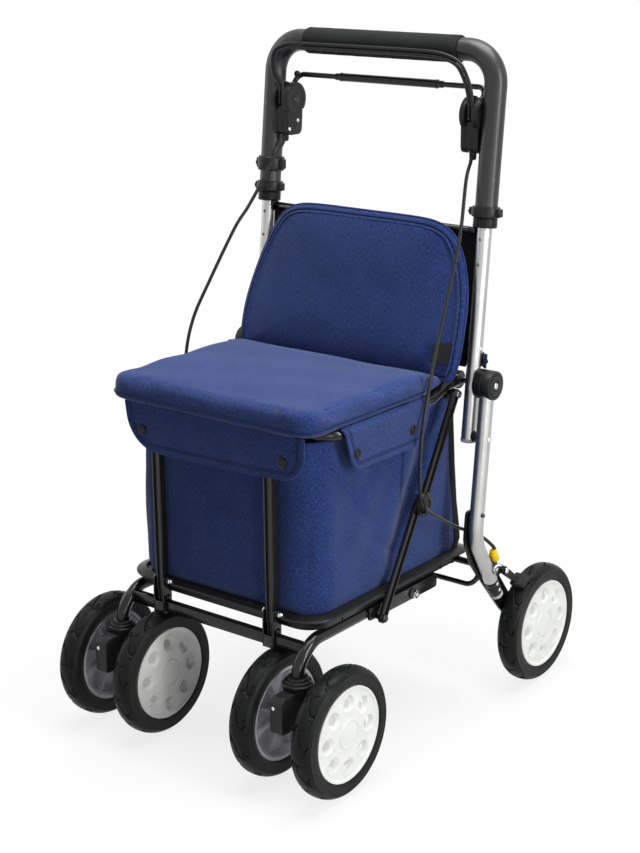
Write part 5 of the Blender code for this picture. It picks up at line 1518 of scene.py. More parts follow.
@dataclass
class Bag:
    """Shopping bag: lofted cloth shell with soft sides, black corner bindings and hem."""

    half_x: float = 0.1448
    front_y: float = -0.2088
    bottom_z: float = 0.207
    top_z: float = 0.4255
    front_corner: float = 0.044
    rear_corner: float = 0.011
    keep: float = 0.55
    # Creases of both sides: depth, slope, its level, place along, width, height and reach in height.
    creases: tuple[tuple[float, ...], ...] = ((0.0034, 0.9, 0.36, -0.15, 0.011, 0.36, 0.05),
                                              (0.003, -1.1, 0.37, 0.04, 0.012, 0.37, 0.05),
                                              (0.0022, 1.6, 0.26, -0.06, 0.013, 0.25, 0.04),
                                              (0.004, -0.7, 0.33, -0.12, 0.013, 0.4, 0.04))
    columns: int = 320
    rows: int = 72
    rear: tuple[Pair, ...] = mm(207, 115, 222, 114.5, 240, 112, 275.6, 104.5, 330, 97.8, 390, 94.8, 405, 95.5, 415,
                                101, 425.5, 109)

    def rear_y(self, z: float) -> float:
        """Rear face's y at a height."""
        return float(np.interp(z, *zip(*self.rear)))

    def swell(self, x: float, y: float, z: float) -> float:
        """How far the cloth stands out or sinks at a spot.

        Args:
            x: Place across.
            y: Place along.
            z: Height.

        Returns:
            Distance outward in metres.
        """
        t = (z - self.bottom_z) / (self.top_z - self.bottom_z)
        belly = math.sin(math.pi * min(max(t, 0), 1)) ** 0.8
        if abs(x) > self.half_x - 0.012:
            out = 0.003 * belly * (0.6 + 0.4 * math.sin(9 * y + 1.1 * (1 if x > 0 else -1)))
            lean = y - (0.04 - 0.1 * (1 - t))
            out -= 0.0062 * bump(lean, 0.0, 0.017) * step(0.05, 0.3, t) * (1 - 0.5 * step(0.7, 1.0, t))
            for depth, slope, level, along, width, height, reach in self.creases:
                out -= depth * bump(y + slope * (z - level), along, width) * bump(z, height, reach)
            out += 0.0016 * bump(lean, -0.04, 0.022) * belly
            out += 0.001 * math.sin(52 * y + 24 * z) * bump(z, 0.395, 0.04)
            out += 0.0006 * math.sin(85 * y - 45 * z) * belly
            return out * step(0.0, 0.03, self.rear_y(z) - y)
        face = 0.0016 * belly * math.cos(math.pi * x / 0.29) if y < 0 else 0.006 * belly * math.cos(math.pi * x / 0.29)
        face -= 0.0018 * belly * (bump(x, POST_X, 0.016) + bump(x, -POST_X, 0.016)) if y < 0 else 0.0
        return face + 0.0007 * math.sin(70 * x + 30 * z) * belly

    def plan(self, z: float, grow: float = 0.0) -> list[Pair]:
        """Plan of the bag at a height, grown outward by a distance.

        Args:
            z: Height.
            grow: Distance outward.

        Returns:
            Points of the plan.
        """
        t = (z - self.bottom_z) / (self.top_z - self.bottom_z)
        foot = 1 - step(0.0, 0.075, t)
        half = self.half_x - 0.0022 * step(0.5, 1.0, t) - 0.003 * foot + grow
        low, high = self.front_y + 0.0065 * foot - grow, self.rear_y(z) - 0.003 * foot + grow
        return round_box(half, low, high, self.front_corner - 0.006 * foot, 16, self.rear_corner)

    def outline(self, z: float) -> list[tuple[Vector, Vector]]:
        """Evenly spaced points and outward directions of the plan at a height.

        Args:
            z: Height.

        Returns:
            Points, each with its direction.
        """
        plan = even(self.plan(z), self.columns)
        points = []
        for i, (x, y) in enumerate(plan):
            way = (Vector(plan[(i + 1) % len(plan)]) - Vector(plan[i - 1])).normalized()
            points.append((Vector((x, y)), Vector((way.y, -way.x))))
        return points

    def shell(self) -> Piece:
        """Wall and floor of the bag with its bulges and creases.

        Returns:
            The closed shell.
        """
        rings = []
        for j in range(self.rows):
            t = j / (self.rows - 1)
            z = self.bottom_z + (self.top_z - self.bottom_z) * t
            ring = []
            for spot, out in self.outline(z):
                soft = self.swell(spot.x, spot.y, z) * step(0.0, 0.1, t) * (1 - 0.8 * step(0.93, 1.0, t))
                ring.append((spot.x + out.x * soft, spot.y + out.y * soft, z))
            rings.append(ring)
        floor = [[(x * 0.9, y * 0.9 - 0.004, self.bottom_z) for x, y, z in rings[0]]]
        bag = loft("bag_shell", [*floor, *rings], CLOTH_SMOOTH, False)
        bm = bmesh.new()
        bm.from_mesh(bag.data)
        low = [e for e in bm.edges if e.is_boundary and e.verts[0].co.z < self.bottom_z + 0.001]
        bmesh.ops.holes_fill(bm, edges=low, sides=0)
        bm.to_mesh(bag.data)
        bm.free()
        return thicken(bag, 0.0016, -1)

    def binding(self, side: Side) -> Piece:
        """Black tape folded round one rear corner from the tray to the hem.

        Args:
            side: Left or right.

        Returns:
            The tape.
        """
        rows = []
        for j in range(40):
            z = self.bottom_z + (self.top_z - self.bottom_z) * (0.02 + 0.965 * j / 39)
            start = self.rear_y(z) - 0.5 * self.rear_corner - 0.02
            corner = [p for p in self.plan(z, 0.0012) if p[1] > start and side.x(p[0]) > 0]
            corner.sort(key=lambda p: p[1] - side.x(p[0]))
            first, last = corner[0], corner[-1]
            strip = [(first[0], first[1] - 0.0085), (first[0] + side.x(0.0004), first[1] - 0.008), *corner,
                     (last[0] - side.x(0.008), last[1])]
            rows.append([(x, y, z) for x, y in strip])
        return cloth_of("bag_binding_" + side.label, rows, 0.0014)

    def build(self) -> None:
        """Make the bag, its bindings and the hem."""
        bag = settle(self.shell(), NAVY, "base", "shopping_bag")
        self.soften(bag)
        for side in Side:
            self.soften(settle(self.binding(side), BLACK_CLOTH, "base"))
        rim = [(p.x - n.x * 0.0008, p.y - n.y * 0.0008, self.top_z - 0.0035) for p, n in self.outline(self.top_z)]
        hem = sweep("bag_hem", rim, oval(0.0016, 0.0042), loop=True)
        self.soften(settle(hem, NAVY_TRIM, "base"))

    def soften(self, piece: Piece) -> None:
        """Give a cloth piece of the bag a mesh of its own."""
        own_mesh(piece)


@dataclass
class Cushion:
    """Boxed seat cushion: crowned top, puffed sides, thick piping, seam lines and the soft tail over its hinge."""

    half_x: float = 0.1615
    front_y: float = -0.239
    rear_y: float = 0.009
    bottom_z: float = 0.4425
    height: float = 0.0312
    front_corner: float = 0.029
    rear_corner: float = 0.012
    side: tuple[Pair, ...] = mm(12, 0, 5, 0, 2, 0.6, 0.4, 2, 0, 3.8, 0.6, 5.6, 2.2, 7, 2.8, 7.8, 2, 9.2, 1.2, 11.5,
                                1.2, 15, 2, 18)

    @property
    def middle(self) -> float:
        """Half-way between front and rear."""
        return (self.front_y + self.rear_y) / 2

    def top(self, x: float, y: float) -> float:
        """Height of the top face over the bottom at a place.

        Args:
            x: Place across.
            y: Place along.

        Returns:
            Height in metres.
        """
        u, v = x / self.half_x, (y - self.middle) / ((self.rear_y - self.front_y) / 2)
        crown = 0.0034 * (1 - u * u) * (1 - v * v)
        puckers = 0.0007 * math.sin(31 * u + 9 * v) * (1 - bump(u, 0.0, 0.75)) * (1 - bump(v, 0.0, 0.75))
        ripple = 0.0006 * math.sin(5.2 * u + 3.0 * v + 0.8) + 0.0005 * math.sin(8.5 * v - 4.0 * u)
        seam = -0.001 * (bump(u, 0.925, 0.01) + bump(u, -0.925, 0.01))
        return self.height - 0.003 + crown + puckers + ripple + seam

    def ring(self, inset: float, height: float | None, share: float = 1.0) -> list[Vector]:
        """Ring of the cushion.

        Args:
            inset: Distance inside the outline.
            height: Height above the bottom, or the top's own height if left out.
            share: Way from the shoulder's height to the top's own, for the rounded edge.

        Returns:
            Points of the ring.
        """
        front, rear = max(self.front_corner - inset, 0.004), max(self.rear_corner - inset, 0.003)
        ring = []
        plan = round_box(self.half_x - inset, self.front_y + inset, self.rear_y - inset, front, 10, rear)
        for x, y in even(plan, 300):
            level = height
            if level is None:
                low = 0.018
                level = low + (self.top(x, y) - low) * share
            elif 0.006 < level < 0.0181:
                wave = 0.0007 * math.sin(46 * x + 39 * y)
                x, y = x * (1 - wave / 0.15), self.middle + (y - self.middle) * (1 - wave / 0.15)
            ring.append(Vector((x, y, self.bottom_z + level)))
        return ring

    def body(self) -> Piece:
        """Closed form of the cushion.

        Returns:
            The form.
        """
        rings = [self.ring(inset, height) for inset, height in self.side]
        for angle in np.linspace(0.2, math.pi / 2, 7):
            rings.append(self.ring(0.002 + 0.0085 * (1 - math.cos(angle)), None, math.sin(angle)))
        insets = (0.011, 0.0118, 0.0126, 0.016, 0.026, 0.04, 0.056, 0.074, 0.092, 0.108, 0.118)
        rings += [self.ring(inset, None) for inset in insets]
        return loft("cushion_form", rings, CLOTH_SMOOTH)

    def seams(self) -> None:
        """Stitched line over the piping and the seams along both edges of the top."""
        settle(sweep("cushion_foot_seam", self.ring(0.002, 0.0078), disc(0.0007, 8), loop=True), THREAD, "lid")
        for side in Side:
            x = side.x(0.925 * self.half_x)
            ends = self.front_y + 0.027, self.rear_y - 0.016
            route = [(x, y, self.bottom_z + self.top(x, y)) for y in np.linspace(*ends, 48)]
            settle(sweep("cushion_top_seam_" + side.label, route, disc(0.0007, 8)), THREAD, "lid")

    def tail(self) -> None:
        """Soft tail of the cushion's cover that slopes down behind it under the backrest."""
        rings = []
        for y in (-0.0045, 0.001, 0.006, 0.012, 0.02, 0.028, 0.036, 0.043, 0.047, 0.049):
            t = (y + 0.0045) / 0.0535
            half = 0.158 - 0.0035 * t - 0.0015 * step(0.85, 1.0, t)
            high = 0.471 - 0.0145 * t ** 1.6 - 0.0015 * step(0.85, 1.0, t)
            low = 0.4436 + 0.0072 * t * t
            section = even(round_box(half, low, high, 0.48 * min(high - low, 0.012), 8), 220)
            wave = 0.0006 * step(0.0, 0.2, t)
            rings.append([(x, y + 0.0008 * math.sin(60 * x), z + wave * math.sin(48 * x + 90 * y))
                          for x, z in section])
        piece = settle(loft("cushion_tail", rings, CLOTH_SMOOTH), NAVY, "seat")
        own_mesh(piece)

    def build(self) -> None:
        """Make the cushion, its sewn lines and its tail."""
        piece = self.body()
        puff(piece, 0.0025, 0.004)
        settle(piece, NAVY, "lid", "seat_cushion")
        self.seams()
        self.tail()


def even(outline: Outline, count: int) -> list[Pair]:
    """Same outline with a fixed number of evenly spaced points.

    Args:
        outline: Closed outline.
        count: Number of points.

    Returns:
        Points of the outline.
    """
    lengths = [math.dist(p, outline[(i + 1) % len(outline)]) for i, p in enumerate(outline)]
    whole = sum(lengths)
    points = []
    index, passed = 0, 0.0
    for k in range(count):
        at = whole * k / count
        while passed + lengths[index] < at:
            passed += lengths[index]
            index += 1
        t = (at - passed) / lengths[index]
        (x, y), (u, v) = outline[index], outline[(index + 1) % len(outline)]
        points.append((x + (u - x) * t, y + (v - y) * t))
    return points


PRESSURE, CLOTH_QUALITY, CLOTH_STEPS = 4.0, 6, 16


def puff(piece: Piece, most: float, voxel: float) -> None:
    """Swell a padded form with a short cloth simulation, kept near its first shape.

    Args:
        piece: Closed form, made a little small.
        most: Furthest that a point may move.
        voxel: Size of the remesh.
    """
    remesh = piece.modifiers.new("remesh", "REMESH")
    remesh.mode = "VOXEL"
    remesh.voxel_size = voxel
    baked(piece, CLOTH_SMOOTH)
    rest = np.array([v.co for v in piece.data.vertices])
    cloth = piece.modifiers.new("cloth", "CLOTH")
    cloth.settings.use_pressure = True
    cloth.settings.uniform_pressure_force = PRESSURE
    cloth.settings.effector_weights.gravity = 0.0
    cloth.settings.quality = CLOTH_QUALITY
    scene = bpy.context.scene
    for number in range(1, CLOTH_STEPS + 1):
        scene.frame_set(number)
    baked(piece, CLOTH_SMOOTH)
    scene.frame_set(1)
    now = np.array([v.co for v in piece.data.vertices])
    shift = now - rest
    length = np.linalg.norm(shift, axis=1, keepdims=True)
    share = np.minimum(1.0, most / np.maximum(length, 1e-9))
    for vertex, place in zip(piece.data.vertices, rest + shift * share):
        vertex.co = place
    fine = piece.modifiers.new("fine", "SUBSURF")
    fine.levels = fine.render_levels = 1
    baked(piece, CLOTH_SMOOTH)


@dataclass
class Flap:
    """Cloth flap hanging from the seat, with rounded corners, a piped border and snaps."""

    name: str
    node: str
    place: Callable[[float, float, float], Vector]
    top: Pair
    bottom: Pair
    heights: Pair
    corners: Pair
    folds: float
    snaps: tuple[Pair, ...]
    thickness: float = 0.002
    columns: int = 96
    rows: int = 30

    def edge(self, drop: float) -> Pair:
        """Left and right ends of the flap at a share of its drop.

        Args:
            drop: Share of the drop.

        Returns:
            Both ends.
        """
        left = self.top[0] + (self.bottom[0] - self.top[0]) * drop
        right = self.top[1] + (self.bottom[1] - self.top[1]) * drop
        high = self.heights[0] - self.heights[1]
        ends = []
        for edge, radius, way in ((left, self.corners[0], 1), (right, self.corners[1], -1)):
            below = radius - (1 - drop) * high
            inset = radius - math.sqrt(max(radius * radius - below * below, 0.0)) if below > 0 else 0.0
            ends.append(edge + way * min(inset, radius))
        return ends[0], ends[1]

    def spot(self, s: float, drop: float, out: float = 0.0) -> Vector:
        """Point of the flap for a share across and down.

        Args:
            s: Share across.
            drop: Share down.
            out: Distance in front of the cloth.

        Returns:
            The point.
        """
        left, right = self.edge(drop)
        w = left + (right - left) * s
        z = self.heights[0] + (self.heights[1] - self.heights[0]) * drop
        fold = 0.0011 * drop * (1 - math.cos(self.folds * w)) + 0.0006 * drop * math.sin(2.3 * self.folds * w + 1.2)
        return self.place(w, z, fold + out)

    def drops(self) -> list[float]:
        """Shares down the flap, closer together toward the round corners."""
        return [1 - (1 - k / self.rows) ** 1.6 for k in range(self.rows + 1)]

    def build(self) -> None:
        """Make the cloth, the border, its stitches and the snaps."""
        rows = [[self.spot(i / self.columns, d) for i in range(self.columns + 1)] for d in self.drops()]
        cloth = cloth_of(self.name, rows, self.thickness)
        settle(cloth, NAVY, "seat", self.node)
        drop = self.heights[0] - self.heights[1]
        area = (self.top[1] - self.top[0] + self.bottom[1] - self.bottom[0]) / 2 * drop
        area -= 0.215 * (self.corners[0] ** 2 + self.corners[1] ** 2)
        border = settle(self.line(0.0, 0.0021, 0.0015), NAVY_TRIM, "seat")
        border.name = self.name + "_border"
        buttons = []
        for w, z in self.snaps:
            base = self.place(w, z, 0.0018)
            axis = (self.place(w, z, 0.01) - base).normalized()
            snap = Fastener(f"{self.name}_snap_{len(buttons)}", tuple(base), tuple(axis), 0.0064, 0.0026, Head.SNAP,
                            "seat", PLASTIC).build()
            buttons.append(snap)
        stitches = []
        for inset in (0.0062, 0.0088):
            stitch = settle(self.line(inset, 0.00045, 0.00045, 0.0009), THREAD, "seat")
            stitch.name = f"{self.name}_stitch_{len(stitches)}"
            stitches.append(stitch)

    def line(self, inset: float, wide: float, thick: float, out: float = 0.0) -> Piece:
        """Cord that follows the sides and the foot of the flap at an inset.

        Args:
            inset: Distance from the edge.
            wide: Half-width of the cord.
            thick: Half-thickness of the cord.
            out: Distance in front of the cloth.

        Returns:
            The cord.
        """
        high = self.heights[0] - self.heights[1]
        route = []
        keep = 1 - inset / high
        shares = [d * keep for d in self.drops()]
        for d in shares:
            left, right = self.edge(d)
            route.append(self.spot(inset / (right - left), d))
        left, right = self.edge(keep)
        for k in range(1, 48):
            route.append(self.spot(inset / (right - left) + (1 - 2 * inset / (right - left)) * k / 48, keep))
        for d in reversed(shares):
            left, right = self.edge(d)
            route.append(self.spot(1 - inset / (right - left), d))
        tidy_route = [route[0]]
        for p in route[1:]:
            if (p - tidy_route[-1]).length > 0.0012:
                tidy_route.append(p)
        up = (self.place(0, 0.4, 1) - self.place(0, 0.4, 0)).normalized()
        tidy_route = [p + up * out for p in tidy_route]
        return sweep("cord", tidy_route, oval(wide, thick, 10), tuple(up))


def make_flaps() -> None:
    """Front flap over the posts, and the side flaps that wrap the rails of the seat frame."""

    def front(w: float, z: float, out: float) -> Vector:
        """Spot of the front flap."""
        drop = 0.442 - z
        return Vector((w, -0.23 - 0.9 * out - 0.012 * drop, z + 0.1 * drop * max(w / 0.147, 0.0)))

    def beside(side: Side) -> Callable[[float, float, float], Vector]:
        """Way of placing the spots of one side flap."""

        def spot(w: float, z: float, out: float) -> Vector:
            """Spot of the side flap, wrapped over the rail."""
            over = max(z - SEAT_TUBE_Z, 0.0)
            return Vector(
                (side.x(0.1519 + math.sqrt(0.0092 ** 2 - over ** 2) + (1.0 if out > 0.0029 else 0.3) * out), w, z)
            )

        return spot

    Flap("front_flap_cloth", "front_flap", front, (-0.1305, 0.147), (-0.121, 0.147), (0.442, 0.385), (0.04, 0.032),
         44.0, ((-0.102, 0.4085), (0.118, 0.4065))).build()
    for side in Side:
        Flap("side_flap_cloth_" + side.label, "side_flap_" + side.label, beside(side), (-0.169, 0.0055),
             (-0.15, -0.003), (0.4422, 0.387), (0.016, 0.026), 60.0, ((-0.1457, 0.4074), (-0.03, 0.4085))).build()


@dataclass
class Backrest:
    """Bar, cloth panel and quilted pad with its border stitch, tag and straps."""

    outline: tuple[Pair, ...] = mm(0, 647.8, 60, 647.5, 98.5, 645.7, 120, 640.5, 135.5, 631, 145.5, 618.5, 155.2,
                                   601, 164.6, 575, 171, 548, 174.5, 520, 175.6, 495, 174.5, 473, 170, 459, 159,
                                   454, 80, 453, 0, 452.7)
    middle: Pair = (0.0, 0.552)
    points: int = 240
    # Edge of the pad from back to front: inset and distance in front of the middle plane.
    border: tuple[Pair, ...] = mm(1.2, -5.5, 0.2, -5, 0, -4, 0.6, -2.8, 2.4, -0.8, 4, 0.8, 5.6, 0.8, 6.6, -0.6, 9.2,
                                  2.4)

    @staticmethod
    def plane(z: float) -> float:
        """Y of the pad's middle plane at a height."""
        return 0.047 + 0.2057 * (z - 0.46) - 0.0065 * step(0.56, 0.455, z)

    def edge(self) -> list[Pair]:
        """Evenly spaced outline of the pad, both halves.

        Returns:
            Pairs of x and z.
        """
        right = [(p.x, p.y) for p in flowing([(x, z, 0) for x, z in self.outline], 6)]
        left = [(-x, z) for x, z in reversed(right)][1:-1]
        return even([*right, *left], self.points)

    def ring(self, inset: float, f: float, rise: Callable[[float, float], float]) -> list[Vector]:
        """Ring of the pad at an inset or a scale, set at a depth.

        Args:
            inset: Distance inside the outline.
            f: Scale toward the middle.
            rise: Distance in front of the middle plane for a place.

        Returns:
            Points of the ring.
        """
        edge = self.edge()
        cx, cz = self.middle
        ring = []
        for i, (x, z) in enumerate(edge):
            (a, b), (c, d) = edge[i - 1], edge[(i + 1) % len(edge)]
            way = Vector((c - a, d - b)).normalized()
            x, z = x + way.y * inset, z - way.x * inset
            x, z = cx + (x - cx) * f, cz + (z - cz) * f
            ring.append(Vector((x, self.plane(z) + self.curl(x, z) - rise(x, z), z)))
        return ring

    def level(self, inset: float, depth: float, f: float = 1) -> list[Vector]:
        """Ring at one distance in front of the middle plane."""
        return self.ring(inset, f, lambda x, z: depth)

    @staticmethod
    def curl(x: float, z: float) -> float:
        """How far the pad's upper corners bend back at a place."""
        return 0.0105 * (x / 0.17) ** 2 * step(0.5, 0.62, z)

    @staticmethod
    def face(f: float) -> Callable[[float, float], float]:
        """Height of the front face at a scale, with its soft vertical ripples.

        Args:
            f: Scale toward the middle.

        Returns:
            Height for a place.
        """

        def rise(x: float, z: float) -> float:
            """Height of the face at a place."""
            ripple = 0.00065 * math.sin(95 * x + 6 * z) * step(0.0, 0.09, x) + 0.0004 * math.sin(58 * x - 15 * z)
            ripple += 0.0011 * bump(x - 0.1 * (z - 0.5), 0.118, 0.012) * step(0.66, 0.5, z) if x > 0 else 0.0
            return -0.0035 + 0.0135 * (1 - f ** 3.2) ** 0.75 + ripple * (1 - f ** 6)

        return rise

    def pad(self) -> None:
        """Padded cushion with its border and stitches."""
        rings = [self.level(0, -0.0052 - 0.0002 * (1 - f), f) for f in (0.35, 0.7, 0.93)]
        rings += [self.level(inset, depth) for inset, depth in self.border]
        scales = (0.93, 0.89, 0.84, 0.78, 0.71, 0.63, 0.54, 0.44, 0.33, 0.22, 0.11)
        rings += [self.ring(0.0, f, self.face(f)) for f in scales]
        pad = loft("backrest_pad_form", rings, 70)
        settle(pad, NAVY, "rear_frame", "backrest_pad")
        seam = sweep("backrest_stitch", self.level(0.0066, -0.0003), oval(0.0009, 0.0007, 8), (0, -1, 0), True)
        stitch = settle(seam, THREAD, "rear_frame")
        rim = self.level(-0.0002, -0.0042)
        piping = settle(sweep("backrest_piping", rim, disc(0.0016, 10), loop=True), NAVY_TRIM, "rear_frame")
        rows = []
        for k, z in enumerate(np.linspace(0.4778, 0.5022, 8)):
            across = [0.1436 + 0.0225 * i / 6 + 0.0004 * (k - 3.5) for i in range(7)]
            rows.append([Vector((x, self.plane(z) - self.tag_rise(x), z)) for x in across])
        tag = cloth_of("blank_tag", rows, 0.0008)
        tag = settle(tag, BLACK_TAG, "rear_frame")
        for piece in (pad, stitch, piping, tag):
            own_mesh(piece)

    @staticmethod
    def tag_rise(x: float) -> float:
        """Distance of the blank tag in front of the middle plane."""
        return 0.0106 - 0.0065 * step(0.135, 0.166, x)

    def panel(self) -> None:
        """Cloth stretched between the uprights, its tabs and the bar in its hem."""
        rows = []
        for j in range(37):
            z = 0.466 + (0.631 - 0.466) * j / 36
            row = []
            for i in range(61):
                x = -0.1618 + 0.3236 * i / 60
                sag = 0.004 * math.cos(math.pi * x / 0.33) * math.sin(math.pi * j / 36)
                sag += 0.0004 * math.sin(150 * x + 40 * z)
                row.append((x, upright_y(z) - sag + 0.0006 * bump(x, 0.1618, 0.02), z))
            rows.append(row)
        cloth = settle(cloth_of("backrest_panel", rows, 0.0018), BLACK_CLOTH, "rear_frame", "back_panel")
        hems = []
        for z in (0.4672, 0.629):
            hem = sweep("panel_hem", [(x, upright_y(z), z) for x in np.linspace(-0.161, 0.161, 40)],
                        oval(0.0016, 0.0042), (0, 0, 1), nose=0.001)
            hem.name = f"panel_hem_{len(hems)}"
            hems.append(settle(hem, BLACK_CLOTH, "rear_frame"))
        for side in Side:
            x = side.x(0.09)
            y0, y1 = self.plane(0.61) + 0.0075, upright_y(0.61) - 0.0012
            outline = softened([(y0, -0.0145), (y1, -0.0145), (y1, 0.0145), (y0, 0.0145)], 0.002)
            turn = Matrix(((0, 1, 0, 0), (1, 0, 0, 0), (0, 0, -1, 0), (0, 0, 0, 1)))
            tab = prism("tab", outline, 0.0016, Matrix.Translation((x, 0, 0.6108)) @ turn, 0.0004)
            tab.name = "panel_tab_" + side.label
            hems.append(settle(tab, BLACK_CLOTH, "rear_frame"))
        bar = tube("backrest_bar", [(-0.1625, upright_y(0.6365), 0.6365), (0.1625, upright_y(0.6365), 0.6365)],
                   0.0045, 28, 0.001)
        flats = [lathe(f"bar_foot_{k}", mm(0, 0, 7.8, 0, 7.8, 1.6, 6, 2.6, 0, 2.6),
                       facing((k * 0.1632, upright_y(0.6365), 0.6365), (-k, 0, 0)), 24) for k in (-1, 1)]
        settle(merge("backrest_bar_welded", bar, *flats), STEEL, "rear_frame", "back_bar")

    def straps(self) -> None:
        """Navy strap from the pad round the back of each upright, its end held by a snap."""
        for side in Side:
            low, high = 0.4655, 0.4835
            across = [*mm(-30, 4, -22, 5.2, -15, 6.8)]
            across += [(0.0113 * math.cos(a), 0.0113 * math.sin(a)) for a in np.radians(np.linspace(145, 30, 14))]
            across += mm(12.8, 3.6, 15, 2.4, 17, 1.8)
            rows = [[(side.x(UPRIGHT_X + dx), upright_y(z) + dy + 0.0004 * math.sin(300 * dx + 200 * z), z)
                     for dx, dy in across] for z in np.linspace(low, high, 7)]
            band = settle(cloth_of("strap_band_" + side.label, rows, 0.0014), NAVY_TRIM, "rear_frame")
            z = 0.4745
            snap = Fastener("strap_snap_" + side.label, (side.x(UPRIGHT_X + 0.0152), upright_y(z) + 0.0017, z),
                            (side.x(0.55), -0.83, 0), 0.0036, 0.0018, Head.SNAP, "rear_frame", PLASTIC).build()

    def build(self) -> None:
        """Make the whole backrest."""
        self.pad()
        self.panel()
        self.straps()


# ---------------------------------------------------------------- links of the folding frame


@dataclass
class FrontPost:
    """Flat-oval grooved tube between the base bracket and the seat frame."""

    side: Side
    foot: Pair = POST_FOOT
    head: Pair = POST_HEAD
    x: float = POST_X

    def build(self) -> None:
        """Sweep the grooved section and flatten its ends to tangs."""
        x = self.side.x(self.x)
        section = mm(-6.3, -4.4, -5, -5.6, 5, -5.6, 6.3, -4.4, 6.3, 4.8, 5.6, 6, 4.3, 6.3, 3.4, 6, 3, 5, 2.7, 3.6,
                     -2.7, 3.6, -3, 5, -3.4, 6, -4.3, 6.3, -5.6, 6, -6.3, 4.8)
        (y0, z0), (y1, z1) = self.foot, self.head
        shares = (0.0, 0.01, 0.02, 0.04, 0.055, 0.07, 0.3, 0.6, 0.93, 0.945, 0.96, 0.98, 0.99, 1.0)
        route = [(x, y0 + (y1 - y0) * t, z0 - 0.0035 + (z1 - z0 + 0.007) * t) for t in shares]
        bar = sweep("post", route, section, (0, -1, 0), sharp=30)
        for vertex in bar.data.vertices:
            t = (vertex.co.z - z0) / (z1 - z0)
            narrow = 1 - 0.42 * max(1 - step(0.025, 0.075, t), step(0.955, 0.975, t))
            vertex.co.x = x + (vertex.co.x - x) * narrow
            centre = y0 + (y1 - y0) * t
            vertex.co.y = centre + (vertex.co.y - centre) * (1 - 0.1 * (1 - narrow))
        settle(bar, STEEL_SATIN, "posts", "front_post_" + self.side.label)


@dataclass
class Brace:
    """Two-part folding brace of channel bars with a plastic knuckle over the elbow."""

    side: Side
    head: Pair = BRACE_HEAD
    elbow: Pair = BRACE_ELBOW
    foot: Pair = BRACE_FOOT
    width: float = 0.013
    lower_x: Pair = (0.1582, 0.1637)
    upper_x: Pair = (0.164, 0.1695)

    def channel(self, name: str, start: Pair, end: Pair, x_range: Pair) -> list[Piece]:
        """Plate with round ends and the raised lips along its outer face.

        Args:
            name: Start of its name.
            start: One pivot.
            end: Other pivot.
            x_range: Inner and outer face.

        Returns:
            The plate and its lip.
        """
        a, b = Vector(start), Vector(end)
        way = (b - a).normalized()
        across = Vector((-way.y, way.x))
        inner, outer = self.side.x(x_range[0]), self.side.x(x_range[1])

        def stadium(radius: float, steps: int = 10) -> list[Pair]:
            """Outline of two half-circles round the ends.

            Args:
                radius: Radius.
                steps: Points in each half-circle.

            Returns:
                Points of the outline.
            """
            points = []
            for centre, turn in ((b, 1), (a, -1)):
                for i in range(steps + 1):
                    angle = math.pi * (i / steps - 0.5)
                    spot = centre + (way * math.cos(angle) + across * math.sin(angle)) * radius * turn
                    points.append((spot.x, spot.y))
            return points

        web = prism(name + "_web", stadium(self.width / 2 - 0.0002), 0.003,
                    in_side_view(inner + self.side.value * 0.0015), 0.0004)
        middle = (inner + outer) / 2
        loop = divided(stadium(self.width / 2 - 0.0011), 0.02)
        section = mm(1.1, -2.6, 1.1, 2, 0.7, 2.6, -0.7, 2.6, -1.1, 2, -1.1, -2.6)
        lip = sweep(name + "_lip", [(middle, y, z) for y, z in loop], section, (self.side.value, 0, 0), loop=True,
                    sharp=30)
        return [web, lip]

    def build(self) -> None:
        """Make both bars, the knuckle and the pivots."""
        s, label = self.side, self.side.label
        upper = self.channel("upper", self.head, self.elbow, self.upper_x)
        settle(merge("brace_channel_upper_" + label, *upper), STEEL, "upper_braces", "brace_upper_" + label)
        lower = self.channel("lower", self.elbow, self.foot, self.lower_x)
        settle(merge("brace_channel_lower_" + label, *lower), STEEL, "lower_braces", "brace_lower_" + label)
        profile = mm(0, 0, 14.7, 0, 15.5, 0.8, 15.5, 4, 14.8, 5.2, 12.8, 5.6, 12, 6.6, 9.8, 7.4, 7.4, 7.4, 6.8, 6.2,
                     3.6, 6, 3, 7, 0, 7.2)
        knuckle = lathe("knuckle", profile, facing((s.x(0.1672), *self.elbow), (s.value, 0, 0)), 40, 30)
        fins = [prism(f"fin_{k}", softened(mm(-0.8, 8.2, 0.8, 8.2, 0.8, 15, -0.8, 15), 0.0004, 2), 0.0016,
                      facing((s.x(0.1726), *self.elbow), (s.value, 0, 0), k * math.pi / 3), 0.0003)
                for k in range(6)]
        guide = bent([(s.x(0.169), -0.033, 0.3255), (s.x(0.1815), -0.033, 0.3255), (s.x(0.1815), -0.025, 0.3035),
                      (s.x(0.169), -0.02, 0.2985)], 0.004, 5)
        hook = tube("guide", guide, 0.0013, 12, 0.0006)
        settle(merge("brace_knuckle_" + label, knuckle, *fins, hook), PLASTIC, "upper_braces")
        y, z = self.head
        Fastener("brace_head_nut_" + label, (s.x(0.1694), y, z), (s.value, 0, 0), 0.005, 0.004, Head.HEX_NUT,
                 "upper_braces").build()


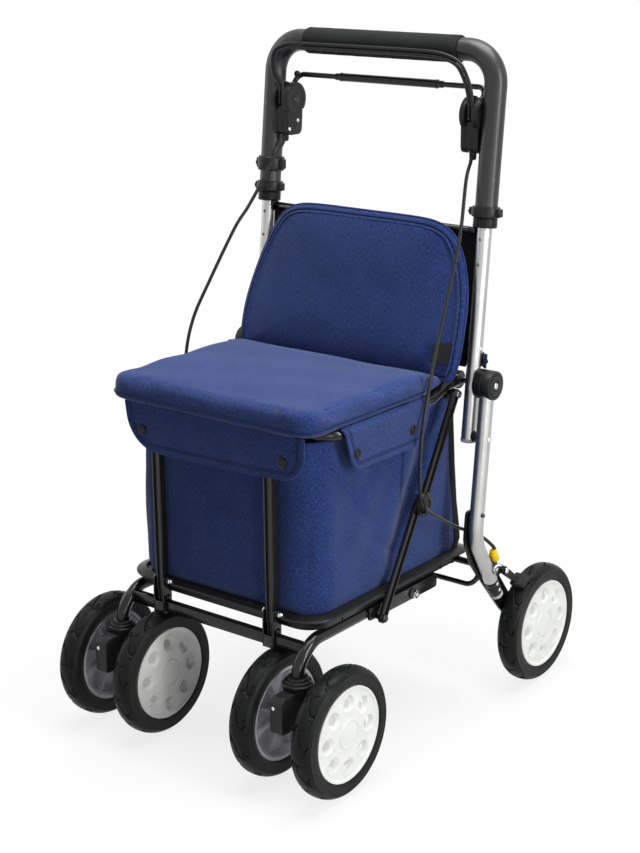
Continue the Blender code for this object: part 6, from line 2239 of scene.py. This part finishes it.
@dataclass
class SeatFrame:
    """Bent seat tube with pivot eyes, brace tabs and post lugs."""

    rail_x: float = 0.152
    front_y: float = -0.187
    tube_z: float = SEAT_TUBE_Z
    radius: float = 0.008

    def route(self) -> list[Vector]:
        """Middle line of the tube from the left pivot round to the right one.

        Returns:
            Points of the line.
        """
        half = [[(s * self.rail_x, 0.08, 0.4457), (s * self.rail_x, 0.058, 0.445), (s * self.rail_x, 0.024, 0.435),
                 (s * self.rail_x, 0.0, 0.434)] for s in (-1, 1)]
        left, right = bent(half[0], 0.02, 5), bent(half[1], 0.02, 5)
        front = bent([(-self.rail_x, 0.0, self.tube_z), (-self.rail_x, self.front_y, self.tube_z),
                      (self.rail_x, self.front_y, self.tube_z), (self.rail_x, 0.0, self.tube_z)], 0.036, 12)
        return [*left[:-1], *front, *right[-2::-1]]

    def fittings(self, side: Side) -> list[Piece]:
        """Eye at the pivot, tab and pin for the brace and lugs for the post.

        Args:
            side: Left or right.

        Returns:
            Shapes of the fittings.
        """
        s = side.value
        eye = lathe("eye", mm(4.4, -2.9, 11, -2.9, 12, -2, 12, 2, 11, 2.9, 4.4, 2.9),
                    facing((s * self.rail_x, *SEAT_PIVOT), (s, 0, 0)), 36)
        tab = prism("tab", softened(mm(50, 429, 66, 429, 67, 445, 48, 441), 0.003), 0.004, in_side_view(s * 0.156),
                    0.0004)
        pin = lathe("pin", mm(0, 0, 3, 0, 3, 17.2, 0, 17.2), facing((s * 0.1555, *BRACE_HEAD), (s, 0, 0)), 20)
        parts = [eye, tab, pin]
        for k in (-1, 1):
            outline = softened([(self.front_y - 0.002, 0.428), (-0.2255, 0.4285), (-0.2255, 0.4385),
                                (self.front_y - 0.002, 0.44)], [0.001, 0.0045, 0.0045, 0.001], 4)
            parts.append(prism(f"lug_{k}", outline, 0.002, in_side_view(s * POST_X + k * 0.0078), 0.0004))
            parts.append(lathe(f"lug_head_{k}", mm(0, 0, 4, 0, 4, 1, 3, 1.8, 0, 2),
                               facing((s * POST_X + k * 0.0087, *POST_HEAD), (k, 0, 0)), 18))
        return parts

    def build(self) -> None:
        """Weld the seat frame."""
        pieces = [tube("rail", self.route(), self.radius, 28)]
        for side in Side:
            pieces += self.fittings(side)
        settle(merge("seat_weldment", *pieces), STEEL, "seat", "seat_frame")


# ---------------------------------------------------------------- rear frame


@dataclass
class RearFrame:
    """Hub plates, fold bar and stay rod."""

    outline: tuple[Pair, ...] = mm(60, 281, 56, 240, 73, 204, 93, 180, 148, 118, 200, 69.8, 212, 66.8, 226, 70.8,
                                   230, 81.8, 225, 92.8, 168, 138, 130, 186, 112, 198, 88, 222, 78, 245, 76, 281)
    radii: tuple[float, ...] = (0.006, 0.03, 0.02, 0.02, 0.03, 0.008, 0.008, 0.008, 0.006, 0.008, 0.02, 0.02, 0.02,
                                0.02, 0.02, 0.006)
    plate_x: float = 0.18585
    thickness: float = 0.0037

    def build(self) -> None:
        """Weld the plates, bar and rod, and add the axle nuts."""
        pieces = []
        for side in Side:
            x = side.x(self.plate_x)
            pieces.append(prism("hub_plate", softened(self.outline, self.radii, 5), self.thickness, in_side_view(x),
                                0.0008, 22))
            pieces.append(lathe("bar_weld", mm(0, 0, 6.8, 0, 6, 2.2, 0, 3),
                                facing((side.x(self.plate_x - 0.0016), *FOLD_BAR), (-side.value, 0, 0)), 20))
        pieces.append(tube("fold_bar", [(-self.plate_x, *FOLD_BAR), (self.plate_x, *FOLD_BAR)], 0.0045, 24))
        stay = [(-0.1839, 0.1, 0.186), (-0.1839, 0.087, 0.17), (0.1839, 0.087, 0.17), (0.1839, 0.1, 0.186)]
        pieces.append(tube("stay", bent(stay, 0.0135, 8), 0.0035, 20, 0.0008))
        settle(merge("rear_weldment", *pieces), STEEL, "rear_frame", "rear_steel_frame")
        for side in Side:
            dress("rear_axle_" + side.label, BRIGHT)
            Fastener("hub_plate_nut_" + side.label, (side.x(0.1784), *REAR_AXLE), (-side.value, 0, 0), 0.0074,
                     0.0034, Head.DOME_NUT, "rear_frame").build()


@dataclass
class RearLeg:
    """Bent aluminium leg with its bolts, round fold housing and spacer."""

    side: Side
    x: float = LEG_X
    radius: float = LEG_RADIUS

    @staticmethod
    def line(z: float) -> float:
        """Y of the straight stretch at a height."""
        return 0.084 + LEAN * (z - SEAT_PIVOT[1])

    def tube(self) -> None:
        """Leg with its closed foot, two bolts and a rivet."""
        x = self.side.x(self.x)
        route = bent([(x, self.line(0.4415), 0.4415), (x, self.line(0.243), 0.243), (x, 0.106, 0.1755)], 0.06, 14)
        settle(tube("leg_tube_" + self.side.label, route, self.radius, 32, 0.0012), ALUMINIUM, "rear_frame",
               "rear_leg_" + self.side.label)
        s = self.side.value
        out = (s, 0, 0)
        for word, y, z, radius, head, metal in (("bolt", 0.1005, 0.195, 0.0056, Head.HEX_NUT, BRIGHT),
                                                ("rivet", 0.0662, 0.279, 0.003, Head.RIVET, DARK_METAL)):
            Fastener(f"leg_{word}_{self.side.label}", (x + s * (self.radius - 0.0004), y, z), out, radius, 0.0036,
                     head, "rear_frame", metal).build()
        Fastener("leg_washer_" + self.side.label, (x + s * (self.radius - 0.0008), 0.1005, 0.195), out, 0.0068,
                 0.0012, Head.WASHER, "rear_frame", DARK_METAL).build()

    def housing(self) -> None:
        """Round housing at the seat pivot with its ringed face and centre screw."""
        s, label = self.side.value, self.side.label
        profile = mm(4.5, 0, 17.8, 0, 18.8, 1, 19, 2.4, 19, 11.8, 18.6, 12.2, 18.6, 13, 19, 13.4, 19, 22.8, 18.4,
                     24.4, 16.8, 25.2, 15, 25.4, 14.6, 24.8, 14, 24.8, 13.6, 25.4, 10, 25.8, 7, 25.8, 6.4, 24.6, 0,
                     24.4)
        drum = lathe("housing_drum_" + label, profile, facing((s * 0.1828, *SEAT_PIVOT), (s, 0, 0)), 64, 30)
        settle(drum, PLASTIC, "rear_frame", "fold_housing_" + label)
        Fastener("fold_screw_" + label, (s * 0.2072, *SEAT_PIVOT), (s, 0, 0), 0.0044, 0.0022, Head.PAN_SCREW,
                 "rear_frame").build()
        bolt = lathe("fold_pivot_bolt_" + label, mm(0, 0, 6.6, 0, 7, 1, 7, 3, 4, 3.6, 4, 34.5, 0, 34.5),
                     facing((s * 0.1478, *SEAT_PIVOT), (s, 0, 0)), 24)
        settle(bolt, BRIGHT, "rear_frame")

    def spacer(self) -> None:
        """Spacer between leg and upright, waisted, with its screw."""
        s, label = self.side.value, self.side.label
        z = 0.377
        y = (self.line(z) + upright_y(z)) / 2
        profile = mm(0, -0.4, 6.8, -0.4, 7.2, 0.4, 6, 1.4, 5.8, 4, 7.2, 5, 6.8, 5.8, 0, 5.8)
        settle(lathe("spacer_" + label, profile, facing((s * 0.1826, y, z), (s, 0, 0)), 32), PLASTIC, "rear_frame",
               "leg_spacer_" + label)
        Fastener("spacer_screw_" + label, (s * (self.x + self.radius - 0.0004), self.line(z), z), (s, 0, 0), 0.0036,
                 0.0018, Head.RIVET, "rear_frame").build()

    def build(self) -> None:
        """Make the leg and its fittings."""
        self.tube()
        self.housing()
        self.spacer()


@dataclass
class Upright:
    """Leaning aluminium upright with its height holes, end plug and rivet."""

    side: Side
    x: float = UPRIGHT_X
    radius: float = LEG_RADIUS
    heights: Pair = (0.369, 0.785)
    holes: tuple[float, ...] = (0.628, 0.5965, 0.565)

    def build(self) -> None:
        """Make the tube with real holes, and its plug and rivet."""
        x = self.side.x(self.x)
        low, high = ((x, upright_y(z), z) for z in self.heights)
        tube_ = tube("upright_tube", [low, high], self.radius, 40, 0.001)
        for z in self.holes:
            drill = tube("drill", [(x, upright_y(z) - 0.02, z), (x, upright_y(z) - 0.0055, z)], 0.0022, 16)
            cut = tube_.modifiers.new("hole", "BOOLEAN")
            cut.operation, cut.object, cut.solver = "DIFFERENCE", drill, "EXACT"
            baked(tube_, 30)
            bpy.data.objects.remove(drill, do_unlink=True)
        tube_.name = "upright_drilled_" + self.side.label
        settle(tube_, ALUMINIUM, "rear_frame", "upright_" + self.side.label)
        z = self.heights[0]
        plug = lathe("upright_plug_" + self.side.label, mm(0, -3, 6, -2.8, 9.4, -1.6, 9.9, 0, 9.9, 3, 0, 3),
                     facing((x, upright_y(z) - 0.00005, z + 0.0008), ALONG_UPRIGHT), 32)
        settle(plug, PALE_PLUG, "rear_frame")
        for word, zz in (("a", 0.4895), ("b", 0.385)):
            s = self.side.value
            Fastener(f"upright_rivet_{self.side.label}_{word}",
                     (x + s * (self.radius - 0.0005), upright_y(zz) - 0.001, zz), (s, 0, 0), 0.0026, 0.0014,
                     Head.RIVET, "rear_frame").build()


# ---------------------------------------------------------------- handle and brake


@dataclass
class Handle:
    """Handle tube with foam grip, height collars and an accessory clamp."""

    x: float = UPRIGHT_X
    bottom_z: float = 0.6475
    top_z: float = 0.8565
    radius: float = 0.0143
    grip_half: float = 0.12

    def tube(self) -> None:
        """Bent tube, open at both feet round the uprights."""
        foot, top = self.bottom_z, self.top_z
        corners = [(s * self.x, upright_y(z), z) for s, z in ((-1, foot), (-1, top), (1, top), (1, foot))]
        settle(tube("handle_bow", bent(corners, 0.042, 18), self.radius, 40), HANDLE_PAINT, "handle", "handle_tube")

    def grip(self) -> None:
        """Foam sleeve with chamfered ends and a fine seam."""
        inner, outer, half = 0.0146, 0.0171, self.grip_half
        profile = [(inner, half - 0.0004), (inner + 0.0012, half), (outer - 0.0006, half - 0.0012),
                   (outer, half - 0.0028)]
        for k in range(1, 24):
            profile.append((outer + 0.0001 * math.sin(2.1 * k), half - 0.0028 - (2 * half - 0.0056) * k / 24))
        profile += [(outer, 0.0028 - half), (outer - 0.0006, 0.0012 - half), (inner + 0.0012, -half),
                    (inner, 0.0004 - half)]
        centre = (0.0, upright_y(self.top_z), self.top_z)
        settle(lathe("foam_sleeve", profile, facing(centre, (1, 0, 0)), 48), FOAM, "handle", "handle_grip")

    def ring(self, name: str, side: Side, profile: Outline, z0: float, lugs: Pair) -> Piece:
        """Turned ring on a leg with a pair of lugs.

        Args:
            name: Name of the piece.
            side: Leg that it sits on.
            profile: (radius, height over z0) pairs.
            z0: Height of its foot.
            lugs: Lowest and highest z of its lugs.

        Returns:
            The ring.
        """
        x = side.x(self.x)
        ring = lathe(name, profile, facing((x, upright_y(z0), z0), ALONG_UPRIGHT), 44, 28)
        y = upright_y(sum(lugs) / 2)
        outer = 0.0178
        parts = [ring]
        for k in (-1, 1):
            a, b = sorted((x + k * (outer - 0.0012), x + k * (outer + 0.0045)))
            parts.append(block("lug", (a, y - 0.0048, lugs[0]), (b, y + 0.0048, lugs[1]), 0.0012))
            parts.append(lathe("lug_disc", mm(0, 0, 3.6, 0, 3.2, 0.9, 0, 0.9),
                               facing((x + k * (outer + 0.0018), y - 0.0047, sum(lugs) / 2), (0, -1, 0)), 16))
        return merge(name, *parts)

    def collars(self) -> None:
        """Height collar with its ribbed bush on each leg, and the clamp on the left one."""
        for side in Side:
            bush = [*mm(10, 0, 14.6, 0, 15.2, 0.8)]
            for k in range(4):
                z = 0.002 + 0.0024 * k
                bush += [(0.0155, z), (0.0155, z + 0.0013), (0.0148, z + 0.0016), (0.0148, z + 0.0021)]
            profile = [*bush, (0.0162, 0.0126), (0.0178, 0.0134), (0.0181, 0.0146), (0.0181, 0.0238),
                       (0.0176, 0.0254), (0.016, 0.0262), (0.0145, 0.0262), (0.0145, 0.0054), (0.01, 0.0054)]
            piece = self.ring("collar_" + side.label, side, profile, 0.642, (0.656, 0.666))
            settle(piece, PLASTIC, "handle", "height_collar_" + side.label)
        profile = mm(14.5, 0, 16.6, 0, 17.8, 1, 18.1, 2.2, 18.1, 16.8, 17.8, 18, 16.6, 19, 14.5, 19)
        clamp = self.ring("clamp", Side.LEFT, profile, 0.682, (0.685, 0.698))
        clamp.name = "clamp_ring"
        settle(clamp, PLASTIC, "handle", "accessory_clamp")

    def build(self) -> None:
        """Make the handle with all that sits on it."""
        self.tube()
        self.grip()
        self.collars()


@dataclass
class Brake:
    """Brake housings, bar, linking cables and the cables down to the wheels."""

    x: float = 0.1492
    y: float = 0.1196
    z: float = 0.779
    half: float = 0.0125
    disc_radius: float = 0.0225
    bottom: float = 0.732
    top_z: float = 0.8565

    def housing(self, side: Side) -> None:
        """Housing of two shells with rounded corners, screws and the slot for the arm.

        Args:
            side: Left or right.
        """
        x, y, z, half = side.x(self.x), self.y, self.z, self.half
        wall = half - 0.0057
        outline = []
        for i in range(25):
            angle = math.radians(-38 + 256 * i / 24)
            outline.append((y + self.disc_radius * math.cos(angle), z + self.disc_radius * math.sin(angle)))
        foot = softened([(y - 0.0175, z - 0.014), (y - 0.017, self.bottom), (y + 0.013, self.bottom),
                         (y + 0.015, z - 0.014)], [0.001, 0.008, 0.008, 0.001], 6)
        outline += foot
        parts = []
        for k in (-1, 1):
            centre = x + k * (half - wall / 2)
            parts.append(prism(f"shell_{k}", outline, wall - 0.0003, in_side_view(centre), 0.0014, 26))
            dome = lathe(f"dome_{k}", mm(0, 0, 20.5, 0, 20, 0.8, 16.8, 1.4, 16, 1.2, 8, 2, 0, 2.2),
                         facing((x + k * (half - 0.0003), y, z), (k, 0, 0)), 48)
            parts.append(dome)
        filling = softened([(y - 0.0172, z - 0.008), (y - 0.0165, self.bottom + 0.0005),
                            (y + 0.0125, self.bottom + 0.0005), (y + 0.019, z - 0.008)],
                           [0.001, 0.008, 0.008, 0.001], 5)
        parts.append(prism("core", filling, 2 * (half - wall) + 0.001, in_side_view(x), 0.0006))
        parts.append(lathe("pivot", mm(0, 0, 2.1, 0, 2.1, 15, 0, 15), facing((x - 0.0075, y, z), (1, 0, 0)), 16))
        ferrule = lathe("ferrule", mm(0, 0, 4.6, 0, 4.6, 7, 3.8, 9.5, 2.5, 10, 0, 10),
                        facing((side.x(0.149), y - 0.0071, self.bottom + 0.0012), (0, 0.02, -1)), 24)
        parts.append(ferrule)
        settle(merge("brake_shells_" + side.label, *parts), PLASTIC, "handle", "brake_housing_" + side.label)
        spots = ((-0.0132, -0.0095, 0.0026), (0.0048, -0.0285, 0.0026), (-0.0132, -0.0385, 0.0026), (0.0, 0.0, 0.0044))
        for k, (dy, dz, r) in enumerate(spots):
            out = -side.value
            reach = half if k < 3 else half + 0.0017
            head, metal = (Head.PAN_SCREW, BRIGHT) if k < 3 else (Head.RIVET, DARK_METAL)
            Fastener(f"brake_screw_{side.label}_{k}", (x + out * (reach - 0.0003), y + dy, z + dz), (out, 0, 0), r,
                     0.0011, head, "handle", metal).build()

    def bar(self) -> None:
        """Bent bar with its stepped sleeve and the arms' eyes."""
        up = (self.y + 0.0206, self.z + 0.031)
        corners = [(-self.x, self.y, self.z), (-self.x, *up), (self.x, *up), (self.x, self.y, self.z)]
        parts = [tube("bar", bent(corners, 0.012, 10), 0.0035, 24)]
        half = mm(0, 84.5, 4.2, 84.5, 4.6, 84, 4.6, 77, 5.8, 76.5, 5.8, 74.2, 5.4, 73.8)
        sleeve = [(r, -h) for r, h in half] + [(r, h) for r, h in reversed(half)]
        parts.append(lathe("sleeve", sleeve, facing((0, *up), (1, 0, 0)), 28))
        for s in (-1, 1):
            parts.append(lathe("eye", mm(2.5, -3, 4.6, -3, 5, -2.4, 5, 2.4, 4.6, 3, 2.5, 3),
                               facing((s * self.x, self.y, self.z), (1, 0, 0)), 24))
            parts.append(lathe("knob", mm(0, 0, 4, 0, 4.4, 0.8, 4.4, 3.6, 3.4, 4.8, 0, 5),
                               facing((s * (self.x - 0.001), up[0], up[1]), (s, 0, 0)), 20))
        settle(merge("brake_bow", *parts), STEEL, "brake_lever", "brake_bar")

    def links(self) -> None:
        """Pair of linking cables from housing to housing."""
        x, z, top = self.x, self.z, self.top_z
        floor = z - 0.006 + 0.0003
        right = [(x, floor), *mm(0, 12, -2, 27, -8, 44, at=(x, z)),
                 *mm(-19, -17, -35, -9.5, -53, -6.5, -74, -5.6, -105, -5.3, at=(x, top)), (0.0, top - 0.0053)]
        left = [*mm(75, -5.3, 48, -5.4, 28, -5.6, 12, -6.5, -6, -13, -12, -25, at=(-x, top)),
                *mm(-10.5, 35, -4.5, 26, 0, 18.5, 0, 8, at=(-x, z)), (-x, floor)]
        middle = flowing([(a, self.y - 0.0155, b) for a, b in [*right, *left]], 7)
        for name, node, way in (("link_sheath_inner", "link_cable_inner", -1),
                                ("link_sheath_outer", "link_cable_outer", 1)):
            route = []
            for i, point in enumerate(middle):
                ahead = (middle[min(i + 1, len(middle) - 1)] - middle[max(i - 1, 0)]).normalized()
                route.append(point + Vector((ahead.z, 0, -ahead.x)) * way * 0.0027)
            settle(sweep(name, route, disc(SHEATH_RADIUS, 16), (0, 1, 0)), SHEATH, "handle", node)

    @staticmethod
    def down(side: Side) -> list[Triple]:
        """Points of one cable from its housing past the knuckle to the wheel brake.

        Args:
            side: Left or right.

        Returns:
            Points of the cable.
        """
        if side is Side.RIGHT:
            upper = [(0.149, -0.0071, 0.9969), (0.149, -0.0062, 0.9618), (0.15, -0.0152, 0.879),
                     (0.1556, -0.0271, 0.6752), (0.158, -0.0351, 0.5573), (0.158, -0.044, 0.4324),
                     (0.1565, -0.0562, 0.2382), (0.157, -0.0651, 0.1145)]
            middle = [(0.1655, -0.001, 0.453), (0.172, -0.0238, 0.4025), (0.1775, -0.035, 0.3472)]
        else:
            upper = [(-0.149, -0.0071, 0.9969), (-0.149, -0.0062, 0.9618), (-0.156, -0.0198, 0.8664),
                     (-0.165, -0.0319, 0.7481), (-0.1755, -0.044, 0.6336), (-0.184, -0.0586, 0.5344),
                     (-0.204, -0.082, 0.271), (-0.2165, -0.0982, 0.0763)]
            middle = [(-0.2168, -0.022, 0.44), (-0.205, -0.032, 0.39), (-0.188, -0.037, 0.3472)]
        points = []
        for x, ahead, share in upper:
            z = 0.47 + (0.732 - 0.47) * share
            points.append((x, upright_y(z) + ahead, z))
        lower = [(0.1785, -0.032, 0.318), (0.1785, -0.015, 0.301), (0.1785, 0.014, 0.283), (0.178, 0.044, 0.265),
                 (0.178, 0.068, 0.253), (0.18, 0.086, 0.245), (0.19, 0.098, 0.235), (0.1975, 0.108, 0.223),
                 (0.198, 0.114, 0.216)]
        return [*points, *middle, *[(side.x(x), y, z) for x, y, z in lower]]

    def cables(self) -> None:
        """Main cables, with the yellow cap and bare wire at their lower ends."""
        for side in Side:
            route = flowing(self.down(side), 8)
            cable = settle(sweep("main_cable_" + side.label, route, disc(SHEATH_RADIUS, 16), (0, 1, 0),
                                 nose=0.0006), SHEATH, "", "brake_cable_" + side.label)
            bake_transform(cable)
            start, end = Vector((side.x(0.1975), 0.1088, 0.2165)), Vector((side.x(0.1978), 0.1162, 0.2005))
            profile = mm(0, 0, 4, 0, 4.6, 0.6, 4.6, 3.6, 5.6, 4.2, 5.8, 5, 5.8, 15.8, 5.2, 16.8, 0, 17.2)
            cap = lathe("cable_cap_" + side.label, profile, facing(start, end - start), 24)
            settle(cap, YELLOW, "rear_frame")
            wire = [end, (side.x(0.1983), 0.1215, 0.195), (side.x(0.199), 0.129, 0.1905),
                    (side.x(0.1994), 0.1355, 0.1865)]
            settle(sweep("bare_wire_" + side.label, flowing(wire, 5), disc(0.0008, 10)), BRIGHT, "rear_frame")

    def build(self) -> None:
        """Make the whole brake above the wheels."""
        for side in Side:
            self.housing(side)
        self.bar()
        self.links()
        self.cables()


@dataclass
class WheelBrake:
    """Brake body at a leg's foot with the cable holder, and the shoe that presses on the tyre."""

    side: Side
    x: float = LEG_X
    foot: Pair = (0.106, 0.1755)
    pivot: Pair = (0.135, 0.181)

    def body(self) -> None:
        """Clamped body with its pale end ring, holder and screws."""
        s, label = self.side.value, self.side.label
        x = s * self.x
        fy, fz = self.foot
        away = Vector((0, fy - RearLeg.line(0.243), fz - 0.243)).normalized()
        start = Vector((x, fy, fz)) + away * 0.0006
        profile = mm(0, 0, 8.6, 0, 9.2, 0.8, 9.2, 6, 8.8, 6.6, 8.8, 7.8, 9.2, 8.4, 9.2, 22.4, 8.6, 23.4, 8.6, 24.6,
                     0, 24.6)
        drum = lathe("drum", profile, facing(tuple(start), tuple(away)), 36, 28)
        holder = prism(
            "holder", softened(mm(3, 18, 12, 37, 22, 30, 20, -10, 8, -10, at=self.foot),
                               [0.002, 0.004, 0.004, 0.004, 0.002], 4), 0.0062, in_side_view(s * 0.1912), 0.0008
        )
        socket = lathe(
            "socket", mm(0, 0, 4.4, 0, 4.4, 8, 0, 8), facing((s * 0.1976, 0.1118, 0.2105), (0, 0.62, -0.78)), 20
        )
        root = prism("root", softened([*mm(8, -6, 8, 8, at=self.foot), *mm(4, 4, 3, -5, at=self.pivot)],
                                      [0.001, 0.001, 0.003, 0.003], 4), 0.003, in_side_view(s * (self.x - 0.0035)),
                     0.0005)
        pin = lathe(
            "pin", mm(0, 0, 2.5, 0, 2.5, 11.5, 0, 11.5), facing((s * (self.x - 0.004), *self.pivot), (s, 0, 0)), 20
        )
        settle(merge("brake_drum_" + label, drum, holder, socket, root, pin), PLASTIC, "rear_frame",
               "brake_body_" + label)
        end = start + away * 0.0244
        ring = lathe("brake_end_ring_" + label, mm(0, 0, 8.8, 0, 9.2, 0.8, 9.2, 4.6, 8.4, 5.4, 0, 5.6),
                     facing(tuple(end), tuple(away)), 36)
        settle(ring, PALE_PLUG, "rear_frame")
        for k, t in enumerate((0.0045, 0.0165)):
            spot = start + away * t + Vector((s * 0.0088, 0.0, 0.0))
            Fastener(f"brake_body_screw_{label}_{k}", tuple(spot), (s, 0, 0), 0.0024, 0.0014, Head.PAN_SCREW,
                     "rear_frame").build()

    def shoe(self) -> None:
        """Curved pad on its arm."""
        s, label = self.side.value, self.side.label
        py, pz = self.pivot
        ay, az = REAR_AXLE
        angle = math.atan2(0.157 - az, py + 0.034 - ay)
        inner, outer = 0.0825 + 0.003, 0.0825 + 0.0088
        spread = [-0.11 + 0.22 * k / 8 for k in range(9)]
        outline = [(ay + inner * math.cos(angle + a), az + inner * math.sin(angle + a)) for a in spread]
        outline += [(ay + outer * math.cos(angle + a), az + outer * math.sin(angle + a)) for a in reversed(spread)]
        pad = prism("pad", outline, 0.0215, in_side_view(s * 0.205), 0.001, 35)
        ey, ez = ay + (outer - 0.002) * math.cos(angle), az + (outer - 0.002) * math.sin(angle)
        arm = prism("arm", softened([*mm(-5, 2, 2, 5.5, at=self.pivot), *mm(4, 1, -3, -4, at=(ey, ez)),
                                     (py - 0.002, pz - 0.005)], [0.002, 0.003, 0.001, 0.001, 0.002], 4), 0.0056,
                    in_side_view(s * (self.x + 0.0016)), 0.0008)
        settle(merge("shoe_pad_" + label, pad, arm), RUBBER_PAD, "brake_shoe_" + label, "brake_shoe_" + label)
        Fastener("shoe_pivot_" + label, (s * (self.x + 0.007), py, pz), (s, 0, 0), 0.004, 0.0016, Head.PAN_SCREW,
                 "rear_frame").build()

    def build(self) -> None:
        """Make the body and the shoe."""
        self.body()
        self.shoe()


# ---------------------------------------------------------------- studio


@dataclass
class Studio:
    """White floor and sweep, soft lamps and the photograph's camera."""

    eye: Triple = (1.3091, -1.7187, 1.0296)
    yaw: float = 0.6526
    pitch: float = 0.2938
    lens: float = 36 * 1730 / 853
    near_white: float = 0.8
    dome: float = 0.12
    reach: float = 30.0
    lamps: tuple[tuple[str, Triple, Pair, float], ...] = (("overhead", (0.15, 0.1, 2.6), (1.5, 1.9), 74.0),
                                                          ("right_box", (2.4, -0.15, 1.2), (0.34, 1.9), 37.0),
                                                          ("left_box", (-2.2, -0.6, 1.3), (0.22, 1.9), 6.0),
                                                          ("low_fill", (1.7, -1.1, 0.35), (0.4, 0.5), 4.2),
                                                          ("front_fill", (0.5, -2.8, 0.8), (0.3, 1.6), 1.0))

    @staticmethod
    def seen_straight(tree: bpy.types.NodeTree) -> Socket:
        """1 for the rays that show the surround itself: from the camera, off gloss or through glass.

        Args:
            tree: Nodes of a material or of the world.

        Returns:
            Socket of 0 or 1.
        """
        ways = tree.nodes.new("ShaderNodeLightPath")
        first, second = tree.nodes.new("ShaderNodeMath"), tree.nodes.new("ShaderNodeMath")
        first.operation = second.operation = "MAXIMUM"
        tree.links.new(ways.outputs["Is Camera Ray"], first.inputs[0])
        tree.links.new(ways.outputs["Is Glossy Ray"], first.inputs[1])
        tree.links.new(first.outputs[0], second.inputs[0])
        tree.links.new(ways.outputs["Is Transmission Ray"], second.inputs[1])
        return second.outputs[0]

    def floor(self) -> None:
        """White floor that keeps the object's shadow and fades to plain white away from it."""
        mesh = bpy.data.meshes.new("studio_floor")
        corners = [(self.reach * a, self.reach * b, 0) for a, b in ((-1, -1), (1, -1), (1, 1), (-1, 1))]
        mesh.from_pydata(corners, [], [(0, 1, 2, 3)])
        floor = bpy.data.objects.new("studio_floor", mesh)
        bpy.context.scene.collection.objects.link(floor)
        bench = Bench("studio_white")
        bench.set(Base_Color=(0.8, 0.8, 0.8), Roughness=0.22, Specular_IOR_Level=0.25)
        glow = bench.node("ShaderNodeEmission")
        glow.inputs["Color"].default_value = (1, 1, 1, 1)
        glow.inputs["Strength"].default_value = 1.0
        x, y = bench.axes()[:2]
        away = bench.maths("SQRT", bench.plus(bench.times(x, x), bench.times(y, y)))
        share = bench.spread(away, 0.25, 0.85, self.near_white, 1.0)
        mix = bench.node("ShaderNodeMixShader")
        bench.feed(mix.inputs[0], bench.times(share, self.seen_straight(bench.tree)))
        bench.feed(mix.inputs[1], bench.shader.outputs[0])
        bench.feed(mix.inputs[2], glow.outputs[0])
        bench.feed(bench.tree.nodes["Material Output"].inputs["Surface"], mix.outputs[0])
        bench.set(Base_Color=bench.blend(self.seen_straight(bench.tree), (0.44, 0.44, 0.44), (0.9, 0.9, 0.9)))
        mesh.materials.append(bench.made)

    def world(self) -> None:
        """White surround for the camera and for gloss, a soft grey dome for the light."""
        world = bpy.data.worlds.new("studio")
        bpy.context.scene.world = world
        world.use_nodes = True
        tree = world.node_tree
        tree.nodes.clear()
        lit, seen = tree.nodes.new("ShaderNodeBackground"), tree.nodes.new("ShaderNodeBackground")
        lit.inputs["Color"].default_value = (0.95, 0.97, 1.0, 1.0)
        lit.inputs["Strength"].default_value = self.dome
        seen.inputs["Color"].default_value = (1, 1, 1, 1)
        seen.inputs["Strength"].default_value = 1.0
        mix, out = tree.nodes.new("ShaderNodeMixShader"), tree.nodes.new("ShaderNodeOutputWorld")
        tree.links.new(self.seen_straight(tree), mix.inputs[0])
        tree.links.new(lit.outputs[0], mix.inputs[1])
        tree.links.new(seen.outputs[0], mix.inputs[2])
        tree.links.new(mix.outputs[0], out.inputs[0])

    def lamp(self, name: str, place: Triple, size: Pair, power: float) -> None:
        """Rectangular soft lamp that looks at the object.

        Args:
            name: Name of the lamp.
            place: Where it hangs.
            size: Width and height.
            power: Watts.
        """
        light = bpy.data.lights.new(name, "AREA")
        light.shape = "RECTANGLE"
        light.size, light.size_y = size
        light.energy = power
        made = bpy.data.objects.new(name, light)
        bpy.context.scene.collection.objects.link(made)
        made.matrix_world = facing(place, tuple(Vector(place) - Vector((0, 0, 0.45))))

    def camera(self) -> None:
        """Camera at the photograph's place, fitted to its frame's long side."""
        lens = bpy.data.cameras.new("camera")
        lens.sensor_width = 36
        lens.lens = self.lens
        lens.clip_start, lens.clip_end = 0.05, 100
        back = Vector((math.sin(self.yaw) * math.cos(self.pitch), -math.cos(self.yaw) * math.cos(self.pitch),
                       math.sin(self.pitch)))
        right = Vector((math.cos(self.yaw), math.sin(self.yaw), 0))
        up = back.cross(right)
        made = bpy.data.objects.new("camera", lens)
        made.matrix_world = Matrix.Translation(self.eye) @ Matrix((right, up, back)).transposed().to_4x4()
        bpy.context.scene.collection.objects.link(made)
        bpy.context.scene.camera = made

    def build(self) -> None:
        """Set the stage."""
        bpy.context.scene.view_settings.view_transform = "Standard"
        self.floor()
        self.world()
        for lamp in self.lamps:
            self.lamp(*lamp)
        self.camera()


def main() -> None:
    """Build every sub-assembly in order."""
    Studio().build()
    for side in Side:
        name = "rear_wheel_" + side.label
        Wheel(name, (side.x(0.205), *REAR_AXLE), side.value, name).build()
        Caster(side).build()
    BaseFrame().build()
    Tray().build()
    Bag().build()
    for side in Side:
        FrontPost(side).build()
        Brace(side).build()
        RearLeg(side).build()
        Upright(side).build()
        WheelBrake(side).build()
    SeatFrame().build()
    RearFrame().build()
    Cushion().build()
    make_flaps()
    Backrest().build()
    Handle().build()
    Brake().build()


if __name__ == "__main__":
    main()
